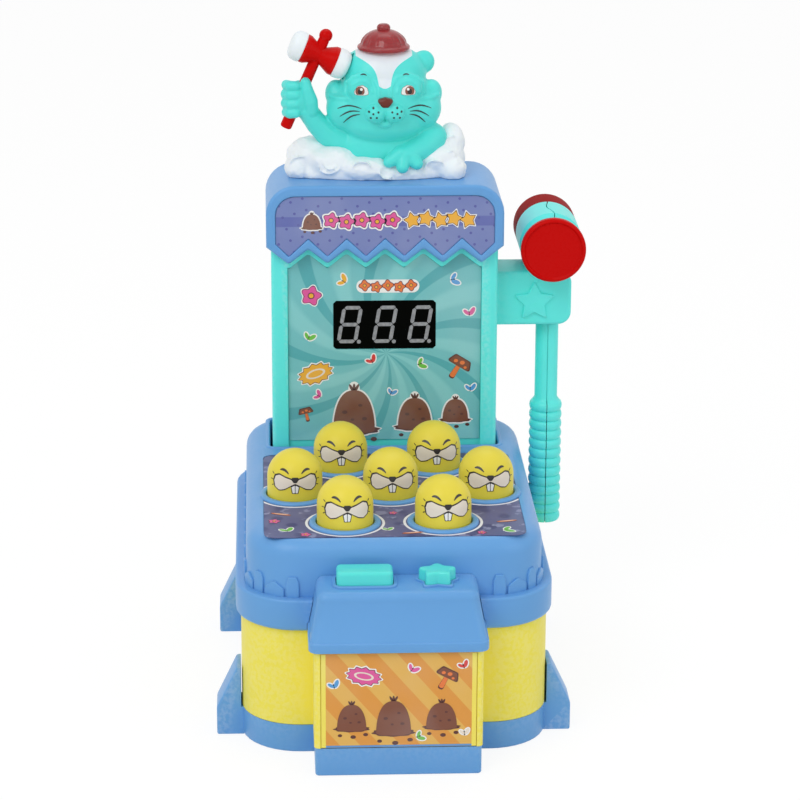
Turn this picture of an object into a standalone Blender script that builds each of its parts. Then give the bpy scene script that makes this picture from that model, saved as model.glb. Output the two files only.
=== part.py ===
"""Table-top mole pounding game: a body with seven sprung moles, a score tower and a hammer in its holder.

Metres, +Z up. X is the width, +Y points away from the player, and the origin is the point of the table
under the middle of the moles' deck. Every size is a named value. A name that ends in share or shares is a
part of another size.
"""

import math
from dataclasses import dataclass

import bmesh
import bpy
from mathutils import Matrix, Vector

# General sizes
GAP = 0.0003
SLIDE_GAP = 0.0005
WALL = 0.0022
THIN_WALL = 0.0016
SHEET = 0.0004
OVERRUN = 0.003
SMALLEST_CORNER = 0.0002
CORNER_STEPS = 4
BODY_CORNER_STEPS = 8
ROUND_SIDES = 24
SMALL_SIDES = 8
EDGE_STEPS = 3

# Body: the tray, the band on it and the deck cover on the band
BODY_HALF_WIDTH = 0.090
BODY_FRONT = -0.1203
BODY_REAR = 0.1253
BODY_CORNER = 0.035
TRAY_HEIGHT = 0.0173
TRAY_FLOOR = 0.0025
TRAY_EDGE = 0.0012
RIM_BOTTOM = 0.077
RIM_HEIGHT = 0.019
RIM_TOP = RIM_BOTTOM + RIM_HEIGHT
RIM_OVERHANG = 0.003
RIM_EDGE = 0.0025
DECK_INSET = 0.0033
DECK_TOP = 0.1302
DECK_FILLET = 0.011
DECK_RECESS_DEPTH = 0.001

# Front module under the hood
MODULE_HALF_WIDTH = 0.0485
MODULE_REACH = 0.0347
MODULE_FRONT = BODY_FRONT - MODULE_REACH
MODULE_CORNER = 0.003
MODULE_FOOT_STEP = 0.0006
MODULE_ROOT_DEPTH = 0.0203
MODULE_ROOT = BODY_FRONT + MODULE_ROOT_DEPTH
FRONT_LABEL_SIDE_MARGIN = 0.004
FRONT_LABEL_HALF_WIDTH = MODULE_HALF_WIDTH - FRONT_LABEL_SIDE_MARGIN
FRONT_LABEL_TOP_MARGIN = 0.0013
FRONT_LABEL_TOP = RIM_BOTTOM - FRONT_LABEL_TOP_MARGIN

# Hood
HOOD_OVERHANG = 0.003
HOOD_HALF_WIDTH = MODULE_HALF_WIDTH + HOOD_OVERHANG
HOOD_FRONT = MODULE_FRONT - HOOD_OVERHANG
HOOD_CORNER = 0.006
HOOD_SKIRT = 0.006
HOOD_SKIRT_TOP = RIM_BOTTOM + HOOD_SKIRT
HOOD_TOP = 0.1093
HOOD_TOP_SIDE_STEP = 0.002
HOOD_TOP_HALF_WIDTH = MODULE_HALF_WIDTH - HOOD_TOP_SIDE_STEP
HOOD_TOP_FRONT_STEP = 0.0075
HOOD_TOP_FRONT = MODULE_FRONT + HOOD_TOP_FRONT_STEP
HOOD_FILLET = 0.005

# Buttons on the hood
START_BUTTON_SIDE_MARGIN = 0.0116
START_BUTTON_LEFT = START_BUTTON_SIDE_MARGIN - HOOD_TOP_HALF_WIDTH
START_BUTTON_RIGHT = -0.0026
START_BUTTON_FRONT_MARGIN = 0.0109
START_BUTTON_FRONT = HOOD_TOP_FRONT + START_BUTTON_FRONT_MARGIN
START_BUTTON_DEPTH = 0.0158
START_BUTTON_REAR = START_BUTTON_FRONT + START_BUTTON_DEPTH
START_BUTTON_CORNER = 0.0032
START_BUTTON_HEIGHT = 0.0082
START_BUTTON_TOP = HOOD_TOP + START_BUTTON_HEIGHT
STAR_BUTTON_SIDE_MARGIN = 0.0238
STAR_BUTTON_X = HOOD_TOP_HALF_WIDTH - STAR_BUTTON_SIDE_MARGIN
STAR_BUTTON_FRONT_MARGIN = 0.0187
STAR_BUTTON_Y = HOOD_TOP_FRONT + STAR_BUTTON_FRONT_MARGIN
STAR_BUTTON_RADIUS = 0.0113
STAR_DEPTH_SHARE = 0.84
STAR_INNER_SHARE = 0.62
STAR_TIP_SHARE = 0.16
STAR_BUTTON_HEIGHT = 0.0073
STAR_BUTTON_TOP = HOOD_TOP + STAR_BUTTON_HEIGHT
BUTTON_EDGE = 0.0012
BUTTON_FLANGE = 0.0012
BUTTON_FLANGE_HEIGHT = 0.0014
BUTTON_STEM_RADIUS = 0.002
BUTTON_TRAVEL = 0.0025
LIP_WIDTH = 0.0018
LIP_HEIGHT = 0.0013

# Tower, on the rear of the deck
TOWER_SIDE_MARGIN = 0.020
TOWER_HALF_WIDTH = BODY_HALF_WIDTH - TOWER_SIDE_MARGIN
TOWER_REAR_MARGIN = 0.0173
TOWER_REAR = BODY_REAR - TOWER_REAR_MARGIN
TOWER_DEPTH = 0.0536
TOWER_FRONT = TOWER_REAR - TOWER_DEPTH
TOWER_FRONT_SHELL_DEPTH = 0.0276
TOWER_SPLIT = TOWER_FRONT + TOWER_FRONT_SHELL_DEPTH
TOWER_EDGE = 0.0015
TOWER_COLUMN_WIDTH = 0.010
TOWER_RECESS_DEPTH = 0.003
SOCKET_DEPTH = 0.0265
SOCKET_FLOOR_TOP = DECK_TOP - SOCKET_DEPTH
SOCKET_SIDE_GAP = 0.0016
SOCKET_LIP_WIDTH = 0.0042
SOCKET_LIP_HEIGHT = 0.0022
TOWER_LABEL_RISE = 0.0033
TOWER_LABEL_BOTTOM = DECK_TOP + TOWER_LABEL_RISE

# Marquee cap on the tower
CAP_OVERHANG = 0.003
CAP_HALF_WIDTH = TOWER_HALF_WIDTH + CAP_OVERHANG
CAP_TOP = 0.299
CAP_FRONT_OVERHANG = 0.0064
CAP_FRONT = TOWER_FRONT - CAP_FRONT_OVERHANG
CAP_REAR_OVERHANG = 0.006
CAP_REAR = TOWER_REAR + CAP_REAR_OVERHANG
CAP_CORNER = 0.018
CAP_SIDE_HEIGHT = 0.0385
CAP_SIDE_BOTTOM = CAP_TOP - CAP_SIDE_HEIGHT
CAP_EDGE = 0.0015
CAP_LABEL_DEPTH = 0.0018
TOOTH_COUNT = 6
TOOTH_SIDE_MARGIN = 0.014
TOOTH_PITCH = 2 * (CAP_HALF_WIDTH - TOOTH_SIDE_MARGIN) / (TOOTH_COUNT - 1)
TOOTH_LOW_DROP = 0.0492
TOOTH_LOW = CAP_TOP - TOOTH_LOW_DROP
TOOTH_HEIGHT = 0.0093
TOOTH_HIGH = TOOTH_LOW + TOOTH_HEIGHT
CAP_LABEL_SIDE_MARGIN = 0.0057
CAP_LABEL_HALF_WIDTH = CAP_HALF_WIDTH - CAP_LABEL_SIDE_MARGIN
CAP_LABEL_TOP_MARGIN = 0.0065
CAP_LABEL_TOP = CAP_TOP - CAP_LABEL_TOP_MARGIN
CAP_LABEL_SIDE_STEP = 0.0017
CAP_LABEL_SIDE_BOTTOM = CAP_SIDE_BOTTOM + CAP_LABEL_SIDE_STEP
CAP_LABEL_LOW_STEP = 0.0045
CAP_LABEL_LOW = TOOTH_LOW + CAP_LABEL_LOW_STEP
CAP_LABEL_HIGH_STEP = 0.0064
CAP_LABEL_HIGH = TOOTH_HIGH + CAP_LABEL_HIGH_STEP
CAP_LABEL_CORNER = 0.012
BEAD_DROP = 0.0042

# Display in the tower
DISPLAY_HALF_WIDTH = 0.0316
DISPLAY_DROP = 0.0752
DISPLAY_TOP = CAP_TOP - DISPLAY_DROP
DISPLAY_HEIGHT = 0.0308
DISPLAY_BOTTOM = DISPLAY_TOP - DISPLAY_HEIGHT
DISPLAY_DEPTH = 0.009
DISPLAY_BOARD_MARGIN = 0.007

# Moles, in three rows
MOLE_SIDE_MARGIN = 0.0327
MOLE_PITCH = BODY_HALF_WIDTH - MOLE_SIDE_MARGIN
MOLE_RADIUS_SHARE = 0.288
MOLE_RADIUS = MOLE_PITCH * MOLE_RADIUS_SHARE
MOLE_WALL = 0.002
MOLE_RISE = 0.0285
MOLE_TOP = DECK_TOP + MOLE_RISE
MOLE_FLANGE_WIDTH = 0.0024
MOLE_FLANGE_RADIUS = MOLE_RADIUS + MOLE_FLANGE_WIDTH
MOLE_FLANGE_HEIGHT = 0.002
MOLE_LIGHT_SHARE = 0.315
MOLE_LIGHT_RADIUS = MOLE_RADIUS * MOLE_LIGHT_SHARE
MOLE_TRAVEL = 0.009
MOLE_MIDDLE_SHIFT = 0.00255
MOLE_MIDDLE_ROW = (BODY_FRONT + TOWER_FRONT) / 2 - MOLE_MIDDLE_SHIFT
MOLE_REAR_MARGIN = 0.0395
MOLE_ROW_PITCH = TOWER_FRONT - MOLE_REAR_MARGIN - MOLE_MIDDLE_ROW
MOLE_STEM_SHARE = 0.758
MOLE_STEM_OFFSET = MOLE_RADIUS * MOLE_STEM_SHARE
MOLE_STEM_RADIUS = 0.0018
MOLE_HOLE_GAP = 0.0007
RING_WIDTH = 0.0048
RING_OUTER_RADIUS = MOLE_RADIUS + RING_WIDTH
RING_HEIGHT = 0.0034
RING_EDGE = 0.0014
GUIDE_GAP = 0.0005

# Printed deck sheet
DECK_LABEL_SIDE_CUT = 0.0026
DECK_LABEL_HALF_WIDTH = MOLE_PITCH + RING_OUTER_RADIUS - DECK_LABEL_SIDE_CUT
DECK_LABEL_FRONT_MARGIN = 0.0023
DECK_LABEL_FRONT = MOLE_MIDDLE_ROW - MOLE_ROW_PITCH - RING_OUTER_RADIUS - DECK_LABEL_FRONT_MARGIN
DECK_LABEL_REAR_MARGIN = 0.0021
DECK_LABEL_REAR = MOLE_MIDDLE_ROW + MOLE_ROW_PITCH + RING_OUTER_RADIUS + DECK_LABEL_REAR_MARGIN
DECK_LABEL_CORNER = 0.007

# Boards and what is on them
BOARD = 0.0016
MAIN_BOARD_DROP = 0.0289
MAIN_BOARD_TOP = DECK_TOP - MAIN_BOARD_DROP
MAIN_BOARD_SIDE_MARGIN = 0.011
MAIN_BOARD_HALF_WIDTH = BODY_HALF_WIDTH - MAIN_BOARD_SIDE_MARGIN
MAIN_BOARD_FRONT_MARGIN = 0.0118
MAIN_BOARD_FRONT = BODY_FRONT + MAIN_BOARD_FRONT_MARGIN
MAIN_BOARD_REAR_MARGIN = 0.0174
MAIN_BOARD_REAR = TOWER_FRONT - MAIN_BOARD_REAR_MARGIN
MAIN_BOARD_CUT_X = 0.026
MAIN_BOARD_CUT_Y = 0.038
BUTTON_BOARD_DROP = 0.0157
BUTTON_BOARD_TOP = HOOD_TOP - BUTTON_BOARD_DROP
BUTTON_BOARD_SIDE_MARGIN = 0.0025
BUTTON_BOARD_HALF_WIDTH = HOOD_TOP_HALF_WIDTH - BUTTON_BOARD_SIDE_MARGIN
BUTTON_BOARD_FRONT_MARGIN = 0.005
BUTTON_BOARD_FRONT = HOOD_TOP_FRONT + BUTTON_BOARD_FRONT_MARGIN
BUTTON_BOARD_DEPTH = 0.021
BUTTON_BOARD_REAR = BUTTON_BOARD_FRONT + BUTTON_BOARD_DEPTH
SWITCH_SIZE = 0.006
SWITCH_HEIGHT = 0.0036
SWITCH_PLUNGER_RADIUS = 0.0017
SWITCH_PLUNGER_HEIGHT = 0.0014
LAMP_RADIUS = 0.0025
LAMP_FLANGE_RADIUS = 0.003
LAMP_FLANGE_HEIGHT = 0.001
LAMP_HEIGHT = 0.0082
SPRING_SHARE = 0.46
SPRING_RADIUS = MOLE_RADIUS * SPRING_SHARE
SPRING_WIRE_RADIUS = 0.0004
SPRING_TURNS = 4
SPRING_POINTS_PER_TURN = 6

# Figure on the cap: shares are parts of FIGURE_MODULE, from the middle of the mound's foot
FIGURE_MODULE = 0.100
FIGURE_Y = (CAP_FRONT + CAP_REAR) / 2
FIGURE_FOOT_SHARE = 0.030
HAT_SEAT_SHARE = 0.775
HAT_RADIUS = 0.0163
HAT_BRIM = 0.0030
HAT_DOME_RADIUS = 0.0132
HAT_DOME_HEIGHT = 0.0093
HAT_KNOB_RADIUS = 0.0040
HAT_KNOB_HEIGHT = 0.0034
HAT_WALL = 0.0014

# Small mallet held by the figure
MALLET_FORWARD = 0.0065
MALLET_Y = FIGURE_Y - MALLET_FORWARD
MALLET_FOOT_X = -0.0605
MALLET_FOOT_RISE = 0.030
MALLET_FOOT_Z = CAP_TOP + MALLET_FOOT_RISE
MALLET_TOP_X = -0.0362
MALLET_TOP_RISE = 0.086
MALLET_TOP_Z = CAP_TOP + MALLET_TOP_RISE
MALLET_HANDLE_RADIUS = 0.0034
MALLET_KNOB_RADIUS = 0.0040
MALLET_HEAD_SHARE = 0.80
MALLET_HEAD_LENGTH = 0.041
MALLET_HEAD_RADIUS = 0.0082
MALLET_WAIST_RADIUS = 0.0062
MALLET_END_LENGTH = 0.0085

# Hammer and its holder
HAMMER_SIDE_STEP = 0.0346
HAMMER_X = TOWER_HALF_WIDTH + HAMMER_SIDE_STEP
HAMMER_BACK_STEP = 0.003
HAMMER_Y = FIGURE_Y + HAMMER_BACK_STEP
HAMMER_DROP = 0.0418
HAMMER_HEAD_Z = CAP_TOP - HAMMER_DROP
HAMMER_HEAD_RADIUS = 0.0192
HAMMER_HEAD_LENGTH = 0.070
HAMMER_HEAD_FRONT = HAMMER_Y - HAMMER_HEAD_LENGTH / 2
HAMMER_HEAD_REAR = HAMMER_Y + HAMMER_HEAD_LENGTH / 2
HAMMER_NECK_RADIUS = 0.0160
HAMMER_NECK_LENGTH = 0.012
HAMMER_FRONT_CAP_RADIUS = 0.0195
HAMMER_FRONT_CAP = 0.0050
HAMMER_REAR_CAP = 0.0220
HAMMER_CAP_EDGE = 0.0016
HANDLE_RADIUS = 0.0072
GRIP_DROP = 0.1072
GRIP_TOP = HAMMER_HEAD_Z - GRIP_DROP
GRIP_LENGTH = 0.0835
GRIP_BOTTOM = GRIP_TOP - GRIP_LENGTH
GRIP_RADIUS = 0.0099
GRIP_GROOVE_RADIUS = 0.0088
GRIP_RIBS = 13
HANDLE_WALL = 0.0018
HOLDER_REACH = 0.0473
HOLDER_RIGHT = TOWER_HALF_WIDTH + HOLDER_REACH
HOLDER_LENGTH = 0.032
HOLDER_FRONT = HAMMER_Y - HOLDER_LENGTH / 2
HOLDER_REAR = HAMMER_Y + HOLDER_LENGTH / 2
HOLDER_DROP = 0.0186
HOLDER_TOP = HAMMER_HEAD_Z - HOLDER_DROP
HOLDER_HEIGHT = 0.0346
HOLDER_BOTTOM = HOLDER_TOP - HOLDER_HEIGHT
HOLDER_CORNER = 0.008
HOLDER_HOLE_RADIUS = 0.0105
HOLDER_STAR_RADIUS = 0.0110
HOLDER_STAR_SIDE_STEP = 0.0225
HOLDER_STAR_X = TOWER_HALF_WIDTH + HOLDER_STAR_SIDE_STEP
HOLDER_STAR_DROP = 0.0181
HOLDER_STAR_Z = HOLDER_TOP - HOLDER_STAR_DROP
HOLDER_STAR_RELIEF = 0.0008
HOLDER_STAR_INNER_SHARE = 0.50

# Outriggers
OUTRIGGER_STEP = 0.015
OUTRIGGER_REACH = BODY_HALF_WIDTH + OUTRIGGER_STEP
OUTRIGGER_SIDE = 0.017
OUTRIGGER_TOP = 0.042
OUTRIGGER_TOP_WIDTH = 0.0025
OUTRIGGER_THICKNESS = 0.022
OUTRIGGER_FRONT_MARGIN = 0.0278
OUTRIGGER_FRONT_Y = BODY_FRONT + OUTRIGGER_FRONT_MARGIN
OUTRIGGER_REAR_MARGIN = 0.0561
OUTRIGGER_REAR_Y = BODY_REAR - OUTRIGGER_REAR_MARGIN

# Batteries, their compartment and door
CELL_RADIUS = 0.0071
CELL_LENGTH = 0.0500
CELL_NUB_RADIUS = 0.0027
CELL_NUB = 0.001
CELL_COUNT = 3
CELL_GAP = 0.0011
CELL_PITCH = 2 * CELL_RADIUS + CELL_GAP
BATTERY_BOX_FRONT = 0.0220
CONTACT = 0.0005
CONTACT_ROOM = 0.0012
DOOR = 0.0018
DOOR_LEDGE = 0.003
DOOR_SCREW_MARGIN = 0.012

# Loudspeaker
SPEAKER_Y = -0.062
SPEAKER_RADIUS = 0.025
SPEAKER_FLANGE = 0.002
SPEAKER_MAGNET_RADIUS = 0.011
SPEAKER_DEPTH = 0.012
SPEAKER_CONE_RADIUS = 0.021
SPEAKER_RING = 0.0018
GRILLE_SLOTS = 5
GRILLE_SLOT_WIDTH = 0.0022
GRILLE_PITCH = 0.0068
GRILLE_LENGTH = 0.034

# Screws and their posts
POST_SIDE_MARGIN = 0.011
POST_X = BODY_HALF_WIDTH - POST_SIDE_MARGIN
POST_FRONT_MARGIN = 0.0373
POST_FRONT_Y = BODY_FRONT + POST_FRONT_MARGIN
POST_REAR_MARGIN = 0.0473
POST_REAR_Y = BODY_REAR - POST_REAR_MARGIN
POST_RADIUS = 0.0046
POST_TOP = 0.0300
BOSS_RADIUS = 0.0034
SCREW_HEAD_RADIUS = 0.0026
SCREW_HEAD = 0.0018
SCREW_RADIUS = 0.0013
SCREW_LENGTH = 0.016
SCREW_SEAT = 0.0060
TOWER_SCREW_SIDE_MARGIN = 0.014
TOWER_SCREW_X = TOWER_HALF_WIDTH - TOWER_SCREW_SIDE_MARGIN
TOWER_SCREW_RISE = 0.0198
TOWER_SCREW_LOW = DECK_TOP + TOWER_SCREW_RISE
TOWER_SCREW_DROP = 0.059
TOWER_SCREW_HIGH = CAP_TOP - TOWER_SCREW_DROP
TOWER_BOSS_RADIUS = 0.0040

# Power switch
SLIDER_Z = 0.040
SLIDER_SLOT_HALF_WIDTH = 0.0085
SLIDER_HALF_WIDTH = 0.0045
SLIDER_HALF_HEIGHT = 0.003
SLIDER_TRAVEL = 0.006
SLIDER_FLANGE = 0.002
SLIDER_PROUD = 0.0022
SWITCH_BODY_DEPTH = 0.006

# Flat cable inside the tower
CABLE_WIDTH = 0.012
CABLE = 0.0011
CABLE_FRONT_STEP = 0.0336
CABLE_Y = TOWER_FRONT + CABLE_FRONT_STEP
CABLE_BEND = 0.006
CABLE_HOLE_MARGIN = 0.002


@dataclass(frozen=True)
class Plan:
    """A rectangle with round corners, seen along one axis."""

    left: float
    right: float
    low: float
    high: float
    corner: float

    def inset(self, amount):
        """The same rectangle with each side moved in by amount, or out where it is negative."""
        corner = max(self.corner - amount, SMALLEST_CORNER)
        return Plan(self.left + amount, self.right - amount, self.low + amount, self.high - amount, corner)

    def outline(self, steps=CORNER_STEPS):
        """Its points, counter-clockwise."""
        centres = (
            (self.right - self.corner, self.low + self.corner, -90),
            (self.right - self.corner, self.high - self.corner, 0),
            (self.left + self.corner, self.high - self.corner, 90),
            (self.left + self.corner, self.low + self.corner, 180),
        )
        points = []
        for across, along, start in centres:
            for step in range(steps + 1):
                angle = math.radians(start + 90 * step / steps)
                points.append((across + self.corner * math.cos(angle), along + self.corner * math.sin(angle)))
        return points


BODY = Plan(-BODY_HALF_WIDTH, BODY_HALF_WIDTH, BODY_FRONT, BODY_REAR, BODY_CORNER)
RIM = BODY.inset(-RIM_OVERHANG)
DECK = BODY.inset(DECK_INSET)
MODULE = Plan(-MODULE_HALF_WIDTH, MODULE_HALF_WIDTH, MODULE_FRONT, MODULE_ROOT, MODULE_CORNER)
DECK_LABEL = Plan(
    -DECK_LABEL_HALF_WIDTH, DECK_LABEL_HALF_WIDTH, DECK_LABEL_FRONT, DECK_LABEL_REAR, DECK_LABEL_CORNER
)
START_BUTTON = Plan(
    START_BUTTON_LEFT, START_BUTTON_RIGHT, START_BUTTON_FRONT, START_BUTTON_REAR, START_BUTTON_CORNER
)
TOWER_PLAN = Plan(-TOWER_HALF_WIDTH, TOWER_HALF_WIDTH, TOWER_FRONT, TOWER_REAR, TOWER_EDGE)
SOCKET = TOWER_PLAN.inset(-SOCKET_SIDE_GAP)
DISPLAY = Plan(-DISPLAY_HALF_WIDTH, DISPLAY_HALF_WIDTH, DISPLAY_BOTTOM, DISPLAY_TOP, TOWER_EDGE)

MOLE_PLACES = [
    (offset * MOLE_PITCH, MOLE_MIDDLE_ROW + row * MOLE_ROW_PITCH)
    for row, offsets in ((-1, (-0.5, 0.5)), (0, (-1, 0, 1)), (1, (-0.5, 0.5)))
    for offset in offsets
]
DECK_FLOOR = DECK_TOP - DECK_RECESS_DEPTH
DECK_UNDERSIDE = DECK_TOP - DECK_RECESS_DEPTH - WALL
MOLE_FLANGE_TOP = DECK_UNDERSIDE - GAP
MOLE_FLOOR = MOLE_FLANGE_TOP - MOLE_FLANGE_HEIGHT
SWITCH_TOP = SWITCH_HEIGHT + SWITCH_PLUNGER_HEIGHT + GAP
GUIDE_RADIUS = MOLE_FLANGE_RADIUS + GUIDE_GAP
RECESS_BACK = TOWER_FRONT + TOWER_RECESS_DEPTH
CAP_RECESS_BACK = CAP_FRONT + CAP_LABEL_DEPTH
TOWER_TOP = CAP_TOP - WALL - GAP
TOWER_TOP_CORNER = CAP_CORNER - WALL - GAP
FIGURE_FOOT = CAP_TOP + GAP

POST_PLACES = [(x, y) for x in (-POST_X, POST_X) for y in (POST_FRONT_Y, POST_REAR_Y)]
TOWER_SCREW_PLACES = [
    (x, z) for x in (-TOWER_SCREW_X, TOWER_SCREW_X) for z in (TOWER_SCREW_LOW, TOWER_SCREW_HIGH)
]


def clear_scene():
    """Removes every object, so that the part stands alone."""
    for old in list(bpy.data.objects):
        bpy.data.objects.remove(old)


def as_object(bm):
    """A closed mesh made an object, with its faces pointing out."""
    bmesh.ops.recalc_face_normals(bm, faces=bm.faces)
    mesh = bpy.data.meshes.new("solid")
    bm.to_mesh(mesh)
    bm.free()
    solid = bpy.data.objects.new("solid", mesh)
    bpy.context.scene.collection.objects.link(solid)
    return solid


def loft(sections, axis="Z"):
    """A solid through outlines with equal numbers of points, each given with its place along the axis."""
    order = {"X": (2, 0, 1), "Y": (0, 2, 1), "Z": (0, 1, 2)}[axis]
    bm = bmesh.new()
    rings = []
    for outline, height in sections:
        rings.append([bm.verts.new([(u, v, height)[i] for i in order]) for u, v in outline])
    for low, high in zip(rings, rings[1:]):
        for i in range(len(low)):
            bm.faces.new((low[i - 1], low[i], high[i], high[i - 1]))
    bm.faces.new(rings[0])
    bm.faces.new(rings[-1])
    return as_object(bm)


def prism(outline, low, high, axis="Z"):
    """A solid of one outline, from low to high along the axis."""
    return loft([(outline, low), (outline, high)], axis)


def edged_prism(plan, low, high, edge, axis="Z", both=False, steps=CORNER_STEPS):
    """A prism of a plan whose high edge, or both edges, are chamfered."""
    sections = [(plan.inset(edge).outline(steps), low)] if both else []
    sections += [(plan.outline(steps), low + edge if both else low)]
    sections += [(plan.outline(steps), high - edge), (plan.inset(edge).outline(steps), high)]
    return loft(sections, axis)


def box(left, right, front, rear, low, high):
    """A plain block between its six faces."""
    return prism([(left, front), (right, front), (right, rear), (left, rear)], low, high)


def circle(radius, sides, x=0, y=0):
    """The points of a circle."""
    turns = [math.tau * i / sides for i in range(sides)]
    return [(x + radius * math.cos(turn), y + radius * math.sin(turn)) for turn in turns]


def turned_bar(start, direction, stations, sides=SMALL_SIDES):
    """A round bar from start along direction. Its stations are (distance, radius) pairs."""
    bar = loft([(circle(radius, sides), distance) for distance, radius in stations])
    turn = Vector(direction).to_track_quat("Z", "Y").to_matrix().to_4x4()
    bar.data.transform(Matrix.Translation(start) @ turn)
    return bar


def rod(start, end, radius, sides=SMALL_SIDES):
    """A round bar of one radius between two points."""
    span = Vector(end) - Vector(start)
    return turned_bar(start, span, [(0, radius), (span.length, radius)], sides)


def lathe(profile, sides=ROUND_SIDES):
    """A turned solid about Z. The profile is a closed row of (radius, height) points."""
    bm = bmesh.new()
    rings = []
    for radius, height in profile:
        if radius == 0:
            rings.append([bm.verts.new((0, 0, height))] * sides)
        else:
            rings.append([bm.verts.new((x, y, height)) for x, y in circle(radius, sides)])
    for low, high in zip(rings, rings[1:] + rings[:1]):
        for i in range(sides):
            corners = list(dict.fromkeys((low[i - 1], low[i], high[i], high[i - 1])))
            if len(corners) > 2:
                bm.faces.new(corners)
    return as_object(bm)


def blob(centre, radii, detail=2, grow=0):
    """An ellipsoid."""
    bm = bmesh.new()
    bmesh.ops.create_icosphere(bm, subdivisions=detail, radius=1)
    bmesh.ops.scale(bm, vec=[radius + grow for radius in radii], verts=bm.verts)
    bmesh.ops.translate(bm, vec=centre, verts=bm.verts)
    return as_object(bm)


def dome(radius, foot, steps, height=None):
    """Profile points of a dome, from its foot up to the axis."""
    turns = [math.pi / 2 * step / steps for step in range(steps)]
    points = [(radius * math.cos(turn), foot + (height or radius) * math.sin(turn)) for turn in turns]
    return points + [(0, foot + (height or radius))]


def star(radius, inner_share, tip_share=0.0, depth_share=1.0, x=0, y=0):
    """Outline of a five-pointed star with one point up. Its tips are cut off by tip_share."""
    points = []
    for i in range(5):
        tip = math.radians(90 + 72 * i)
        notch = math.radians(90 + 72 * i + 36)
        spread = tip_share * math.radians(36)
        reach = radius * (1 - tip_share * (1 - inner_share))
        tips = (tip - spread, tip + spread) if tip_share else (tip,)
        points += [(reach * math.cos(a), reach * math.sin(a)) for a in tips]
        points.append((radius * inner_share * math.cos(notch), radius * inner_share * math.sin(notch)))
    return [(x + u, y + v * depth_share) for u, v in points]


def combine(target, tools, operation):
    """Cuts the tools from the target or joins them to it, then removes them."""
    for tool in tools:
        boolean = target.modifiers.new("combine", "BOOLEAN")
        boolean.operation = operation
        boolean.solver = "EXACT"
        boolean.object = tool
    bpy.context.view_layer.update()
    graph = bpy.context.evaluated_depsgraph_get()
    mesh = bpy.data.meshes.new_from_object(target.evaluated_get(graph))
    target.modifiers.clear()
    target.data = mesh
    for tool in tools:
        bpy.data.objects.remove(tool)
    return target


def cut(target, *tools):
    """The target without the tools."""
    return combine(target, tools, "DIFFERENCE")


def join(target, *tools):
    """One solid of the target and the tools."""
    return combine(target, tools, "UNION")


def move(solid, x=0, y=0, z=0):
    """Moves a solid's mesh."""
    solid.data.transform(Matrix.Translation((x, y, z)))
    return solid


def material(name, colour, roughness, alpha=1.0):
    """A plain finish for one kind of piece."""
    made = bpy.data.materials.new(name)
    made.use_nodes = True
    shader = made.node_tree.nodes["Principled BSDF"]
    shader.inputs["Base Color"].default_value = (*colour, 1)
    shader.inputs["Roughness"].default_value = roughness
    shader.inputs["Alpha"].default_value = alpha
    shader.inputs["Metallic"].default_value = 1.0 if name.endswith("steel") else 0.0
    return made


def finish(solid, name, look, origin=(0, 0, 0)):
    """Names a piece, gives it its finish and puts its origin where its joint is."""
    solid.name = name
    solid.data.name = name
    solid.data.transform(Matrix.Translation(-Vector(origin)))
    solid.location = origin
    solid.data.materials.clear()
    solid.data.materials.append(look)
    solid.data.shade_smooth()
    solid.data.set_sharp_from_angle(angle=math.radians(35))
    return solid


def copy_to(piece, name, x, y):
    """A copy of a piece that shares its mesh."""
    twin = bpy.data.objects.new(name, piece.data)
    twin.location = (x, y, 0)
    bpy.context.scene.collection.objects.link(twin)
    return twin


def battery_box():
    """The plan of the battery compartment's inside."""
    half_width = CELL_COUNT * CELL_PITCH / 2
    length = CELL_LENGTH + CELL_NUB + 2 * CONTACT_ROOM
    return Plan(-half_width, half_width, BATTERY_BOX_FRONT, BATTERY_BOX_FRONT + length, SMALLEST_CORNER)


def cell_ceiling():
    """Height of the compartment's ceiling over the cells."""
    return DOOR + 3 * GAP + 2 * CELL_RADIUS + GAP


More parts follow.
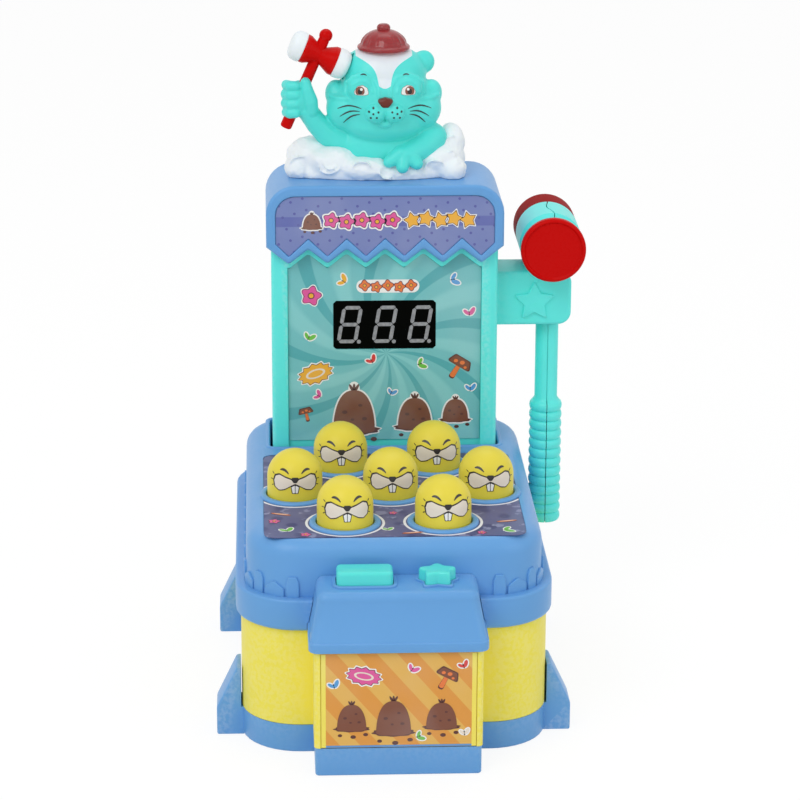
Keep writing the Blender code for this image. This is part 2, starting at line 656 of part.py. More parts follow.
def build_base_tray(look):
    """Bottom pan with its four outriggers, the battery compartment, the speaker's ring and screw posts."""
    foot = MODULE.inset(-MODULE_FOOT_STEP)
    tray = edged_prism(BODY, 0, TRAY_HEIGHT, TRAY_EDGE, both=True, steps=BODY_CORNER_STEPS)
    join(tray, edged_prism(foot, 0, TRAY_HEIGHT, TRAY_EDGE, both=True))
    room = TRAY_HEIGHT + OVERRUN
    cut(tray, prism(BODY.inset(WALL).outline(BODY_CORNER_STEPS), TRAY_FLOOR, room))
    cut(tray, prism(foot.inset(WALL).outline(), TRAY_FLOOR, room))
    compartment = battery_box()
    ceiling = cell_ceiling()
    door_seat = DOOR + 2 * GAP
    join(tray, prism(compartment.inset(-THIN_WALL).outline(1), TRAY_EDGE, ceiling + THIN_WALL),
         prism(door_plan().inset(-WALL).outline(), TRAY_FLOOR / 2, door_seat + THIN_WALL))
    cut(tray, prism(compartment.outline(1), -OVERRUN, ceiling))
    cut(tray, prism(door_plan().inset(-GAP).outline(), -OVERRUN, door_seat))
    posts = [rod((x, y, TRAY_FLOOR / 2), (x, y, POST_TOP), POST_RADIUS) for x, y in POST_PLACES]
    ring = rod((0, SPEAKER_Y, TRAY_FLOOR / 2), (0, SPEAKER_Y, TRAY_FLOOR + SPEAKER_FLANGE),
               SPEAKER_RADIUS + GAP + SPEAKER_RING, ROUND_SIDES)
    cut(ring, rod((0, SPEAKER_Y, 0), (0, SPEAKER_Y, room), SPEAKER_RADIUS + GAP, ROUND_SIDES))
    screw_boss = rod((0, door_screw_y(), door_seat), (0, door_screw_y(), ceiling), POST_RADIUS)
    join(tray, screw_boss, ring, *posts)
    holes = []
    for x, y in POST_PLACES:
        holes.append(turned_bar((x, y, 0), (0, 0, 1), [
            (-OVERRUN, SCREW_HEAD_RADIUS + GAP), (SCREW_SEAT, SCREW_HEAD_RADIUS + GAP),
            (SCREW_SEAT, SCREW_RADIUS + GAP), (POST_TOP + OVERRUN, SCREW_RADIUS + GAP)]))
    holes.append(rod((0, door_screw_y(), -OVERRUN), (0, door_screw_y(), ceiling - THIN_WALL),
                     SCREW_RADIUS + GAP))
    first = -(GRILLE_SLOTS - 1) / 2
    for i in range(GRILLE_SLOTS):
        y = SPEAKER_Y + (first + i) * GRILLE_PITCH
        holes.append(box(-GRILLE_LENGTH / 2, GRILLE_LENGTH / 2, y - GRILLE_SLOT_WIDTH / 2,
                         y + GRILLE_SLOT_WIDTH / 2, -OVERRUN, TRAY_FLOOR + OVERRUN))
    cut(tray, *holes)
    join(tray, *[outrigger(side, y) for side in (-1, 1) for y in (OUTRIGGER_FRONT_Y, OUTRIGGER_REAR_Y)])
    return finish(tray, "base_tray", look)


def door_plan():
    """The plan of the battery door."""
    compartment = battery_box()
    return Plan(compartment.left - DOOR_LEDGE, compartment.right + DOOR_LEDGE,
                compartment.low - DOOR_LEDGE - DOOR_SCREW_MARGIN, compartment.high + DOOR_LEDGE, DOOR_LEDGE)


def door_screw_y():
    """Where the battery door's screw is."""
    return battery_box().low - THIN_WALL / 2 - POST_RADIUS


def build_battery_door(look):
    """Flush door under the cells, with a countersunk screw hole."""
    door = edged_prism(door_plan(), GAP, GAP + DOOR, GAP)
    y = door_screw_y()
    seat = GAP + DOOR / 2
    cut(door, turned_bar((0, y, 0), (0, 0, 1), [
        (0, SCREW_HEAD_RADIUS + GAP), (seat, SCREW_HEAD_RADIUS + GAP), (seat, SCREW_RADIUS + GAP),
        (DOOR + OVERRUN, SCREW_RADIUS + GAP)]))
    return finish(door, "battery_door", look)


def build_battery_door_screw(look):
    """The screw that holds the battery door shut."""
    y = door_screw_y()
    head_top = DOOR / 2
    screw = turned_bar((0, y, 0), (0, 0, 1), [
        (GAP, SCREW_HEAD_RADIUS), (head_top, SCREW_HEAD_RADIUS), (head_top, SCREW_RADIUS),
        (cell_ceiling() - THIN_WALL - 2 * GAP, SCREW_RADIUS)])
    return finish(screw, "battery_door_screw", look)


def cell_centres():
    """Where the cells lie across the compartment."""
    first = -(CELL_COUNT - 1) / 2
    return [(first + i) * CELL_PITCH for i in range(CELL_COUNT)]


def build_batteries(look):
    """Cells side by side, turned end for end."""
    room = battery_box()
    z = DOOR + 3 * GAP + CELL_RADIUS
    for i, x in enumerate(cell_centres()):
        body_end, nub_end = (room.low + CONTACT_ROOM, room.high - CONTACT_ROOM)[:: 1 if i % 2 else -1]
        toward = 1 if nub_end > body_end else -1
        shoulder = body_end + toward * CELL_LENGTH
        cell = rod((x, body_end, z), (x, shoulder, z), CELL_RADIUS, 12)
        join(cell, rod((x, body_end + toward * CELL_RADIUS, z), (x, nub_end, z), CELL_NUB_RADIUS))
        finish(cell, f"battery_{i + 1}", look)


def build_battery_contacts(look):
    """A contact strip across each end of the compartment."""
    room = battery_box()
    low, high = DOOR + 3 * GAP, cell_ceiling() - GAP
    for y, name in ((room.low + GAP, "front"), (room.high - GAP - CONTACT, "rear")):
        strip = box(room.left + GAP, room.right - GAP, y, y + CONTACT, low, high)
        finish(strip, f"battery_contact_{name}", look)


def build_speaker(look):
    """Loudspeaker over the grille."""
    floor = TRAY_FLOOR + GAP
    cone_top = floor + SPEAKER_DEPTH / 2
    profile = [
        (0, floor + SPEAKER_FLANGE / 2), (SPEAKER_CONE_RADIUS, floor + SPEAKER_FLANGE / 2),
        (SPEAKER_CONE_RADIUS, floor), (SPEAKER_RADIUS, floor), (SPEAKER_RADIUS, floor + SPEAKER_FLANGE),
        (SPEAKER_CONE_RADIUS, floor + SPEAKER_FLANGE), (SPEAKER_MAGNET_RADIUS, cone_top),
        (SPEAKER_MAGNET_RADIUS, floor + SPEAKER_DEPTH), (0, floor + SPEAKER_DEPTH),
    ]
    return finish(move(lathe(profile), y=SPEAKER_Y), "speaker", look)


def build_body_band(look):
    """Yellow band of the body and walls of the front module."""
    low, high = TRAY_HEIGHT + GAP, RIM_BOTTOM - GAP
    band = prism(BODY.outline(BODY_CORNER_STEPS), low, high)
    join(band, prism(MODULE.outline(), low, high))
    cut(band, prism(BODY.inset(WALL).outline(BODY_CORNER_STEPS), low - OVERRUN, high + OVERRUN),
        prism(MODULE.inset(WALL).outline(), low - OVERRUN, high + OVERRUN))
    recess = SHEET + 2 * GAP
    cut(band, box(-FRONT_LABEL_HALF_WIDTH - GAP, FRONT_LABEL_HALF_WIDTH + GAP, MODULE_FRONT - OVERRUN,
                  MODULE_FRONT + recess, low - OVERRUN, FRONT_LABEL_TOP + GAP))
    slot = SLIDER_SLOT_HALF_WIDTH
    cut(band, box(-slot, slot, BODY_REAR - OVERRUN, BODY_REAR + OVERRUN,
                  SLIDER_Z - SLIDER_HALF_HEIGHT - SLIDE_GAP, SLIDER_Z + SLIDER_HALF_HEIGHT + SLIDE_GAP))
    return finish(band, "body_band", look)


def build_front_label(look):
    """Striped printed sheet on the front module."""
    back = MODULE_FRONT + SHEET + GAP
    half = FRONT_LABEL_HALF_WIDTH
    sheet = box(-half, half, back - SHEET, back, TRAY_HEIGHT + 2 * GAP, FRONT_LABEL_TOP)
    return finish(sheet, "front_label", look)


def build_power_slider(look):
    """Knob of the power switch, in a slot of the rear wall. It slides along X."""
    start = -SLIDER_TRAVEL / 2
    inside = BODY_REAR - WALL - GAP
    knob = box(start - SLIDER_HALF_WIDTH, start + SLIDER_HALF_WIDTH, inside - SLIDER_FLANGE,
               BODY_REAR + SLIDER_PROUD, SLIDER_Z - SLIDER_HALF_HEIGHT, SLIDER_Z + SLIDER_HALF_HEIGHT)
    flange_half = SLIDER_HALF_WIDTH + SLIDER_FLANGE
    flange_height = SLIDER_HALF_HEIGHT + SLIDER_FLANGE
    join(knob, box(start - flange_half, start + flange_half, inside - SLIDER_FLANGE, inside,
                   SLIDER_Z - flange_height, SLIDER_Z + flange_height))
    return finish(knob, "power_slider", look, (start, BODY_REAR, SLIDER_Z))


def build_power_switch(look):
    """Housing of the power switch behind the rear wall, open toward the knob."""
    inside = BODY_REAR - WALL - GAP
    back = inside - SLIDER_FLANGE - SWITCH_BODY_DEPTH
    reach = SLIDER_TRAVEL / 2 + SLIDER_HALF_WIDTH + SLIDER_FLANGE + SLIDE_GAP
    height = SLIDER_HALF_HEIGHT + SLIDER_FLANGE + SLIDE_GAP
    housing = box(-reach - WALL, reach + WALL, back, inside, SLIDER_Z - height - WALL, SLIDER_Z + height + WALL)
    cut(housing, box(-reach, reach, inside - SLIDER_FLANGE - SLIDE_GAP, inside + OVERRUN,
                     SLIDER_Z - height, SLIDER_Z + height))
    return finish(housing, "power_switch", look)


def outrigger(side, y):
    """A triangular foot on the tray's side, which stands up beside the band."""
    near = BODY_HALF_WIDTH - WALL / 2
    wall = BODY_HALF_WIDTH + 2 * GAP
    outline = [
        (near, 0), (OUTRIGGER_REACH, 0), (OUTRIGGER_REACH, OUTRIGGER_SIDE),
        (wall + OUTRIGGER_TOP_WIDTH, OUTRIGGER_TOP), (wall, OUTRIGGER_TOP), (wall, TRAY_HEIGHT),
        (near, TRAY_HEIGHT),
    ]
    return prism([(side * x, z) for x, z in outline], y, y + OUTRIGGER_THICKNESS, "Y")


def build_deck_cover(look):
    """Top cover: rim, walls, deck with seven ringed holes, guide tubes and the tower's socket."""
    steps = BODY_CORNER_STEPS
    inside = BODY.inset(WALL).outline(steps)
    sections = [(RIM.inset(RIM_EDGE).outline(steps), RIM_BOTTOM), (RIM.outline(steps), RIM_BOTTOM + RIM_EDGE),
                (RIM.outline(steps), RIM_TOP), (DECK.outline(steps), RIM_TOP)]
    inner_sections = [(inside, RIM_BOTTOM - OVERRUN), (inside, RIM_TOP - WALL),
                      (DECK.inset(WALL).outline(steps), RIM_TOP - WALL)]
    for step in range(EDGE_STEPS + 1):
        turn = math.pi / 2 * step / EDGE_STEPS
        inset = DECK_FILLET * (1 - math.cos(turn))
        height = DECK_TOP - DECK_FILLET * (1 - math.sin(turn))
        sections.append((DECK.inset(inset).outline(steps), height))
        inner_height = DECK_UNDERSIDE - (DECK_FILLET - WALL) * (1 - math.sin(turn))
        inner_inset = WALL + (DECK_FILLET - WALL) * (1 - math.cos(turn))
        inner_sections.append((DECK.inset(inner_inset).outline(steps), inner_height))
    cover = loft(sections)
    cut(cover, loft(inner_sections))
    notch = HOOD_HALF_WIDTH + GAP
    cut(cover, box(-notch, notch, RIM.low - OVERRUN, DECK.low, RIM_BOTTOM - OVERRUN, DECK_TOP))
    cut(cover, prism(DECK_LABEL.inset(-GAP).outline(3), DECK_FLOOR, DECK_TOP + OVERRUN))
    additions = []
    tube_radius = GUIDE_RADIUS + THIN_WALL
    ring_top = DECK_FLOOR + RING_HEIGHT
    for x, y in MOLE_PLACES:
        stations = [(MAIN_BOARD_TOP + GAP, tube_radius), (DECK_UNDERSIDE + WALL / 2, tube_radius),
                    (DECK_UNDERSIDE + WALL / 2, RING_OUTER_RADIUS), (ring_top - RING_EDGE, RING_OUTER_RADIUS),
                    (ring_top, RING_OUTER_RADIUS - RING_EDGE)]
        additions.append(turned_bar((x, y, 0), (0, 0, 1), stations, ROUND_SIDES))
    for x, y in POST_PLACES:
        additions.append(rod((x, y, POST_TOP + GAP), (x, y, DECK_UNDERSIDE + GAP), BOSS_RADIUS))
    socket_walls = prism(SOCKET.inset(-THIN_WALL).outline(1), SOCKET_FLOOR_TOP - WALL, DECK_UNDERSIDE + WALL / 2)
    lip = edged_prism(SOCKET.inset(-SOCKET_LIP_WIDTH), DECK_UNDERSIDE + WALL / 2, DECK_TOP + SOCKET_LIP_HEIGHT,
                      RING_EDGE)
    join(cover, socket_walls, lip, *additions)
    holes = [prism(SOCKET.outline(1), SOCKET_FLOOR_TOP, DECK_TOP + OVERRUN + SOCKET_LIP_HEIGHT)]
    for x, y in MOLE_PLACES:
        hole_radius = MOLE_RADIUS + MOLE_HOLE_GAP
        stations = [(MAIN_BOARD_TOP - OVERRUN, GUIDE_RADIUS), (DECK_UNDERSIDE, GUIDE_RADIUS),
                    (DECK_UNDERSIDE, hole_radius), (ring_top + OVERRUN, hole_radius)]
        holes.append(turned_bar((x, y, 0), (0, 0, 1), stations, ROUND_SIDES))
    for x, y in POST_PLACES:
        holes.append(rod((x, y, POST_TOP - OVERRUN), (x, y, SCREW_SEAT + SCREW_LENGTH + POST_TOP),
                         SCREW_RADIUS + GAP))
    half = CABLE_WIDTH / 2 + CABLE_HOLE_MARGIN
    holes.append(box(-half, half, CABLE_Y - CABLE - CABLE_HOLE_MARGIN, CABLE_Y + CABLE + CABLE_HOLE_MARGIN,
                     SOCKET_FLOOR_TOP - WALL - OVERRUN, SOCKET_FLOOR_TOP + OVERRUN))
    cut(cover, *holes)
    return finish(cover, "deck_cover", look)


def build_deck_label(look):
    """Printed sheet between the rings of the deck."""
    low = DECK_FLOOR + GAP
    sheet = prism(DECK_LABEL.outline(3), low, low + SHEET)
    holes = []
    for x, y in MOLE_PLACES:
        holes.append(rod((x, y, low - OVERRUN), (x, y, low + OVERRUN), RING_OUTER_RADIUS + GAP, ROUND_SIDES))
    cut(sheet, *holes)
    return finish(sheet, "deck_label", look)


def build_moles(look):
    """Seven moles: a domed shell over a flange that the deck holds down, with a stem over its key switch."""
    dome_foot = MOLE_TOP - MOLE_RADIUS
    inner = MOLE_RADIUS - MOLE_WALL
    profile = [(MOLE_LIGHT_RADIUS, MOLE_FLOOR), (MOLE_FLANGE_RADIUS, MOLE_FLOOR),
               (MOLE_FLANGE_RADIUS, MOLE_FLANGE_TOP), (MOLE_RADIUS, MOLE_FLANGE_TOP)]
    profile += dome(MOLE_RADIUS, dome_foot, CORNER_STEPS)
    profile += dome(inner, dome_foot, EDGE_STEPS)[::-1]
    profile += [(inner, MOLE_FLANGE_TOP), (MOLE_LIGHT_RADIUS, MOLE_FLANGE_TOP)]
    mole = lathe(profile)
    foot = MAIN_BOARD_TOP + SWITCH_TOP + MOLE_TRAVEL
    stem_top = MOLE_FLANGE_TOP - MOLE_FLANGE_HEIGHT / 2
    join(mole, rod((MOLE_STEM_OFFSET, 0, foot), (MOLE_STEM_OFFSET, 0, stem_top), MOLE_STEM_RADIUS, 8))
    first = finish(mole, "mole_1", look)
    first.location = (*MOLE_PLACES[0], 0)
    for number, (x, y) in enumerate(MOLE_PLACES[1:], 2):
        copy_to(first, f"mole_{number}", x, y)


def build_mole_springs(look):
    """A coil spring between the board and each mole's flange."""
    low = MAIN_BOARD_TOP + GAP + SPRING_WIRE_RADIUS
    high = MOLE_FLOOR - GAP - SPRING_WIRE_RADIUS
    count = round(SPRING_TURNS * SPRING_POINTS_PER_TURN) + 1
    for number, (x, y) in enumerate(MOLE_PLACES, 1):
        curve = bpy.data.curves.new(f"mole_spring_{number}", "CURVE")
        curve.dimensions = "3D"
        curve.bevel_depth = SPRING_WIRE_RADIUS
        curve.bevel_resolution = 0
        curve.use_fill_caps = True
        spline = curve.splines.new("POLY")
        spline.points.add(count - 1)
        for i, point in enumerate(spline.points):
            turn = math.tau * i / SPRING_POINTS_PER_TURN
            height = low + (high - low) * i / (count - 1)
            point.co = (SPRING_RADIUS * math.cos(turn), SPRING_RADIUS * math.sin(turn), height, 1)
        curve.materials.append(look)
        spring = bpy.data.objects.new(f"mole_spring_{number}", curve)
        spring.location = (x, y, 0)
        bpy.context.scene.collection.objects.link(spring)


def key_switch(x, y, board_top):
    """A square switch with its plunger, soldered on a board."""
    half = SWITCH_SIZE / 2
    body = box(x - half, x + half, y - half, y + half, board_top - BOARD / 2, board_top + SWITCH_HEIGHT)
    plunger_top = board_top + SWITCH_HEIGHT + SWITCH_PLUNGER_HEIGHT
    return join(body, rod((x, y, board_top + SWITCH_HEIGHT / 2), (x, y, plunger_top), SWITCH_PLUNGER_RADIUS, 8))


def lamp(foot):
    """A small round-topped lamp at the origin, whose leads' end is at foot below its flange."""
    shoulder = LAMP_HEIGHT - LAMP_RADIUS
    profile = [(0, foot), (LAMP_FLANGE_RADIUS, foot), (LAMP_FLANGE_RADIUS, LAMP_FLANGE_HEIGHT),
               (LAMP_RADIUS, LAMP_FLANGE_HEIGHT), (LAMP_RADIUS, shoulder),
               (LAMP_RADIUS / 2, LAMP_HEIGHT - LAMP_RADIUS / 4), (0, LAMP_HEIGHT)]
    return lathe(profile, 6)


def build_main_board(look):
    """Circuit board under the guide tubes, with a key switch and a lamp for each mole."""
    half = MAIN_BOARD_HALF_WIDTH
    cut_x, cut_y = half - MAIN_BOARD_CUT_X, MAIN_BOARD_FRONT + MAIN_BOARD_CUT_Y
    outline = [(-cut_x, MAIN_BOARD_FRONT), (cut_x, MAIN_BOARD_FRONT), (half, cut_y), (half, MAIN_BOARD_REAR),
               (-half, MAIN_BOARD_REAR), (-half, cut_y)]
    board = prism(outline, MAIN_BOARD_TOP - BOARD, MAIN_BOARD_TOP)
    join(board, *[key_switch(x + MOLE_STEM_OFFSET, y, MAIN_BOARD_TOP) for x, y in MOLE_PLACES],
         *[move(lamp(-BOARD / 2), x, y, MAIN_BOARD_TOP) for x, y in MOLE_PLACES])
    return finish(board, "main_board", look)


def button_places():
    """Where the two hood buttons' stems come down."""
    return [((START_BUTTON_LEFT + START_BUTTON_RIGHT) / 2, (START_BUTTON_FRONT + START_BUTTON_REAR) / 2),
            (STAR_BUTTON_X, STAR_BUTTON_Y)]


def hood_plan(half_width, front):
    """A section of the hood, which runs back into the body before it is cut off."""
    return Plan(-half_width, half_width, front, MODULE_ROOT, HOOD_CORNER)


def star_button_outline(grow):
    """Outline of the star button, its hole or its lip."""
    return star(STAR_BUTTON_RADIUS + grow, STAR_INNER_SHARE, STAR_TIP_SHARE, STAR_DEPTH_SHARE,
                STAR_BUTTON_X, STAR_BUTTON_Y)


def build_front_hood(look):
    """Hood over the front module, with lipped openings for its two buttons."""
    low = RIM_BOTTOM
    hood = loft([
        (hood_plan(HOOD_HALF_WIDTH, HOOD_FRONT).outline(), low),
        (hood_plan(HOOD_HALF_WIDTH, HOOD_FRONT).outline(), HOOD_SKIRT_TOP),
        (hood_plan(HOOD_TOP_HALF_WIDTH, HOOD_TOP_FRONT).outline(), HOOD_TOP - HOOD_FILLET),
        (hood_plan(HOOD_TOP_HALF_WIDTH, HOOD_TOP_FRONT).inset(HOOD_FILLET / 3).outline(), HOOD_TOP - HOOD_FILLET / 3),
        (hood_plan(HOOD_TOP_HALF_WIDTH, HOOD_TOP_FRONT).inset(HOOD_FILLET).outline(), HOOD_TOP),
    ])
    join(hood, prism(START_BUTTON.inset(-LIP_WIDTH - SLIDE_GAP).outline(3), HOOD_TOP - WALL / 2,
                     HOOD_TOP + LIP_HEIGHT),
         prism(star_button_outline(LIP_WIDTH + SLIDE_GAP), HOOD_TOP - WALL / 2, HOOD_TOP + LIP_HEIGHT))
    inner_front = MODULE_FRONT + WALL
    inner_half = MODULE_HALF_WIDTH - WALL
    top_half = HOOD_TOP_HALF_WIDTH - WALL
    top_front = HOOD_TOP_FRONT + WALL
    cut(hood, loft([
        (hood_plan(inner_half, inner_front).outline(), low - OVERRUN),
        (hood_plan(inner_half, inner_front).outline(), HOOD_SKIRT_TOP),
        (hood_plan(top_half, top_front).outline(), HOOD_TOP - HOOD_FILLET),
        (hood_plan(top_half, top_front).inset(HOOD_FILLET / 2).outline(), HOOD_TOP - WALL),
    ]))
    room = HOOD_TOP + LIP_HEIGHT + OVERRUN
    posts = []
    for x in (-1, 1):
        post_x = x * (BUTTON_BOARD_HALF_WIDTH - BOSS_RADIUS)
        post_y = (BUTTON_BOARD_FRONT + BUTTON_BOARD_REAR) / 2
        posts.append(rod((post_x, post_y, BUTTON_BOARD_TOP + GAP), (post_x, post_y, HOOD_TOP - WALL / 2),
                         BOSS_RADIUS))
    join(hood, *posts)
    cut(hood, prism(START_BUTTON.inset(-SLIDE_GAP).outline(3), HOOD_SKIRT_TOP, room),
        prism(star_button_outline(SLIDE_GAP), HOOD_SKIRT_TOP, room),
        box(-HOOD_HALF_WIDTH * 2, HOOD_HALF_WIDTH * 2, DECK.low - GAP, MODULE_ROOT + OVERRUN, low - OVERRUN, room))
    return finish(hood, "front_hood", look)


def sprung_button(outline_at, top, place):
    """A button with its flange under the hood and a stem over its key switch."""
    flange_top = HOOD_TOP - WALL - GAP
    flange_low = flange_top - BUTTON_FLANGE_HEIGHT
    button = loft([(outline_at(0), flange_low), (outline_at(0), top - BUTTON_EDGE),
                   (outline_at(-BUTTON_EDGE), top)])
    foot = BUTTON_BOARD_TOP + SWITCH_TOP + BUTTON_TRAVEL
    return join(button, prism(outline_at(BUTTON_FLANGE), flange_low, flange_top),
                rod((*place, foot), (*place, flange_top), BUTTON_STEM_RADIUS, 8))


def build_buttons(look):
    """The rectangular start button and the star button."""
    start_place, star_place = button_places()
    start = sprung_button(lambda grow: START_BUTTON.inset(-grow).outline(3), START_BUTTON_TOP, start_place)
    finish(start, "start_button", look, (*start_place, START_BUTTON_TOP))
    star_shaped = sprung_button(star_button_outline, STAR_BUTTON_TOP, star_place)
    finish(star_shaped, "star_button", look, (*star_place, STAR_BUTTON_TOP))


def build_button_board(look):
    """Circuit board under the two buttons, with their key switches."""
    half = BUTTON_BOARD_HALF_WIDTH
    board = box(-half, half, BUTTON_BOARD_FRONT, BUTTON_BOARD_REAR, BUTTON_BOARD_TOP - BOARD, BUTTON_BOARD_TOP)
    join(board, *[key_switch(x, y, BUTTON_BOARD_TOP) for x, y in button_places()])
    return finish(board, "button_board", look)


def teeth(low, high, flip=False):
    """The points of the zigzag edge from left to right, low points first."""
    first = -(TOOTH_COUNT - 1) / 2
    points = []
    for i in range(TOOTH_COUNT):
        points.append(((first + i) * TOOTH_PITCH, low))
        if i < TOOTH_COUNT - 1:
            points.append(((first + i) * TOOTH_PITCH + TOOTH_PITCH / 2, high))
    return points[::-1] if flip else points


def arch(half_width, low, top, corner):
    """Outline of a front view with round upper corners, low edge left open for the caller to close."""
    plan = Plan(-half_width, half_width, low, top, corner)
    return plan.outline()[CORNER_STEPS + 1: 3 * (CORNER_STEPS + 1)]


def arch_outline(half_width, low, top, corner):
    """Closed outline of a front view with round upper corners and square lower ones."""
    return [(-half_width, low), (half_width, low)] + arch(half_width, low, top, corner)


def tower_shell(front, rear, edge_front, edge_rear):
    """A block of the tower with its outer edges chamfered at one end."""
    bottom = SOCKET_FLOOR_TOP + GAP
    full = arch_outline(TOWER_HALF_WIDTH, bottom, TOWER_TOP, TOWER_TOP_CORNER)
    slim = arch_outline(TOWER_HALF_WIDTH - TOWER_EDGE, bottom, TOWER_TOP - TOWER_EDGE, TOWER_TOP_CORNER - TOWER_EDGE)
    sections = [(slim, front), (full, front + TOWER_EDGE)] if edge_front else [(full, front)]
    sections += [(full, rear - TOWER_EDGE), (slim, rear)] if edge_rear else [(full, rear)]
    return loft(sections, "Y")


def tower_room(front, rear):
    """The hollow inside the tower."""
    bottom = SOCKET_FLOOR_TOP + GAP + WALL
    return prism(arch_outline(TOWER_HALF_WIDTH - WALL, bottom, TOWER_TOP - WALL, TOWER_TOP_CORNER - WALL),
                 front, rear, "Y")


def cable_gate():
    """The opening in the tower's floor for the flat cable."""
    half = CABLE_WIDTH / 2 + CABLE_HOLE_MARGIN
    return box(-half, half, CABLE_Y - CABLE - CABLE_HOLE_MARGIN, CABLE_Y + CABLE + CABLE_HOLE_MARGIN,
               SOCKET_FLOOR_TOP - OVERRUN, SOCKET_FLOOR_TOP + WALL + OVERRUN)


def display_board_plan():
    """The plan of the board behind the display."""
    return Plan(DISPLAY.left - DISPLAY_BOARD_MARGIN, DISPLAY.right + DISPLAY_BOARD_MARGIN,
                DISPLAY.low - DISPLAY_BOARD_MARGIN, DISPLAY.high + DISPLAY_BOARD_MARGIN, TOWER_EDGE)


def display_board_front():
    """Front face of the display's board."""
    return RECESS_BACK + DISPLAY_DEPTH + GAP


def build_tower_front_shell(look):
    """Front half of the tower, with the recess of its printed sheet and the display's opening."""
    shell = tower_shell(TOWER_FRONT, TOWER_SPLIT, True, False)
    plate_back = RECESS_BACK + WALL
    cut(shell, tower_room(plate_back, TOWER_SPLIT + OVERRUN))
    inner = TOWER_HALF_WIDTH - TOWER_COLUMN_WIDTH
    low = SOCKET_FLOOR_TOP + GAP + WALL
    recess = [(-inner, low), (inner, low), (inner, TOOTH_LOW - BEAD_DROP)]
    recess += teeth(TOOTH_LOW - BEAD_DROP, TOOTH_HIGH - BEAD_DROP, flip=True)
    recess += [(-inner, TOOTH_LOW - BEAD_DROP)]
    cut(shell, prism(recess, TOWER_FRONT - OVERRUN, RECESS_BACK, "Y"))
    board = display_board_plan()
    bosses = []
    for x in (board.left + BOSS_RADIUS, board.right - BOSS_RADIUS):
        for z in (board.low + BOSS_RADIUS, board.high - BOSS_RADIUS):
            bosses.append(rod((x, RECESS_BACK + WALL / 2, z), (x, display_board_front() - GAP, z), BOSS_RADIUS))
    for x, z in TOWER_SCREW_PLACES:
        bosses.append(rod((x, RECESS_BACK + WALL / 2, z), (x, TOWER_SPLIT, z), TOWER_BOSS_RADIUS))
    join(shell, *bosses)
    pilots = []
    for x, z in TOWER_SCREW_PLACES:
        pilots.append(rod((x, RECESS_BACK + WALL * 2, z), (x, TOWER_SPLIT + OVERRUN, z), SCREW_RADIUS + GAP))
    cut(shell, prism(DISPLAY.inset(-GAP).outline(1), TOWER_FRONT, plate_back + OVERRUN, "Y"),
        cable_gate(), *pilots)
    return finish(shell, "tower_front_shell", look)


def build_tower_rear_shell(look):
    """Rear half of the tower, with its screw bosses."""
    front = TOWER_SPLIT + GAP
    shell = tower_shell(front, TOWER_REAR, False, True)
    cut(shell, tower_room(front - OVERRUN, TOWER_REAR - WALL))
    bosses = [rod((x, front, z), (x, TOWER_REAR - WALL / 2, z), TOWER_BOSS_RADIUS) for x, z in TOWER_SCREW_PLACES]
    join(shell, *bosses)
    bore = [(front - OVERRUN, SCREW_RADIUS + GAP), (tower_screw_seat(), SCREW_RADIUS + GAP),
            (tower_screw_seat(), SCREW_HEAD_RADIUS + GAP), (TOWER_REAR + OVERRUN, SCREW_HEAD_RADIUS + GAP)]
    cut(shell, cable_gate(), *[turned_bar((x, 0, z), (0, 1, 0), bore) for x, z in TOWER_SCREW_PLACES])
    return finish(shell, "tower_rear_shell", look)


def tower_screw_seat():
    """Where the heads of the tower's screws bear, inside their wells."""
    return TOWER_SPLIT + SCREW_LENGTH / 2


def build_tower_screws(look):
    """Four screws from the rear shell into the front shell."""
    seat = tower_screw_seat() + GAP
    stations = [(-SCREW_LENGTH, SCREW_RADIUS), (0, SCREW_RADIUS), (0, SCREW_HEAD_RADIUS),
                (SCREW_HEAD, SCREW_HEAD_RADIUS)]
    for number, (x, z) in enumerate(TOWER_SCREW_PLACES, 1):
        finish(turned_bar((x, seat, z), (0, 1, 0), stations), f"tower_screw_{number}", look)


def build_body_screws(look):
    """Four screws from the tray's posts up into the deck cover's bosses."""
    stations = [(-SCREW_HEAD, SCREW_HEAD_RADIUS), (0, SCREW_HEAD_RADIUS), (0, SCREW_RADIUS),
                (POST_TOP - SCREW_SEAT + SCREW_LENGTH / 2, SCREW_RADIUS)]
    for number, (x, y) in enumerate(POST_PLACES, 1):
        finish(turned_bar((x, y, SCREW_SEAT - GAP), (0, 0, 1), stations), f"body_screw_{number}", look)


def build_tower_label(look):
    """Printed sheet in the tower's recess, round the display."""
    inner = TOWER_HALF_WIDTH - TOWER_COLUMN_WIDTH - GAP
    back = RECESS_BACK - GAP
    top = TOOTH_LOW - BEAD_DROP - GAP
    outline = [(-inner, TOWER_LABEL_BOTTOM), (inner, TOWER_LABEL_BOTTOM), (inner, top)]
    outline += teeth(top - GAP, TOOTH_HIGH - BEAD_DROP - 2 * GAP, flip=True)
    outline += [(-inner, top)]
    sheet = prism(outline, back - SHEET, back, "Y")
    cut(sheet, prism(DISPLAY.inset(-GAP).outline(1), back - OVERRUN, back + OVERRUN, "Y"))
    return finish(sheet, "tower_label", look)


def build_display_module(look):
    """Black housing of the score display."""
    front = RECESS_BACK - GAP
    housing = prism(DISPLAY.outline(1), front, RECESS_BACK + DISPLAY_DEPTH, "Y")
    return finish(housing, "display_module", look)


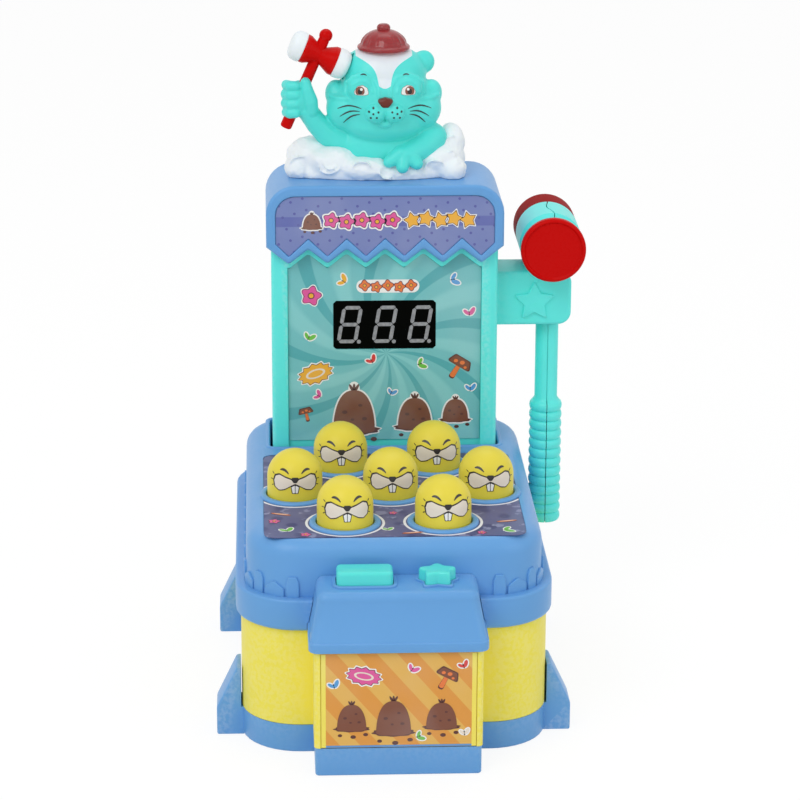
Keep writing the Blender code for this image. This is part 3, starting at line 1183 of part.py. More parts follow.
def build_display_board(look):
    """Circuit board behind the display, with the flat cable that goes down to the main board."""
    front = display_board_front()
    board = prism(display_board_plan().outline(1), front, front + BOARD, "Y")
    start, top = front + BOARD / 2, DISPLAY_BOTTOM
    leave = start + BOARD
    bend = top - DISPLAY_BOARD_MARGIN - CABLE_BEND
    drop = MAIN_BOARD_TOP - BOARD - GAP - CABLE_BEND
    rear, edge = CABLE_Y, MAIN_BOARD_REAR
    outline = [
        (start, top), (leave, top), (leave, bend), (rear + CABLE, bend - 2 * CABLE_BEND), (rear + CABLE, drop - CABLE),
        (rear - CABLE_BEND, drop - CABLE_BEND), (edge, drop - CABLE_BEND),
        (edge - CABLE_WIDTH, drop + CABLE_BEND - CABLE), (edge - CABLE_WIDTH, drop + CABLE_BEND),
        (edge, drop + CABLE - CABLE_BEND), (rear - CABLE_BEND, drop + CABLE - CABLE_BEND), (rear, drop),
        (rear, bend - 2 * CABLE_BEND), (leave - CABLE, bend), (leave - CABLE, top - DISPLAY_BOARD_MARGIN / 2),
        (start, top - DISPLAY_BOARD_MARGIN / 2),
    ]
    join(board, prism(outline, -CABLE_WIDTH / 2, CABLE_WIDTH / 2, "X"))
    return finish(board, "display_board", look)


def cap_front_outline(side_bottom, half_width, low, high, top, corner):
    """Front view of the marquee: zigzag lower edge and round upper corners."""
    return [(-half_width, side_bottom), *teeth(low, high), (half_width, side_bottom),
            *arch(half_width, side_bottom, top, corner)]


def build_marquee_cap(look):
    """Cap over the tower's top, with a zigzag front and the recess of its printed sheet."""
    front_plate_back = TOWER_FRONT - GAP
    outer = cap_front_outline(CAP_SIDE_BOTTOM, CAP_HALF_WIDTH, TOOTH_LOW, TOOTH_HIGH, CAP_TOP, CAP_CORNER)
    slim = cap_front_outline(CAP_SIDE_BOTTOM + CAP_EDGE, CAP_HALF_WIDTH - CAP_EDGE, TOOTH_LOW + CAP_EDGE,
                             TOOTH_HIGH + CAP_EDGE, CAP_TOP - CAP_EDGE, CAP_CORNER - CAP_EDGE)
    cap = loft([(slim, CAP_FRONT), (outer, CAP_FRONT + CAP_EDGE), (outer, front_plate_back)], "Y")
    crown = arch_outline(CAP_HALF_WIDTH, CAP_SIDE_BOTTOM, CAP_TOP, CAP_CORNER)
    slim_crown = arch_outline(CAP_HALF_WIDTH - CAP_EDGE, CAP_SIDE_BOTTOM, CAP_TOP - CAP_EDGE, CAP_CORNER - CAP_EDGE)
    back = loft([(crown, CAP_FRONT + 2 * CAP_EDGE), (crown, CAP_REAR - CAP_EDGE), (slim_crown, CAP_REAR)], "Y")
    room = arch_outline(TOWER_HALF_WIDTH + GAP, CAP_SIDE_BOTTOM - OVERRUN, TOWER_TOP + GAP, TOWER_TOP_CORNER + GAP)
    cut(back, prism(room, front_plate_back, CAP_REAR - WALL, "Y"))
    join(cap, back)
    label = cap_front_outline(CAP_LABEL_SIDE_BOTTOM, CAP_LABEL_HALF_WIDTH, CAP_LABEL_LOW, CAP_LABEL_HIGH,
                              CAP_LABEL_TOP, CAP_LABEL_CORNER)
    cut(cap, prism(label, CAP_FRONT - OVERRUN, CAP_RECESS_BACK, "Y"))
    return finish(cap, "marquee_cap", look)


def build_marquee_label(look):
    """Dotted printed sheet on the marquee."""
    back = CAP_RECESS_BACK - GAP
    outline = cap_front_outline(CAP_LABEL_SIDE_BOTTOM + GAP, CAP_LABEL_HALF_WIDTH - GAP, CAP_LABEL_LOW + 2 * GAP,
                                CAP_LABEL_HIGH + 2 * GAP, CAP_LABEL_TOP - GAP, CAP_LABEL_CORNER - GAP)
    return finish(prism(outline, back - SHEET, back, "Y"), "marquee_label", look)


BUST_SHARES = (
    ((0.000, 0.000, 0.460), (0.300, 0.245, 0.270)),
    ((0.000, 0.010, 0.640), (0.260, 0.200, 0.170)),
    ((-0.225, -0.047, 0.425), (0.132, 0.125, 0.140)),
    ((0.225, -0.047, 0.425), (0.132, 0.125, 0.140)),
    ((0.000, -0.030, 0.345), (0.270, 0.200, 0.170)),
    ((0.000, 0.030, 0.170), (0.330, 0.190, 0.180)),
)
LIMB_SHARES = (
    ((-0.060, -0.190, 0.425), (0.088, 0.075, 0.075)),
    ((0.060, -0.190, 0.425), (0.088, 0.075, 0.075)),
    ((-0.245, 0.040, 0.687), (0.064, 0.048, 0.066)),
    ((0.245, 0.040, 0.687), (0.064, 0.048, 0.066)),
    ((-0.360, -0.010, 0.230), (0.115, 0.085, 0.095)),
    ((-0.455, -0.040, 0.330), (0.080, 0.075, 0.115)),
    ((-0.540, -0.062, 0.475), (0.090, 0.085, 0.120)),
    ((0.310, -0.040, 0.220), (0.115, 0.095, 0.115)),
    ((0.230, -0.120, 0.150), (0.105, 0.075, 0.085)),
    ((0.150, -0.165, 0.100), (0.105, 0.065, 0.070)),
    ((0.075, -0.190, 0.075), (0.042, 0.037, 0.047)),
    ((0.145, -0.205, 0.062), (0.042, 0.037, 0.047)),
    ((0.215, -0.190, 0.075), (0.042, 0.037, 0.047)),
)
MOUND_SHARES = (
    ((-0.045, 0.000, 0.030), (0.565, 0.205, 0.120)),
    ((-0.440, 0.020, 0.120), (0.165, 0.150, 0.115)),
    ((-0.300, -0.070, 0.080), (0.180, 0.120, 0.090)),
    ((-0.080, 0.060, 0.120), (0.260, 0.140, 0.120)),
    ((0.420, 0.030, 0.190), (0.130, 0.120, 0.125)),
    ((0.330, -0.060, 0.090), (0.170, 0.120, 0.110)),
    ((0.260, 0.080, 0.160), (0.190, 0.110, 0.130)),
)


def figure_blobs(shares, detail, grow=0):
    """The rounded volumes of a part of the figure."""
    made = []
    for centre, radii in shares:
        x, y, z = (share * FIGURE_MODULE for share in centre)
        place = (x, FIGURE_Y + y, FIGURE_FOOT + z)
        made.append(blob(place, [share * FIGURE_MODULE for share in radii], detail, grow))
    return made


def figure_volumes(grow=0):
    """All the rounded volumes of the bust."""
    return figure_blobs(BUST_SHARES, 2, grow) + figure_blobs(LIMB_SHARES, 1, grow)


def mallet_frame():
    """The mallet's handle: its foot, its direction and the place where it crosses the head."""
    foot = Vector((MALLET_FOOT_X, MALLET_Y, MALLET_FOOT_Z))
    top = Vector((MALLET_TOP_X, MALLET_Y, MALLET_TOP_Z))
    direction = (top - foot).normalized()
    return foot, top, direction, foot.lerp(top, MALLET_HEAD_SHARE)


def mallet_head_axis():
    """Direction of the mallet's head, square to its handle."""
    direction = mallet_frame()[2]
    return Vector((direction.z, 0, -direction.x))


def mallet_handle(grow=0):
    """The handle's bar, or the room it takes."""
    foot, top, direction = mallet_frame()[:3]
    return rod(foot - direction * grow, top + direction * grow, MALLET_HANDLE_RADIUS + grow)


def mallet_head_room():
    """The room that the head takes, with its gap."""
    half = MALLET_HEAD_LENGTH / 2 + GAP
    radius = MALLET_HEAD_RADIUS + GAP
    return turned_bar(mallet_frame()[3], mallet_head_axis(), [(-half, radius), (half, radius)], 12)


def build_mallet(look):
    """The mallet: a handle with a knob, through a head with a drawn-in waist."""
    middle, axis = mallet_frame()[3], mallet_head_axis()
    handle = mallet_handle()
    join(handle, blob(mallet_frame()[1], [MALLET_KNOB_RADIUS] * 3, 1))
    finish(handle, "mallet_handle", look)
    half = MALLET_HEAD_LENGTH / 2
    drum, face = half - MALLET_END_LENGTH, half - MALLET_END_LENGTH / 3
    head = turned_bar(middle, axis, [
        (-half, MALLET_WAIST_RADIUS), (-face, MALLET_HEAD_RADIUS), (-drum, MALLET_HEAD_RADIUS),
        (0, MALLET_WAIST_RADIUS), (drum, MALLET_HEAD_RADIUS), (face, MALLET_HEAD_RADIUS),
        (half, MALLET_WAIST_RADIUS)], 12)
    cut(head, mallet_handle(GAP))
    finish(head, "mallet_head", look)


def build_figure(look):
    """Animal bust with one paw on the mound and the other holding the mallet."""
    bust, *others = figure_volumes()
    join(bust, *others)
    seat = FIGURE_FOOT + HAT_SEAT_SHARE * FIGURE_MODULE
    foot = FIGURE_FOOT + FIGURE_FOOT_SHARE * FIGURE_MODULE
    reach = FIGURE_MODULE
    lamp_bore = rod((0, FIGURE_Y, seat - LAMP_FLANGE_HEIGHT), (0, FIGURE_Y, seat + OVERRUN), LAMP_FLANGE_RADIUS + GAP)
    cut(bust, box(-reach, reach, FIGURE_Y - reach, FIGURE_Y + reach, seat, seat + reach),
        box(-reach, reach, FIGURE_Y - reach, FIGURE_Y + reach, foot - reach, foot),
        lamp_bore, mallet_handle(GAP), mallet_head_room())
    return finish(bust, "figure_body", look)


def build_figure_mound(look):
    """White mound that the bust sits in."""
    mound, *others = figure_blobs(MOUND_SHARES, 2)
    join(mound, *others)
    reach = FIGURE_MODULE
    foot = FIGURE_FOOT + FIGURE_FOOT_SHARE * FIGURE_MODULE
    hollows = figure_volumes(2 * GAP)
    base = box(-reach, reach, FIGURE_Y - reach, FIGURE_Y + reach, FIGURE_FOOT - reach, FIGURE_FOOT)
    cut(mound, base, *hollows)
    floor, *rest = figure_blobs(MOUND_SHARES, 2)
    join(floor, *rest)
    cut(floor, box(-reach, reach, FIGURE_Y - reach, FIGURE_Y + reach, FIGURE_FOOT - reach, FIGURE_FOOT),
        box(-reach, reach, FIGURE_Y - reach, FIGURE_Y + reach, foot - GAP, FIGURE_FOOT + reach))
    join(mound, floor)
    return finish(mound, "figure_mound", look)


def build_figure_hat(look):
    """Translucent domed hat over its lamp."""
    seat = FIGURE_FOOT + HAT_SEAT_SHARE * FIGURE_MODULE + GAP
    brim_top = seat + HAT_BRIM
    dome_top = brim_top + HAT_DOME_HEIGHT
    inner = HAT_DOME_RADIUS - HAT_WALL
    profile = [(inner, seat), (HAT_RADIUS, seat), (HAT_RADIUS, brim_top - HAT_WALL)]
    profile += dome(HAT_DOME_RADIUS, brim_top, EDGE_STEPS, HAT_DOME_HEIGHT)[:-1]
    profile += [(HAT_KNOB_RADIUS, dome_top), (HAT_KNOB_RADIUS, dome_top + HAT_KNOB_HEIGHT / 2),
                (0, dome_top + HAT_KNOB_HEIGHT)]
    profile += dome(inner, brim_top, EDGE_STEPS, HAT_DOME_HEIGHT - HAT_WALL)[::-1]
    return finish(move(lathe(profile), y=FIGURE_Y), "figure_hat", look)


def build_hat_lamp(look):
    """Lamp under the hat."""
    seat = FIGURE_FOOT + HAT_SEAT_SHARE * FIGURE_MODULE - LAMP_FLANGE_HEIGHT + GAP
    return finish(move(lamp(0), 0, FIGURE_Y, seat), "hat_lamp", look)


def hammer_head_bar(*stations):
    """A stretch of the hammer's head. Its stations are (y, radius) pairs."""
    return turned_bar((HAMMER_X, 0, HAMMER_HEAD_Z), (0, 1, 0), stations, ROUND_SIDES)


def grip_profile():
    """Turned profile of the handle: ribbed grip below a plain shank, closed on the axis."""
    rib = (GRIP_TOP - GRIP_BOTTOM) / GRIP_RIBS
    profile = [(0, GRIP_BOTTOM)]
    for i in range(GRIP_RIBS):
        low = GRIP_BOTTOM + i * rib
        profile += [(GRIP_GROOVE_RADIUS, low), (GRIP_RADIUS, low + rib / 2)]
    profile += [(GRIP_GROOVE_RADIUS, GRIP_TOP), (HANDLE_RADIUS, GRIP_TOP + rib / 2),
                (HANDLE_RADIUS, HAMMER_HEAD_Z), (0, HAMMER_HEAD_Z)]
    return profile


def build_hammer(look, front_look, rear_look):
    """Hammer: two mirrored halves that meet at its middle plane, and its two caps."""
    body_front = HAMMER_HEAD_FRONT + HAMMER_FRONT_CAP + GAP
    body_rear = HAMMER_HEAD_REAR - HAMMER_REAR_CAP - GAP
    shoulder = body_front + HAMMER_NECK_LENGTH
    whole = hammer_head_bar((body_front, HAMMER_NECK_RADIUS), (shoulder, HAMMER_HEAD_RADIUS),
                            (body_rear, HAMMER_HEAD_RADIUS))
    join(whole, move(lathe(grip_profile(), 12), HAMMER_X, HAMMER_Y))
    hollow = HAMMER_HEAD_RADIUS - HANDLE_WALL
    cut(whole, hammer_head_bar((shoulder, hollow), (body_rear - HANDLE_WALL, hollow)),
        rod((HAMMER_X, HAMMER_Y, GRIP_BOTTOM + HANDLE_WALL * 2), (HAMMER_X, HAMMER_Y, HAMMER_HEAD_Z),
            HANDLE_RADIUS - HANDLE_WALL, 12))
    reach = HAMMER_HEAD_Z
    twin = bpy.data.objects.new("solid", whole.data.copy())
    bpy.context.scene.collection.objects.link(twin)
    for half, side, name in ((whole, -1, "left"), (twin, 1, "right")):
        near = HAMMER_X + side * GAP / 2
        far = HAMMER_X - side * reach
        cut(half, box(min(near, far), max(near, far), -reach, reach, -reach, 2 * reach))
        finish(half, f"hammer_half_{name}", look, (HAMMER_X, HAMMER_Y, HAMMER_HEAD_Z))
    cap_front = hammer_head_bar((HAMMER_HEAD_FRONT, HAMMER_FRONT_CAP_RADIUS - HAMMER_CAP_EDGE),
                                (HAMMER_HEAD_FRONT + HAMMER_CAP_EDGE, HAMMER_FRONT_CAP_RADIUS),
                                (body_front - GAP, HAMMER_FRONT_CAP_RADIUS))
    finish(cap_front, "hammer_cap_front", front_look, (HAMMER_X, HAMMER_Y, HAMMER_HEAD_Z))
    cap_rear = hammer_head_bar((body_rear + GAP, HAMMER_HEAD_RADIUS),
                               (HAMMER_HEAD_REAR - HAMMER_CAP_EDGE, HAMMER_HEAD_RADIUS),
                               (HAMMER_HEAD_REAR, HAMMER_HEAD_RADIUS - HAMMER_CAP_EDGE))
    finish(cap_rear, "hammer_cap_rear", rear_look, (HAMMER_X, HAMMER_Y, HAMMER_HEAD_Z))


def build_hammer_holder(look):
    """Bracket on the tower's side with a hole for the handle, a saddle for the head and a raised star."""
    left = TOWER_HALF_WIDTH + GAP
    plan = Plan(left - HOLDER_CORNER, HOLDER_RIGHT, HOLDER_BOTTOM, HOLDER_TOP, HOLDER_CORNER)
    holder = edged_prism(plan, HOLDER_FRONT, HOLDER_REAR, TOWER_EDGE, "Y", both=True)
    relief = star(HOLDER_STAR_RADIUS, HOLDER_STAR_INNER_SHARE, STAR_TIP_SHARE, x=HOLDER_STAR_X, y=HOLDER_STAR_Z)
    join(holder, prism(relief, HOLDER_FRONT - HOLDER_STAR_RELIEF, HOLDER_FRONT + WALL, "Y"))
    cut(holder,
        box(left - 2 * HOLDER_CORNER, left, HOLDER_FRONT - OVERRUN, HOLDER_REAR + OVERRUN,
            HOLDER_BOTTOM - OVERRUN, HOLDER_TOP + OVERRUN),
        hammer_head_bar((HOLDER_FRONT - OVERRUN, HAMMER_HEAD_RADIUS + GAP),
                        (HOLDER_REAR + OVERRUN, HAMMER_HEAD_RADIUS + GAP)),
        rod((HAMMER_X, HAMMER_Y, HOLDER_BOTTOM - OVERRUN), (HAMMER_X, HAMMER_Y, HOLDER_TOP + OVERRUN),
            HOLDER_HOLE_RADIUS, ROUND_SIDES))
    return finish(holder, "hammer_holder", look)


def build_all():
    """Builds every piece of the game."""
    clear_scene()
    blue = material("blue_plastic", (0.145, 0.376, 0.716), 0.35)
    yellow = material("yellow_plastic", (0.871, 0.807, 0.138), 0.4)
    turquoise = material("turquoise_plastic", (0.114, 0.694, 0.604), 0.35)
    teal = material("teal_plastic", (0.063, 0.638, 0.539), 0.35)
    red = material("red_plastic", (0.604, 0.006, 0.007), 0.3)
    dark_red = material("dark_red_plastic", (0.270, 0.010, 0.013), 0.35)
    white = material("white_plastic", (0.723, 0.831, 0.896), 0.5)
    clear_red = material("clear_red_plastic", (0.462, 0.036, 0.044), 0.2, 0.85)
    mole_yellow = material("mole_plastic", (0.807, 0.694, 0.095), 0.45)
    print_teal = material("tower_print", (0.153, 0.503, 0.527), 0.5)
    print_purple = material("marquee_print", (0.202, 0.231, 0.456), 0.5)
    print_orange = material("front_print", (0.745, 0.434, 0.080), 0.5)
    print_deck = material("deck_print", (0.205, 0.231, 0.456), 0.5)
    black = material("black_plastic", (0.010, 0.010, 0.012), 0.3)
    board = material("circuit_board", (0.020, 0.150, 0.050), 0.5)
    steel = material("steel", (0.560, 0.560, 0.570), 0.35)
    lamp_clear = material("lamp_clear", (0.800, 0.800, 0.700), 0.2)
    cell = material("cell_wrap", (0.080, 0.080, 0.090), 0.4)
    build_base_tray(blue)
    build_battery_door(blue)
    build_battery_door_screw(steel)
    build_batteries(cell)
    build_battery_contacts(steel)
    build_speaker(black)
    build_body_band(yellow)
    build_front_label(print_orange)
    build_power_slider(black)
    build_power_switch(black)
    build_deck_cover(blue)
    build_deck_label(print_deck)
    build_moles(mole_yellow)
    build_mole_springs(steel)
    build_main_board(board)
    build_front_hood(blue)
    build_buttons(teal)
    build_button_board(board)
    build_tower_front_shell(turquoise)
    build_tower_rear_shell(turquoise)
    build_tower_screws(steel)
    build_body_screws(steel)
    build_tower_label(print_teal)
    build_display_module(black)
    build_display_board(board)
    build_marquee_cap(blue)
    build_marquee_label(print_purple)
    build_figure_mound(white)
    build_figure(teal)
    build_figure_hat(clear_red)
    build_hat_lamp(lamp_clear)
    build_mallet(red)
    build_hammer(turquoise, red, dark_red)
    build_hammer_holder(turquoise)


build_all()
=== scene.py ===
"""Looks of the mole pounding game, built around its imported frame.

All sizes here are in millimetres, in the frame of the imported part. The modelling helpers turn them into metres.
"""

import logging
import math
from collections.abc import Callable, Iterator, Sequence
from contextlib import contextmanager
from dataclasses import dataclass, field
from enum import Enum

import bmesh
import bpy
from mathutils import Matrix, Vector
from mathutils.kdtree import KDTree

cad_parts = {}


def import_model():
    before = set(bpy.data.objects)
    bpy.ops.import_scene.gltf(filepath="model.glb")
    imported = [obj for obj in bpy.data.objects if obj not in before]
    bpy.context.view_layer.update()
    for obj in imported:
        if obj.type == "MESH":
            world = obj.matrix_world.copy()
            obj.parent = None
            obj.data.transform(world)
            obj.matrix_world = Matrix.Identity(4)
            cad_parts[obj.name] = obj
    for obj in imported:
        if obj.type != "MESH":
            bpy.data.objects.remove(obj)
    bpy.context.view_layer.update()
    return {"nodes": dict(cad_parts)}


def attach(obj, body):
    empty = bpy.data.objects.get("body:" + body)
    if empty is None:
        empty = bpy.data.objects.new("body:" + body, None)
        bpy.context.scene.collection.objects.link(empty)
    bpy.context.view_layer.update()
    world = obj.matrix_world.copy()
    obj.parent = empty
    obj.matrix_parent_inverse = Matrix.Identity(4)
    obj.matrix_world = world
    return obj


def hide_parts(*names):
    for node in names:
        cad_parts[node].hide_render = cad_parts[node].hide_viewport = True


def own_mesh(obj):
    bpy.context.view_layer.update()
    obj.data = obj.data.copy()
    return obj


LOG = logging.getLogger("mole_game")
MM = 0.001
Point = tuple[float, float]
Surface = Callable[[float, float, float], Vector]


def linear(code: str) -> tuple[float, float, float, float]:
    """Turns a colour as it is seen into the numbers that a shader takes.

    Args:
        code: The colour as six hexadecimal digits.

    Returns:
        Red, green, blue and a full alpha.
    """
    parts = [int(code[i:i + 2], 16) / 255 for i in (0, 2, 4)]
    bright = [part / 12.92 if part <= 0.04045 else ((part + 0.055) / 1.055) ** 2.4 for part in parts]
    return (bright[0], bright[1], bright[2], 1.0)


class Axis(Enum):
    """How an outline lies: what its two numbers measure, and the way it is made thick."""

    UP = ((1, 0, 0), (0, 1, 0), (0, 0, 1))
    BACK = ((1, 0, 0), (0, 0, 1), (0, 1, 0))
    SIDE = ((0, 1, 0), (0, 0, 1), (1, 0, 0))

    @property
    def direction(self) -> Vector:
        """The way the outline is made thick."""
        return Vector(self.value[2])

    def place(self, across: float, along: float, depth: float) -> Vector:
        """A point of the outline in metres."""
        first, second, third = (Vector(row) for row in self.value)
        return (first * across + second * along + third * depth) * MM


@dataclass(frozen=True)
class Plan:
    """A rectangle with round corners."""

    left: float
    right: float
    low: float
    high: float
    corner: float

    def inset(self, amount: float) -> "Plan":
        """The same rectangle with its sides moved in, or out where the amount is negative."""
        return Plan(self.left + amount, self.right - amount, self.low + amount, self.high - amount,
                    max(self.corner - amount, 0.2))

    def outline(self, steps: int = 10) -> list[Point]:
        """Its points, counter-clockwise from the low right corner."""
        centres = ((self.right - self.corner, self.low + self.corner), (self.right - self.corner,
                   self.high - self.corner), (self.left + self.corner, self.high - self.corner),
                   (self.left + self.corner, self.low + self.corner))
        points = []
        for quarter, (across, along) in enumerate(centres):
            for step in range(steps + 1):
                turn = math.pi / 2 * (quarter - 1 + step / steps)
                points.append((across + self.corner * math.cos(turn), along + self.corner * math.sin(turn)))
        return points


def rounded(points: Sequence[Point], radius: float, steps: int = 3) -> list[Point]:
    """Turns each corner of an outline into a soft arc.

    Args:
        points: The outline's corners.
        radius: Size of the arcs; a short side makes them smaller.
        steps: Stretches in each arc.

    Returns:
        The new outline, with steps + 1 points for each corner.
    """
    soft = []
    count = len(points)
    for i in range(count):
        here = Vector(points[i])
        back = Vector(points[i - 1]) - here
        ahead = Vector(points[(i + 1) % count]) - here
        half = max(back.angle(ahead, math.pi) / 2, 0.05)
        reach = min(radius / math.tan(half), back.length * 0.48, ahead.length * 0.48)
        start = here + back.normalized() * reach
        end = here + ahead.normalized() * reach
        for step in range(steps + 1):
            t = step / steps
            spot = start * (1 - t) ** 2 + here * (2 * t * (1 - t)) + end * t ** 2
            soft.append((spot.x, spot.y))
    return soft


def star(radius: float, inner: float, x: float = 0.0, y: float = 0.0, depth: float = 1.0,
         turn: float = 0.0) -> list[Point]:
    """Corners of a five-pointed star with one point up, turned by some degrees."""
    points = []
    for i in range(10):
        angle = math.radians(90 + turn + 36 * i)
        reach = radius * (inner if i % 2 else 1.0)
        points.append((x + reach * math.cos(angle), y + reach * math.sin(angle) * depth))
    return points


def oval(x: float, y: float, across: float, along: float, count: int = 32, turn: float = 0.0) -> list[Point]:
    """Points of an ellipse, turned by some degrees."""
    tilt = math.radians(turn)
    points = []
    for i in range(count):
        angle = math.tau * i / count
        u, v = across * math.cos(angle), along * math.sin(angle)
        points.append((x + u * math.cos(tilt) - v * math.sin(tilt),
                       y + u * math.sin(tilt) + v * math.cos(tilt)))
    return points


def rest() -> None:
    """Leaves edit mode and selects nothing."""
    if bpy.context.object and bpy.context.object.mode != "OBJECT":
        bpy.ops.object.mode_set(mode="OBJECT")
    bpy.ops.object.select_all(action="DESELECT")


def pick(*pieces: bpy.types.Object) -> None:
    """Selects some pieces alone; the first one is active."""
    rest()
    for piece in pieces:
        piece.select_set(True)
    bpy.context.view_layer.objects.active = pieces[0]


@contextmanager
def editing(piece: bpy.types.Object, action: str = "SELECT") -> Iterator[None]:
    """Edit mode on one piece, with everything in it selected or deselected."""
    pick(piece)
    bpy.ops.object.mode_set(mode="EDIT")
    bpy.ops.mesh.select_all(action=action)
    yield
    bpy.ops.object.mode_set(mode="OBJECT")


def begin(name: str, count: int, fill: str = "NGON") -> bpy.types.Object:
    """A circle to start a piece from, with as many corners as its outline."""
    rest()
    bpy.ops.mesh.primitive_circle_add(vertices=count, radius=1.0, fill_type=fill)
    piece = bpy.context.object
    piece.name = name
    piece.data.name = name
    return piece


def turn_out(piece: bpy.types.Object) -> bpy.types.Object:
    """Merges doubled points and turns every face outwards."""
    with editing(piece):
        bpy.ops.mesh.remove_doubles(threshold=0.000002)
        bpy.ops.mesh.delete_loose(use_verts=True, use_edges=True, use_faces=False)
        bpy.ops.mesh.select_all(action="SELECT")
        bpy.ops.mesh.normals_make_consistent(inside=False)
    return piece


def lofted(name: str, sections: Sequence[tuple[Sequence[Point], float]], axis: Axis = Axis.UP
           ) -> bpy.types.Object:
    """A closed piece through several outlines, each extruded from the one before.

    Args:
        name: The piece's name.
        sections: Outlines with the same number of points, each with its place along the axis.
        axis: How the outlines lie.

    Returns:
        The piece.
    """
    outline, depth = sections[0]
    piece = begin(name, len(outline))
    spots = [axis.place(u, v, depth) for u, v in outline]
    for vertex, spot in zip(piece.data.vertices, spots):
        vertex.co = spot
    with editing(piece):
        for outline, depth in sections[1:]:
            bpy.ops.mesh.extrude_region_move(TRANSFORM_OT_translate={"value": (0, 0, 0)})
            near = KDTree(len(spots))
            for i, spot in enumerate(spots):
                near.insert(spot, i)
            near.balance()
            spots = [axis.place(u, v, depth) for u, v in outline]
            shape = bmesh.from_edit_mesh(piece.data)
            for vertex in [v for v in shape.verts if v.select]:
                vertex.co = spots[near.find(vertex.co)[1]]
            bmesh.update_edit_mesh(piece.data)
    return turn_out(piece)


def plate(name: str, outline: Sequence[Point], low: float, high: float, axis: Axis = Axis.UP
          ) -> bpy.types.Object:
    """A flat piece of one outline, from low to high along its axis."""
    return lofted(name, [(outline, low), (outline, high)], axis)


def block(name: str, low: Sequence[float], high: Sequence[float]) -> bpy.types.Object:
    """A cube set between two corners, as a tool or as the start of a piece."""
    rest()
    bpy.ops.mesh.primitive_cube_add(size=1.0)
    piece = bpy.context.object
    piece.name = name
    piece.data.name = name
    middle = (Vector(low) + Vector(high)) / 2 * MM
    size = (Vector(high) - Vector(low)) * MM
    for vertex in piece.data.vertices:
        vertex.co = Vector(vertex.co[i] * size[i] + middle[i] for i in range(3))
    return piece


def turned(name: str, profile: Sequence[Point], centre: Sequence[float] = (0, 0, 0),
           direction: Sequence[float] = (0, 0, 1), steps: int = 48) -> bpy.types.Object:
    """A turned piece: its profile is spun about an axis.

    Args:
        name: The piece's name.
        profile: A closed row of (radius, distance along the axis) points.
        centre: Where the axis starts.
        direction: The axis.
        steps: Stretches round the piece.

    Returns:
        The piece.
    """
    along = Vector(direction).normalized()
    across = along.orthogonal().normalized()
    piece = begin(name, len(profile), "NOTHING")
    for vertex, (radius, distance) in zip(piece.data.vertices, profile):
        vertex.co = (Vector(centre) + across * radius + along * distance) * MM
    with editing(piece):
        bpy.ops.mesh.spin(steps=steps, angle=math.tau, center=Vector(centre) * MM, axis=along)
    return turn_out(piece)


def bar(name: str, start: Sequence[float], end: Sequence[float], radius: float, steps: int = 32,
        soft: float = 0.0) -> bpy.types.Object:
    """A round bar between two points, with softened ends."""
    span = Vector(end) - Vector(start)
    reach = span.length
    profile = [(0, 0)] + arc(radius - soft, soft, soft, -90, 0) + arc(radius - soft, reach - soft, soft,
                                                                      0, 90)
    return turned(name, profile + [(0, reach)], start, span, steps)


def arc(radius: float, height: float, size: float, start: float, end: float, steps: int = 4) -> list[Point]:
    """Points of an arc in a turned profile, between two angles in degrees."""
    if size <= 0:
        return [(radius, height)]
    turns = [math.radians(start + (end - start) * step / steps) for step in range(steps + 1)]
    return [(radius + size * math.cos(turn), height + size * math.sin(turn)) for turn in turns]


def ball(name: str, centre: Sequence[float], radii: Sequence[float], segments: int = 32) -> bpy.types.Object:
    """An ellipsoid with its place in its mesh."""
    rest()
    bpy.ops.mesh.primitive_uv_sphere_add(segments=segments, ring_count=segments // 2, radius=MM)
    piece = bpy.context.object
    piece.name = name
    piece.data.name = name
    piece.data.transform(Matrix.Translation(Vector(centre) * MM) @ Matrix.Diagonal((*radii, 1)))
    return piece


def modify(piece: bpy.types.Object, kind: str, **settings: object) -> bpy.types.Object:
    """Adds a modifier, sets it and applies it."""
    pick(piece)
    step = piece.modifiers.new(kind.lower(), kind)
    for name, value in settings.items():
        setattr(step, name, value)
    bpy.ops.object.modifier_apply(modifier=step.name)
    return piece


def combined(piece: bpy.types.Object, tools: Sequence[bpy.types.Object], operation: str) -> bpy.types.Object:
    """Applies tools to a piece, one after the other, and removes them."""
    for tool in tools:
        modify(piece, "BOOLEAN", operation=operation, solver="EXACT", object=tool)
        bpy.data.objects.remove(tool)
    return piece


def cut(piece: bpy.types.Object, *tools: bpy.types.Object) -> bpy.types.Object:
    """The piece without the tools."""
    return combined(piece, tools, "DIFFERENCE")


def unite(piece: bpy.types.Object, *tools: bpy.types.Object) -> bpy.types.Object:
    """The piece grown together with the tools."""
    return combined(piece, tools, "UNION")


def gather(name: str, pieces: Sequence[bpy.types.Object]) -> bpy.types.Object:
    """Joins pieces into one object without changing their shapes."""
    pick(*pieces)
    if len(pieces) > 1:
        bpy.ops.object.join()
    piece = bpy.context.view_layer.objects.active
    piece.name = name
    piece.data.name = name
    return piece


def twin(piece: bpy.types.Object, name: str, shift: Sequence[float]) -> bpy.types.Object:
    """A copy with its own mesh, moved."""
    pick(piece)
    bpy.ops.object.duplicate(linked=False)
    copy = bpy.context.view_layer.objects.active
    copy.name = name
    copy.data.name = name
    copy.data.transform(Matrix.Translation(Vector(shift) * MM))
    return copy


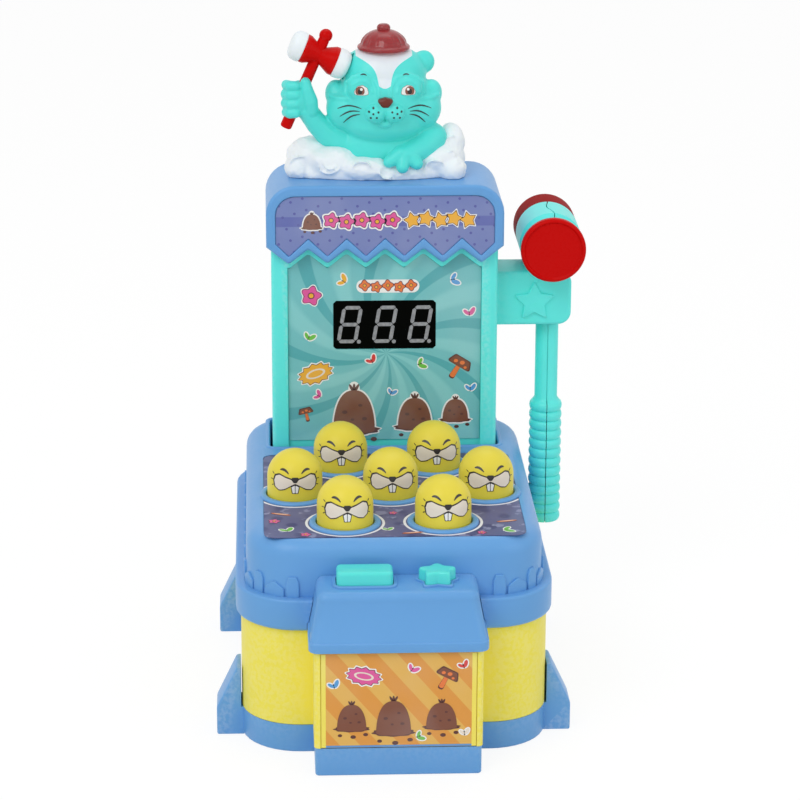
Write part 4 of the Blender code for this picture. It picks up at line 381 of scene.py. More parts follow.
def soften(piece: bpy.types.Object, width: float, steps: int = 3, sharp: float = 30.0,
           where: Callable[[Vector], bool] = lambda spot: True) -> bpy.types.Object:
    """Bevels the sharp edges of a piece that lie in one place.

    Args:
        piece: The piece.
        width: Width of the bevel.
        steps: Stretches across it.
        sharp: Least angle of an edge, in degrees.
        where: Says of a point in millimetres whether its edges are meant.

    Returns:
        The piece.
    """
    with editing(piece, "DESELECT"):
        bpy.ops.mesh.select_mode(type="EDGE")
        shape = bmesh.from_edit_mesh(piece.data)
        for edge in shape.edges:
            if len(edge.link_faces) == 2 and edge.calc_face_angle(0) > math.radians(sharp):
                edge.select_set(all(where(vertex.co / MM) for vertex in edge.verts))
        bmesh.update_edit_mesh(piece.data)
        bpy.ops.mesh.bevel(offset=width * MM, segments=steps, affect="EDGES", clamp_overlap=True)
        bpy.ops.mesh.select_mode(type="VERT")
    return piece


def flat_at(depth: float, side: float = -1.0) -> Surface:
    """A flat front face at a depth, on which lift goes towards the player."""
    return lambda across, along, lift: Vector((across, depth + side * lift, along))


def lying_at(height: float) -> Surface:
    """A level face at a height, on which lift goes up."""
    return lambda across, along, lift: Vector((across, along, height + lift))


def patch(outline: Sequence[Point], finish: "Ink", surface: Surface, lift: float, thick: float = 0.05,
          cuts: int = 0) -> bpy.types.Object:
    """A thin printed patch that follows a surface, filled from its middle to its outline.

    Args:
        outline: The patch's edge; a multiple of four points.
        finish: Its ink.
        surface: Gives the point of the surface for two numbers and a lift.
        lift: How far its underside is off the surface.
        thick: Its thickness.
        cuts: Cuts across each stretch, for a curved surface.

    Returns:
        The patch.
    """
    count = len(outline)
    piece = begin("patch", count, "TRIFAN" if cuts else "NGON")
    if cuts:
        with editing(piece):
            bpy.ops.mesh.subdivide(number_cuts=cuts)
    middle = Vector((sum(u for u, _ in outline), sum(v for _, v in outline))) / count
    corners = [Vector((math.cos(math.tau * i / count), math.sin(math.tau * i / count))) for i in range(count)]
    for vertex in piece.data.vertices:
        spot = vertex.co.xy
        first = int((math.atan2(spot.y, spot.x) / math.tau % 1.0) * count + 0.001) % count
        after = (first + 1) % count
        spread = corners[first].cross(corners[after])
        share = spot.cross(corners[after]) / spread
        other = corners[first].cross(spot) / spread
        across, along = (middle * (1 - share - other) + Vector(outline[first]) * share
                         + Vector(outline[after]) * other)
        vertex.co = surface(across, along, lift) * MM
    return thicken(piece, finish, surface, (middle.x, middle.y), thick)


def strip(path: tuple[Point, Point, Point], width: float, finish: "Ink", surface: Surface, lift: float,
          thick: float = 0.05, steps: int = 8, taper: bool = True) -> bpy.types.Object:
    """A thin printed line along a curve between two ends, pulled to a point between them."""
    rest()
    bpy.ops.mesh.primitive_grid_add(x_subdivisions=steps, y_subdivisions=1, size=2.0)
    piece = bpy.context.object
    start, bend, end = (Vector(spot) for spot in path)
    for vertex in piece.data.vertices:
        t = (vertex.co.x + 1) / 2
        spot = start * (1 - t) ** 2 + bend * (2 * t * (1 - t)) + end * t ** 2
        along = (bend - start) * (1 - t) + (end - bend) * t
        across = Vector((-along.y, along.x)).normalized()
        narrow = max(math.sin(math.pi * t), 0.12) ** 0.5 if taper else 1.0
        spot = spot + across * (vertex.co.y * width / 2 * narrow)
        vertex.co = surface(spot.x, spot.y, lift) * MM
    return thicken(piece, finish, surface, (bend.x, bend.y), thick)


def thicken(piece: bpy.types.Object, finish: "Ink", surface: Surface, middle: Point, thick: float
            ) -> bpy.types.Object:
    """Gives a printed patch its thickness, away from what carries it, and its ink."""
    outward = surface(*middle, 1.0) - surface(*middle, 0.0)
    piece.data.update()
    normal = sum((face.normal * face.area for face in piece.data.polygons), Vector())
    if normal.dot(outward) < 0:
        with editing(piece):
            bpy.ops.mesh.flip_normals()
    modify(piece, "SOLIDIFY", thickness=thick * MM, offset=1.0)
    dress(piece, finish)
    return piece


def dress(piece: bpy.types.Object, finish: object, smooth: float = 35.0) -> bpy.types.Object:
    """Gives a piece its finish and shades it smooth up to an angle."""
    piece.data.materials.clear()
    piece.data.materials.append(look(finish))
    pick(piece)
    bpy.ops.object.shade_smooth_by_angle(angle=math.radians(smooth))
    return piece


def fit(piece: bpy.types.Object, body: str, slot: str, *stands_for: str) -> bpy.types.Object:
    """Puts a finished piece on its body.

    Args:
        piece: The piece, in place.
        body: The body that it moves with.
        slot: The record's material slot; not used.
        stands_for: The nodes that it replaces.

    Returns:
        The piece.
    """
    rest()
    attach(piece, body)
    if stands_for:
        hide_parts(*stands_for)
    LOG.info("%s rides on %s, %d faces", piece.name, body, len(piece.data.polygons))
    return piece


class Tree:
    """A shader tree with short calls for the nodes that the finishes use."""

    def __init__(self, tree: bpy.types.NodeTree) -> None:
        """Keeps the tree."""
        self.tree = tree

    def add(self, kind: str, **settings: object) -> bpy.types.Node:
        """Adds a node and sets its properties."""
        node = self.tree.nodes.new(kind)
        for name, value in settings.items():
            setattr(node, name, value)
        return node

    def feed(self, socket: bpy.types.NodeSocket, value: object) -> None:
        """Links a socket or sets its value."""
        if isinstance(value, bpy.types.NodeSocket):
            self.tree.links.new(value, socket)
        else:
            socket.default_value = value

    def math(self, operation: str, *values: object, clamp: bool = False) -> bpy.types.NodeSocket:
        """A math node's result."""
        node = self.add("ShaderNodeMath", operation=operation, use_clamp=clamp)
        for socket, value in zip(node.inputs, values):
            self.feed(socket, value)
        return node.outputs[0]

    def step(self, value: object, low: float, high: float) -> bpy.types.NodeSocket:
        """A soft step from 0 at low to 1 at high."""
        node = self.add("ShaderNodeMapRange", interpolation_type="SMOOTHSTEP")
        self.feed(node.inputs["Value"], value)
        self.feed(node.inputs["From Min"], low)
        self.feed(node.inputs["From Max"], high)
        return node.outputs["Result"]

    def mix(self, factor: object, first: object, second: object) -> bpy.types.NodeSocket:
        """A mix of two colours."""
        node = self.add("ShaderNodeMix", data_type="RGBA")
        self.feed(node.inputs[0], factor)
        self.feed(node.inputs[6], first)
        self.feed(node.inputs[7], second)
        return node.outputs[2]

    def place(self) -> bpy.types.NodeSocket:
        """The object's own coordinates, in metres."""
        return self.add("ShaderNodeTexCoord").outputs["Object"]

    def noise(self, scale: float, detail: float = 2.0, place: object = None) -> bpy.types.NodeSocket:
        """A noise pattern about 0.5."""
        node = self.add("ShaderNodeTexNoise")
        self.feed(node.inputs["Vector"], place or self.place())
        self.feed(node.inputs["Scale"], scale)
        self.feed(node.inputs["Detail"], detail)
        return node.outputs["Fac"]

    def split(self) -> tuple[bpy.types.NodeSocket, bpy.types.NodeSocket, bpy.types.NodeSocket]:
        """The object's own coordinates in millimetres, one by one."""
        scaled = self.add("ShaderNodeVectorMath", operation="SCALE")
        self.feed(scaled.inputs[0], self.place())
        self.feed(scaled.inputs["Scale"], 1000.0)
        parts = self.add("ShaderNodeSeparateXYZ")
        self.feed(parts.inputs[0], scaled.outputs[0])
        return parts.outputs[0], parts.outputs[1], parts.outputs[2]

    def distance(self, u: object, v: object) -> bpy.types.NodeSocket:
        """Length of a flat vector."""
        return self.math("SQRT", self.math("ADD", self.math("MULTIPLY", u, u), self.math("MULTIPLY", v, v)))


def group_tree(name: str, inputs: dict[str, float | tuple], outputs: Sequence[str]) -> Tree:
    """A new node group with named sockets.

    Args:
        name: The group's name.
        inputs: Sockets with their first values; a colour where the value is a tuple.
        outputs: Sockets that are put out; the one called Colour is a colour.

    Returns:
        The group's tree.
    """
    tree = bpy.data.node_groups.new(name, "ShaderNodeTree")
    for socket, value in inputs.items():
        kind = "NodeSocketColor" if isinstance(value, tuple) else "NodeSocketFloat"
        made = tree.interface.new_socket(socket, in_out="INPUT", socket_type=kind)
        made.default_value = value
    for socket in outputs:
        kind = "NodeSocketColor" if socket == "Colour" else "NodeSocketFloat"
        tree.interface.new_socket(socket, in_out="OUTPUT", socket_type=kind)
    return Tree(tree)


def moulded_surface() -> bpy.types.NodeTree:
    """The surface of moulded plastic: faint clouds in its colour, fine grain, rubbed edges and dust."""
    tree = group_tree("moulded surface", {"Colour": (0.5, 0.5, 0.5, 1.0), "Roughness": 0.4, "Mottle": 0.06,
                                          "Grain": 1.0, "Wear": 0.2, "Dust": 0.1},
                      ("Colour", "Roughness", "Height"))
    given = tree.add("NodeGroupInput").outputs
    place = tree.place()
    cloud = tree.noise(38.0, 3.0, place)
    speck = tree.noise(420.0, 3.0, place)
    grain = tree.noise(3600.0, 1.0, place)
    shade = tree.add("ShaderNodeHueSaturation")
    tree.feed(shade.inputs["Color"], given["Colour"])
    drift = tree.math("MULTIPLY", tree.math("SUBTRACT", cloud, 0.5), given["Mottle"])
    tree.feed(shade.inputs["Value"], tree.math("ADD", drift, 1.0))
    shape = tree.add("ShaderNodeNewGeometry")
    edge = tree.step(shape.outputs["Pointiness"], 0.53, 0.62)
    rubbed = tree.math("MULTIPLY", tree.math("MULTIPLY", edge, tree.step(speck, 0.35, 0.65)), given["Wear"])
    paler = tree.mix(0.55, shade.outputs[0], (0.95, 0.97, 1.0, 1.0))
    worn = tree.mix(rubbed, shade.outputs[0], paler)
    facing = tree.add("ShaderNodeSeparateXYZ")
    tree.feed(facing.inputs[0], shape.outputs["Normal"])
    settled = tree.math("MULTIPLY", tree.step(facing.outputs[2], 0.55, 0.98), tree.step(cloud, 0.42, 0.68))
    dust = tree.math("MULTIPLY", settled, given["Dust"])
    dusty = tree.mix(dust, worn, (0.62, 0.62, 0.60, 1.0))
    rough = tree.math("ADD", given["Roughness"],
                      tree.math("MULTIPLY", tree.math("SUBTRACT", speck, 0.5), 0.14))
    rough = tree.math("ADD", rough, tree.math("MULTIPLY", tree.math("ADD", dust, rubbed), 0.5), clamp=True)
    height = tree.math("ADD", tree.math("MULTIPLY", grain, 0.6), tree.math("MULTIPLY", speck, 0.4))
    out = tree.add("NodeGroupOutput").inputs
    tree.feed(out["Colour"], dusty)
    tree.feed(out["Roughness"], rough)
    tree.feed(out["Height"], tree.math("MULTIPLY", height, given["Grain"]))
    return tree.tree


def printed_film() -> bpy.types.NodeTree:
    """The surface of a printed sheet: ink that varies a little under a film with a soft ripple."""
    tree = group_tree("printed film", {"Colour": (0.5, 0.5, 0.5, 1.0), "Roughness": 0.35, "Fade": 0.1},
                      ("Colour", "Roughness", "Height"))
    given = tree.add("NodeGroupInput").outputs
    place = tree.place()
    cloud = tree.noise(30.0, 2.0, place)
    ink = tree.noise(2600.0, 2.0, place)
    ripple = tree.noise(260.0, 1.0, place)
    scuff = tree.add("ShaderNodeTexNoise")
    stretched = tree.add("ShaderNodeMapping")
    tree.feed(stretched.inputs["Vector"], place)
    tree.feed(stretched.inputs["Rotation"], (0.3, 0.5, 0.7))
    tree.feed(stretched.inputs["Scale"], (60.0, 900.0, 900.0))
    tree.feed(scuff.inputs["Vector"], stretched.outputs[0])
    tree.feed(scuff.inputs["Scale"], 1.0)
    shade = tree.add("ShaderNodeHueSaturation")
    tree.feed(shade.inputs["Color"], given["Colour"])
    drift = tree.math("MULTIPLY", tree.math("SUBTRACT", ink, 0.5), 0.10)
    tree.feed(shade.inputs["Value"], tree.math("ADD", drift, 1.0))
    faded = tree.mix(tree.math("MULTIPLY", tree.step(cloud, 0.4, 0.75), given["Fade"]), shade.outputs[0],
                     (0.80, 0.82, 0.84, 1.0))
    rubbed = tree.step(scuff.outputs["Fac"], 0.62, 0.74)
    rough = tree.math("ADD", given["Roughness"], tree.math("MULTIPLY", rubbed, 0.18), clamp=True)
    out = tree.add("NodeGroupOutput").inputs
    tree.feed(out["Colour"], faded)
    tree.feed(out["Roughness"], rough)
    tree.feed(out["Height"], ripple)
    return tree.tree


def shared(name: str, build: Callable[[], bpy.types.NodeTree]) -> bpy.types.NodeTree:
    """A node group, built at its first use."""
    return bpy.data.node_groups.get(name) or build()


def new_material(name: str) -> tuple[bpy.types.Material, Tree, bpy.types.Node]:
    """A material with its tree and its Principled shader."""
    made = bpy.data.materials.new(name)
    made.use_nodes = True
    return made, Tree(made.node_tree), made.node_tree.nodes["Principled BSDF"]


def add_relief(tree: Tree, shader: bpy.types.Node, height: bpy.types.NodeSocket, strength: float,
               distance: float) -> None:
    """Feeds a height pattern to a shader's normal."""
    bump = tree.add("ShaderNodeBump")
    bump.inputs["Strength"].default_value = strength
    bump.inputs["Distance"].default_value = distance * MM
    tree.feed(bump.inputs["Height"], height)
    tree.feed(shader.inputs["Normal"], bump.outputs["Normal"])


@dataclass(frozen=True)
class Plastic:
    """A moulded plastic: its colour, gloss and how much its surface varies."""

    name: str
    colour: str
    roughness: float = 0.36
    mottle: float = 0.07
    grain: float = 1.0
    relief: float = 0.05
    wear: float = 0.25
    dust: float = 0.06
    coat: float = 0.0
    through: float = 0.0
    glow: float = 0.0
    metal: float = 0.0
    gloss: float = 0.35

    def make(self) -> bpy.types.Material:
        """Builds the material."""
        made, tree, shader = new_material(self.name)
        surface = tree.add("ShaderNodeGroup", node_tree=shared("moulded surface", moulded_surface))
        surface.inputs["Colour"].default_value = linear(self.colour)
        for name, value in (("Roughness", self.roughness), ("Mottle", self.mottle), ("Grain", self.grain),
                            ("Wear", self.wear), ("Dust", self.dust)):
            surface.inputs[name].default_value = value
        tree.feed(shader.inputs["Base Color"], surface.outputs["Colour"])
        tree.feed(shader.inputs["Roughness"], surface.outputs["Roughness"])
        add_relief(tree, shader, surface.outputs["Height"], 0.35, self.relief)
        shader.inputs["Coat Weight"].default_value = self.coat
        shader.inputs["Coat Roughness"].default_value = 0.12
        shader.inputs["Transmission Weight"].default_value = self.through
        shader.inputs["Metallic"].default_value = self.metal
        shader.inputs["Specular IOR Level"].default_value = self.gloss
        shader.inputs["IOR"].default_value = 1.49
        if self.glow:
            shader.inputs["Subsurface Weight"].default_value = self.glow
            shader.inputs["Subsurface Radius"].default_value = (0.9, 0.9, 0.7)
            shader.inputs["Subsurface Scale"].default_value = 0.0015
        return made


@dataclass(frozen=True)
class PaintedBust(Plastic):
    """The bust's plastic, with a white blaze sprayed on its forehead that narrows to between the eyes."""

    name: str = "painted bust"
    colour: str = "55E4DC"
    relief: float = 0.08
    glow: float = 0.2
    paint: str = "E6EEF4"
    blaze_low: float = 356.8
    blaze_high: float = 373.2
    back: float = 88.0

    def make(self) -> bpy.types.Material:
        """Builds the material."""
        made = super().make()
        tree = Tree(made.node_tree)
        surface = next(node for node in made.node_tree.nodes if node.type == "GROUP")
        x, y, z = tree.split()
        share = tree.math("DIVIDE", tree.math("SUBTRACT", z, self.blaze_low),
                          self.blaze_high - self.blaze_low)
        share = tree.math("MAXIMUM", share, 0.0)
        flare = tree.math("ADD", tree.math("MULTIPLY", tree.math("POWER", share, 4.8), 8.1),
                          tree.math("MULTIPLY", share, 3.1))
        tip = tree.math("MULTIPLY", tree.math("POWER", tree.math("MINIMUM", share, 0.1), 0.5), 10.4)
        half = tree.math("MINIMUM", tree.math("ADD", flare, tip), 17.3)
        inside = tree.step(tree.math("SUBTRACT", half, tree.math("ABSOLUTE", x)), -0.15, 0.25)
        front = tree.step(y, self.back, self.back - 2.0)
        risen = tree.step(share, 0.0, 0.01)
        mask = tree.math("MULTIPLY", tree.math("MULTIPLY", inside, front), risen)
        tree.feed(surface.inputs["Colour"], tree.mix(mask, linear(self.colour), linear(self.paint)))
        return made


@dataclass(frozen=True)
class Ink:
    """A printed colour on a film, with fine ink grain and light scuffs."""

    name: str
    colour: str
    roughness: float = 0.36
    fade: float = 0.08

    def make(self) -> bpy.types.Material:
        """Builds the material."""
        made, tree, shader = new_material(self.name)
        return film_over(made, tree, shader, linear(self.colour), self.roughness, self.fade)


def film_over(made: bpy.types.Material, tree: Tree, shader: bpy.types.Node, colour: object, roughness: float,
              fade: float) -> bpy.types.Material:
    """Lays the printed film over a colour or a pattern and finishes the material."""
    film = tree.add("ShaderNodeGroup", node_tree=shared("printed film", printed_film))
    tree.feed(film.inputs["Colour"], colour)
    film.inputs["Roughness"].default_value = roughness
    film.inputs["Fade"].default_value = fade
    tree.feed(shader.inputs["Base Color"], film.outputs["Colour"])
    tree.feed(shader.inputs["Roughness"], film.outputs["Roughness"])
    add_relief(tree, shader, film.outputs["Height"], 0.25, 0.04)
    return made


@dataclass(frozen=True)
class MarqueeSheet:
    """The marquee's sheet: a slanted grid of dots on a plain ground with a darker band."""

    name: str = "marquee sheet"
    ground: str = "7683BA"
    band: str = "5F69AE"
    dot: str = "565CA2"
    pitch: float = 7.6
    slant: float = 18.0
    dot_radius: float = 0.85
    band_height: float = 276.5
    band_half: float = 3.1

    def make(self) -> bpy.types.Material:
        """Builds the material."""
        made, tree, shader = new_material(self.name)
        x, _, z = tree.split()
        middle = tree.math("ABSOLUTE", tree.math("SUBTRACT", z, self.band_height))
        banded = tree.mix(tree.step(middle, self.band_half + 0.3, self.band_half - 0.3), linear(self.ground),
                          linear(self.band))
        turn = math.radians(self.slant)
        parts = []
        for along, across in ((math.cos(turn), math.sin(turn)), (-math.sin(turn), math.cos(turn))):
            line = tree.math("ADD", tree.math("MULTIPLY", x, along), tree.math("MULTIPLY", z, across))
            cell = tree.math("FRACT", tree.math("ADD", tree.math("DIVIDE", line, self.pitch), 40.0))
            parts.append(tree.math("MULTIPLY", tree.math("SUBTRACT", cell, 0.5), self.pitch))
        dots = tree.step(tree.distance(*parts), self.dot_radius + 0.15, self.dot_radius - 0.15)
        return film_over(made, tree, shader, tree.mix(dots, banded, linear(self.dot)), 0.42, 0.06)


@dataclass(frozen=True)
class TowerSheet:
    """The tower's sheet: curved rays about a place in its middle."""

    name: str = "tower sheet"
    ground: str = "74C2C5"
    ray: str = "52ACB2"
    light: str = "86CFD0"
    centre_x: float = 1.0
    centre_z: float = 190.0
    rays: float = 9.0

    def make(self) -> bpy.types.Material:
        """Builds the material."""
        made, tree, shader = new_material(self.name)
        x, _, z = tree.split()
        u = tree.math("SUBTRACT", x, self.centre_x)
        v = tree.math("SUBTRACT", z, self.centre_z)
        angle = tree.math("MULTIPLY", tree.math("ARCTAN2", v, u), self.rays)
        reach = tree.distance(u, v)
        phase = tree.math("ADD", angle, tree.math("MULTIPLY", tree.math("POWER", reach, 0.8), 0.19))
        wave = tree.math("SINE", phase)
        lit = tree.mix(tree.step(wave, -0.3, -0.9), linear(self.ground), linear(self.light))
        rayed = tree.mix(tree.step(wave, 0.80, 0.88), lit, linear(self.ray))
        return film_over(made, tree, shader, rayed, 0.40, 0.06)


@dataclass(frozen=True)
class FrontSheet:
    """The front module's sheet: wide slanted stripes in two oranges."""

    name: str = "front sheet"
    light: str = "E4B356"
    dark: str = "DF983E"
    pitch: float = 23.0

    def make(self) -> bpy.types.Material:
        """Builds the material."""
        made, tree, shader = new_material(self.name)
        x, _, z = tree.split()
        slant = tree.math("DIVIDE", tree.math("ADD", x, tree.math("MULTIPLY", z, 0.85)), self.pitch)
        saw = tree.math("ABSOLUTE", tree.math("SUBTRACT", tree.math("FRACT", slant), 0.5))
        striped = tree.mix(tree.step(saw, 0.238, 0.262), linear(self.light), linear(self.dark))
        return film_over(made, tree, shader, striped, 0.40, 0.05)


@dataclass(frozen=True)
class DeckSheet:
    """The deck's sheet: soft leaves on a muted ground, with a white ring round each mole."""

    name: str = "deck sheet"
    ground: str = "60628F"
    shade: str = "45487A"
    pale: str = "8A8DB4"
    centres: tuple[Point, ...] = ()
    ring_radius: float = 22.55
    ring_half_width: float = 0.8

    def make(self) -> bpy.types.Material:
        """Builds the material."""
        made, tree, shader = new_material(self.name)
        x, y, _ = tree.split()
        cells = tree.add("ShaderNodeTexVoronoi", feature="SMOOTH_F1")
        cells.inputs["Scale"].default_value = 95.0
        tree.feed(cells.inputs["Vector"], tree.place())
        flecked = tree.mix(tree.step(cells.outputs["Distance"], 0.42, 0.24), linear(self.ground),
                           linear(self.shade))
        flecked = tree.mix(tree.step(tree.noise(120.0, 3.0), 0.58, 0.66), flecked, linear(self.pale))
        rings = None
        for across, along in self.centres:
            reach = tree.distance(tree.math("SUBTRACT", x, across), tree.math("SUBTRACT", y, along))
            off = tree.math("ABSOLUTE", tree.math("SUBTRACT", reach, self.ring_radius))
            ring = tree.step(off, self.ring_half_width + 0.1, self.ring_half_width - 0.1)
            rings = ring if rings is None else tree.math("MAXIMUM", rings, ring)
        ringed = tree.mix(rings, flecked, linear("F2F1F4")) if rings is not None else flecked
        shader.inputs["Specular IOR Level"].default_value = 0.18
        return film_over(made, tree, shader, ringed, 0.34, 0.05)


@dataclass(frozen=True)
class Board:
    """A circuit board: solder mask over its tracks."""

    name: str = "board mask"
    colour: str = "1F6B34"
    track: str = "2E8A48"

    def make(self) -> bpy.types.Material:
        """Builds the material."""
        made, tree, shader = new_material(self.name)
        tracks = tree.add("ShaderNodeTexBrick")
        tree.feed(tracks.inputs["Vector"], tree.place())
        tracks.inputs["Scale"].default_value = 90.0
        tracks.inputs["Mortar Size"].default_value = 0.06
        lined = tree.mix(tracks.outputs["Fac"], linear(self.colour), linear(self.track))
        return film_over(made, tree, shader, lined, 0.30, 0.02)


class Finish(Enum):
    """Every finish of the game."""

    BLUE = Plastic("moulded blue", "67A4DE", 0.37, glow=0.12)
    YELLOW = Plastic("moulded yellow", "F5E757", 0.40, glow=0.15, gloss=0.25)
    MOLE = Plastic("mole skin", "EAD94C", 0.40, relief=0.07, glow=0.2, gloss=0.25)
    TURQUOISE = Plastic("moulded turquoise", "62EFE8", 0.35, glow=0.15)
    TEAL = Plastic("button teal", "58E4DD", 0.32, glow=0.15, coat=0.1)
    FUR = Plastic("figure teal", "55E4DC", 0.38, relief=0.08, glow=0.2)
    SNOW = Plastic("mound white", "F0F6FA", 0.48, relief=0.12, glow=0.15)
    WHITE = Plastic("end cap white", "EDF5F9", 0.42, glow=0.1)
    RED = Plastic("gloss red", "CA0A08", 0.28, mottle=0.05, gloss=0.06, wear=0.1)
    DARK_RED = Plastic("smoked red", "9A1E1E", 0.55, gloss=0.02, dust=0.0, wear=0.03)
    HAT = Plastic("clear red", "C63A40", 0.20, through=0.60, wear=0.1, mottle=0.04)
    BLACK = Plastic("display black", "060706", 0.30, mottle=0.02, grain=0.1, relief=0.002, wear=0.0, dust=0.0,
                    gloss=0.01)
    KNOB = Plastic("knob black", "1A1B1E", 0.5, gloss=0.2)
    STEEL = Plastic("bright steel", "C8CACD", 0.28, metal=1.0, grain=2.0)
    CELL = Plastic("cell wrap", "2B2D31", 0.35)
    LAMP = Plastic("lamp clear", "F2F0DC", 0.12, through=0.7)
    NOSE = Plastic("nose brown", "6A2A1E", 0.30, gloss=0.3)
    BUST = PaintedBust()
    INK_WHITE = Ink("white ink", "F4F3F0")
    INK_CREAM = Ink("cream ink", "EADFD0")
    INK_DARK = Ink("dark ink", "1E181A", fade=0.03)
    INK_PLUM = Ink("plum ink", "5B2548")
    INK_PINK = Ink("pink ink", "E0569C")
    INK_AMBER = Ink("amber ink", "EFB02E")
    INK_BROWN = Ink("brown ink", "7B4630")
    INK_SOIL = Ink("soil ink", "5A2E26")
    INK_IRIS = Ink("iris ink", "8A5140")
    INK_GREEN = Ink("green ink", "6CBF45")
    INK_BLUE = Ink("sky ink", "4E9BD8")
    INK_RED = Ink("red ink", "D8322E")
    INK_ORANGE = Ink("orange ink", "E8793A")
    INK_MARGIN = Ink("margin ink", "F3E45E")
    INK_FOOT = Ink("foot ink", "5D97D2")
    SEGMENT = Plastic("unlit segment", "8B8D91", 0.45, relief=0.03, gloss=0.1)
    MARQUEE = MarqueeSheet()
    TOWER = TowerSheet()
    FRONT = FrontSheet()
    BOARD = Board()


MADE: dict[str, bpy.types.Material] = {}


def look(finish: object) -> bpy.types.Material:
    """The material of a finish, built at its first use."""
    recipe = finish.value if isinstance(finish, Finish) else finish
    if recipe.name not in MADE:
        MADE[recipe.name] = recipe.make()
    return MADE[recipe.name]


BODY = Plan(-90.0, 90.0, -120.3, 125.3, 35.0)
RIM = BODY.inset(-3.0)
DECK = BODY.inset(3.3)
MODULE = Plan(-48.5, 48.5, -155.0, -100.0, 3.0)
MOLE_PLACES: tuple[Point, ...] = ((-28.65, -85.9), (28.65, -85.9), (-57.3, -35.5), (0.0, -35.5),
                                  (57.3, -35.5),
                                  (-28.65, 14.9), (28.65, 14.9))


def rise(plan: Plan, size: float, height: float, steps: int = 4, top: bool = True
         ) -> list[tuple[list[Point], float]]:
    """Sections of a rounded upper or lower edge of a plan.

    Args:
        plan: The plan beside the edge.
        size: Radius of the edge.
        height: Height of the flat face that the edge runs into.
        steps: Stretches of the arc.
        top: True for an upper edge.

    Returns:
        Outlines with their heights, from low to high.
    """
    sections = []
    for step in range(steps + 1):
        turn = math.pi / 2 * step / steps
        inset = size * (1 - math.cos(turn))
        drop = size * (1 - math.sin(turn))
        sections.append((plan.inset(inset).outline(), height - drop if top else height + drop))
    return sections if top else sections[::-1]


@dataclass
class Base:
    """Bottom pan with its outriggers, and the band that stands on it."""

    height: float = 17.3
    floor: float = 2.5
    wall: float = 2.2
    edge: float = 1.4
    band_low: float = 17.6
    band_high: float = 76.7
    outrigger_places: tuple[float, float] = (-92.5, 69.2)
    outrigger_thickness: float = 22.0
    outrigger_outline: tuple[Point, ...] = ((88.9, 0.0), (105.0, 0.0), (105.0, 17.0), (93.1, 42.0),
                                            (90.6, 42.0),
                                            (90.6, 17.3), (88.9, 17.3))
    post_places: tuple[Point, ...] = ((-79.0, -83.0), (-79.0, 78.0), (79.0, -83.0), (79.0, 78.0))
    door: Plan = Plan(-26.25, 26.25, 6.7, 78.7, 3.3)
    cells: Plan = Plan(-22.95, 22.95, 22.0, 75.4, 0.3)
    grille_y: float = -62.0
    grille_pitch: float = 6.8

    def build(self) -> None:
        """Builds and dresses the pan and the band."""
        fit(dress(self.pan(), Finish.BLUE), "body", "blue_plastic", "base_tray")
        fit(dress(self.band(), Finish.YELLOW), "body", "yellow_plastic", "body_band")

    def pan(self) -> bpy.types.Object:
        """The pan: floor and walls, battery room, screw wells, speaker grille and outriggers."""
        foot = MODULE.inset(0.6)
        pan = lofted("bottom_pan", rise(BODY, self.edge, 0.0, top=False) + [(BODY.outline(), self.height)])
        front = lofted("front_pan", rise(foot, self.edge, 0.0, top=False) + [(foot.outline(), self.height)])
        unite(pan, front)
        cut(pan, plate("room", BODY.inset(self.wall).outline(), self.floor, self.height + 3),
            plate("front_room", foot.inset(self.wall).outline(), self.floor, self.height + 3))
        unite(pan, plate("cell_walls", self.cells.inset(-1.6).outline(2), 1.2, 18.8),
              plate("door_walls", self.door.inset(-1.9).outline(4), 1.25, 4.0))
        posts = [bar("post", (x, y, 1.3), (x, y, 30.0), 4.6, 24) for x, y in self.post_places]
        unite(pan, gather("posts", posts), bar("screw_boss", (0, 16.6, 2.0), (0, 16.6, 17.0), 4.6, 24))
        cut(pan, plate("cell_room", self.cells.outline(2), -3, 17.2),
            plate("door_seat", self.door.outline(4), -3, 2.4))
        wells = [bar("well", (x, y, -3), (x, y, 6.0), 2.9, 24) for x, y in self.post_places]
        bores = [bar("bore", (x, y, -4), (x, y, 33.0), 1.6, 16) for x, y in self.post_places]
        cut(pan, gather("wells", wells), gather("bores", bores),
            bar("bore", (0, 16.6, -3), (0, 16.6, 15.6), 1.6, 16))
        slots = []
        for i in range(-2, 3):
            y = self.grille_y + i * self.grille_pitch
            slots.append(plate("slot", Plan(-17, 17, y - 1.1, y + 1.1, 1.05).outline(4), -3, 5.5))
        cut(pan, gather("slots", slots))
        feet = []
        for side in (-1, 1):
            for y in self.outrigger_places:
                outline = [(side * x, z) for x, z in self.outrigger_outline]
                shape = plate("outrigger", outline[::side], y, y + self.outrigger_thickness, Axis.BACK)
                soften(shape, 1.1, 3, 20, lambda spot: abs(spot.x) > 92.0)
                feet.append(shape)
        return unite(pan, *feet)

    def band(self) -> bpy.types.Object:
        """The band round the body and the front module."""
        low, high = self.band_low, self.band_high
        band = plate("side_band", BODY.outline(12), low, high)
        unite(band, plate("front_band", MODULE.outline(4), low, high))
        cut(band, plate("room", BODY.inset(self.wall).outline(12), low - 3, high + 3),
            plate("front_room", MODULE.inset(self.wall).outline(4), low - 3, high + 3),
            block("sheet_seat", (-44.8, -158, low - 3), (44.8, -154.0, 76.0)),
            block("switch_slot", (-8.5, 122, 36.5), (8.5, 128, 43.5)))
        return band


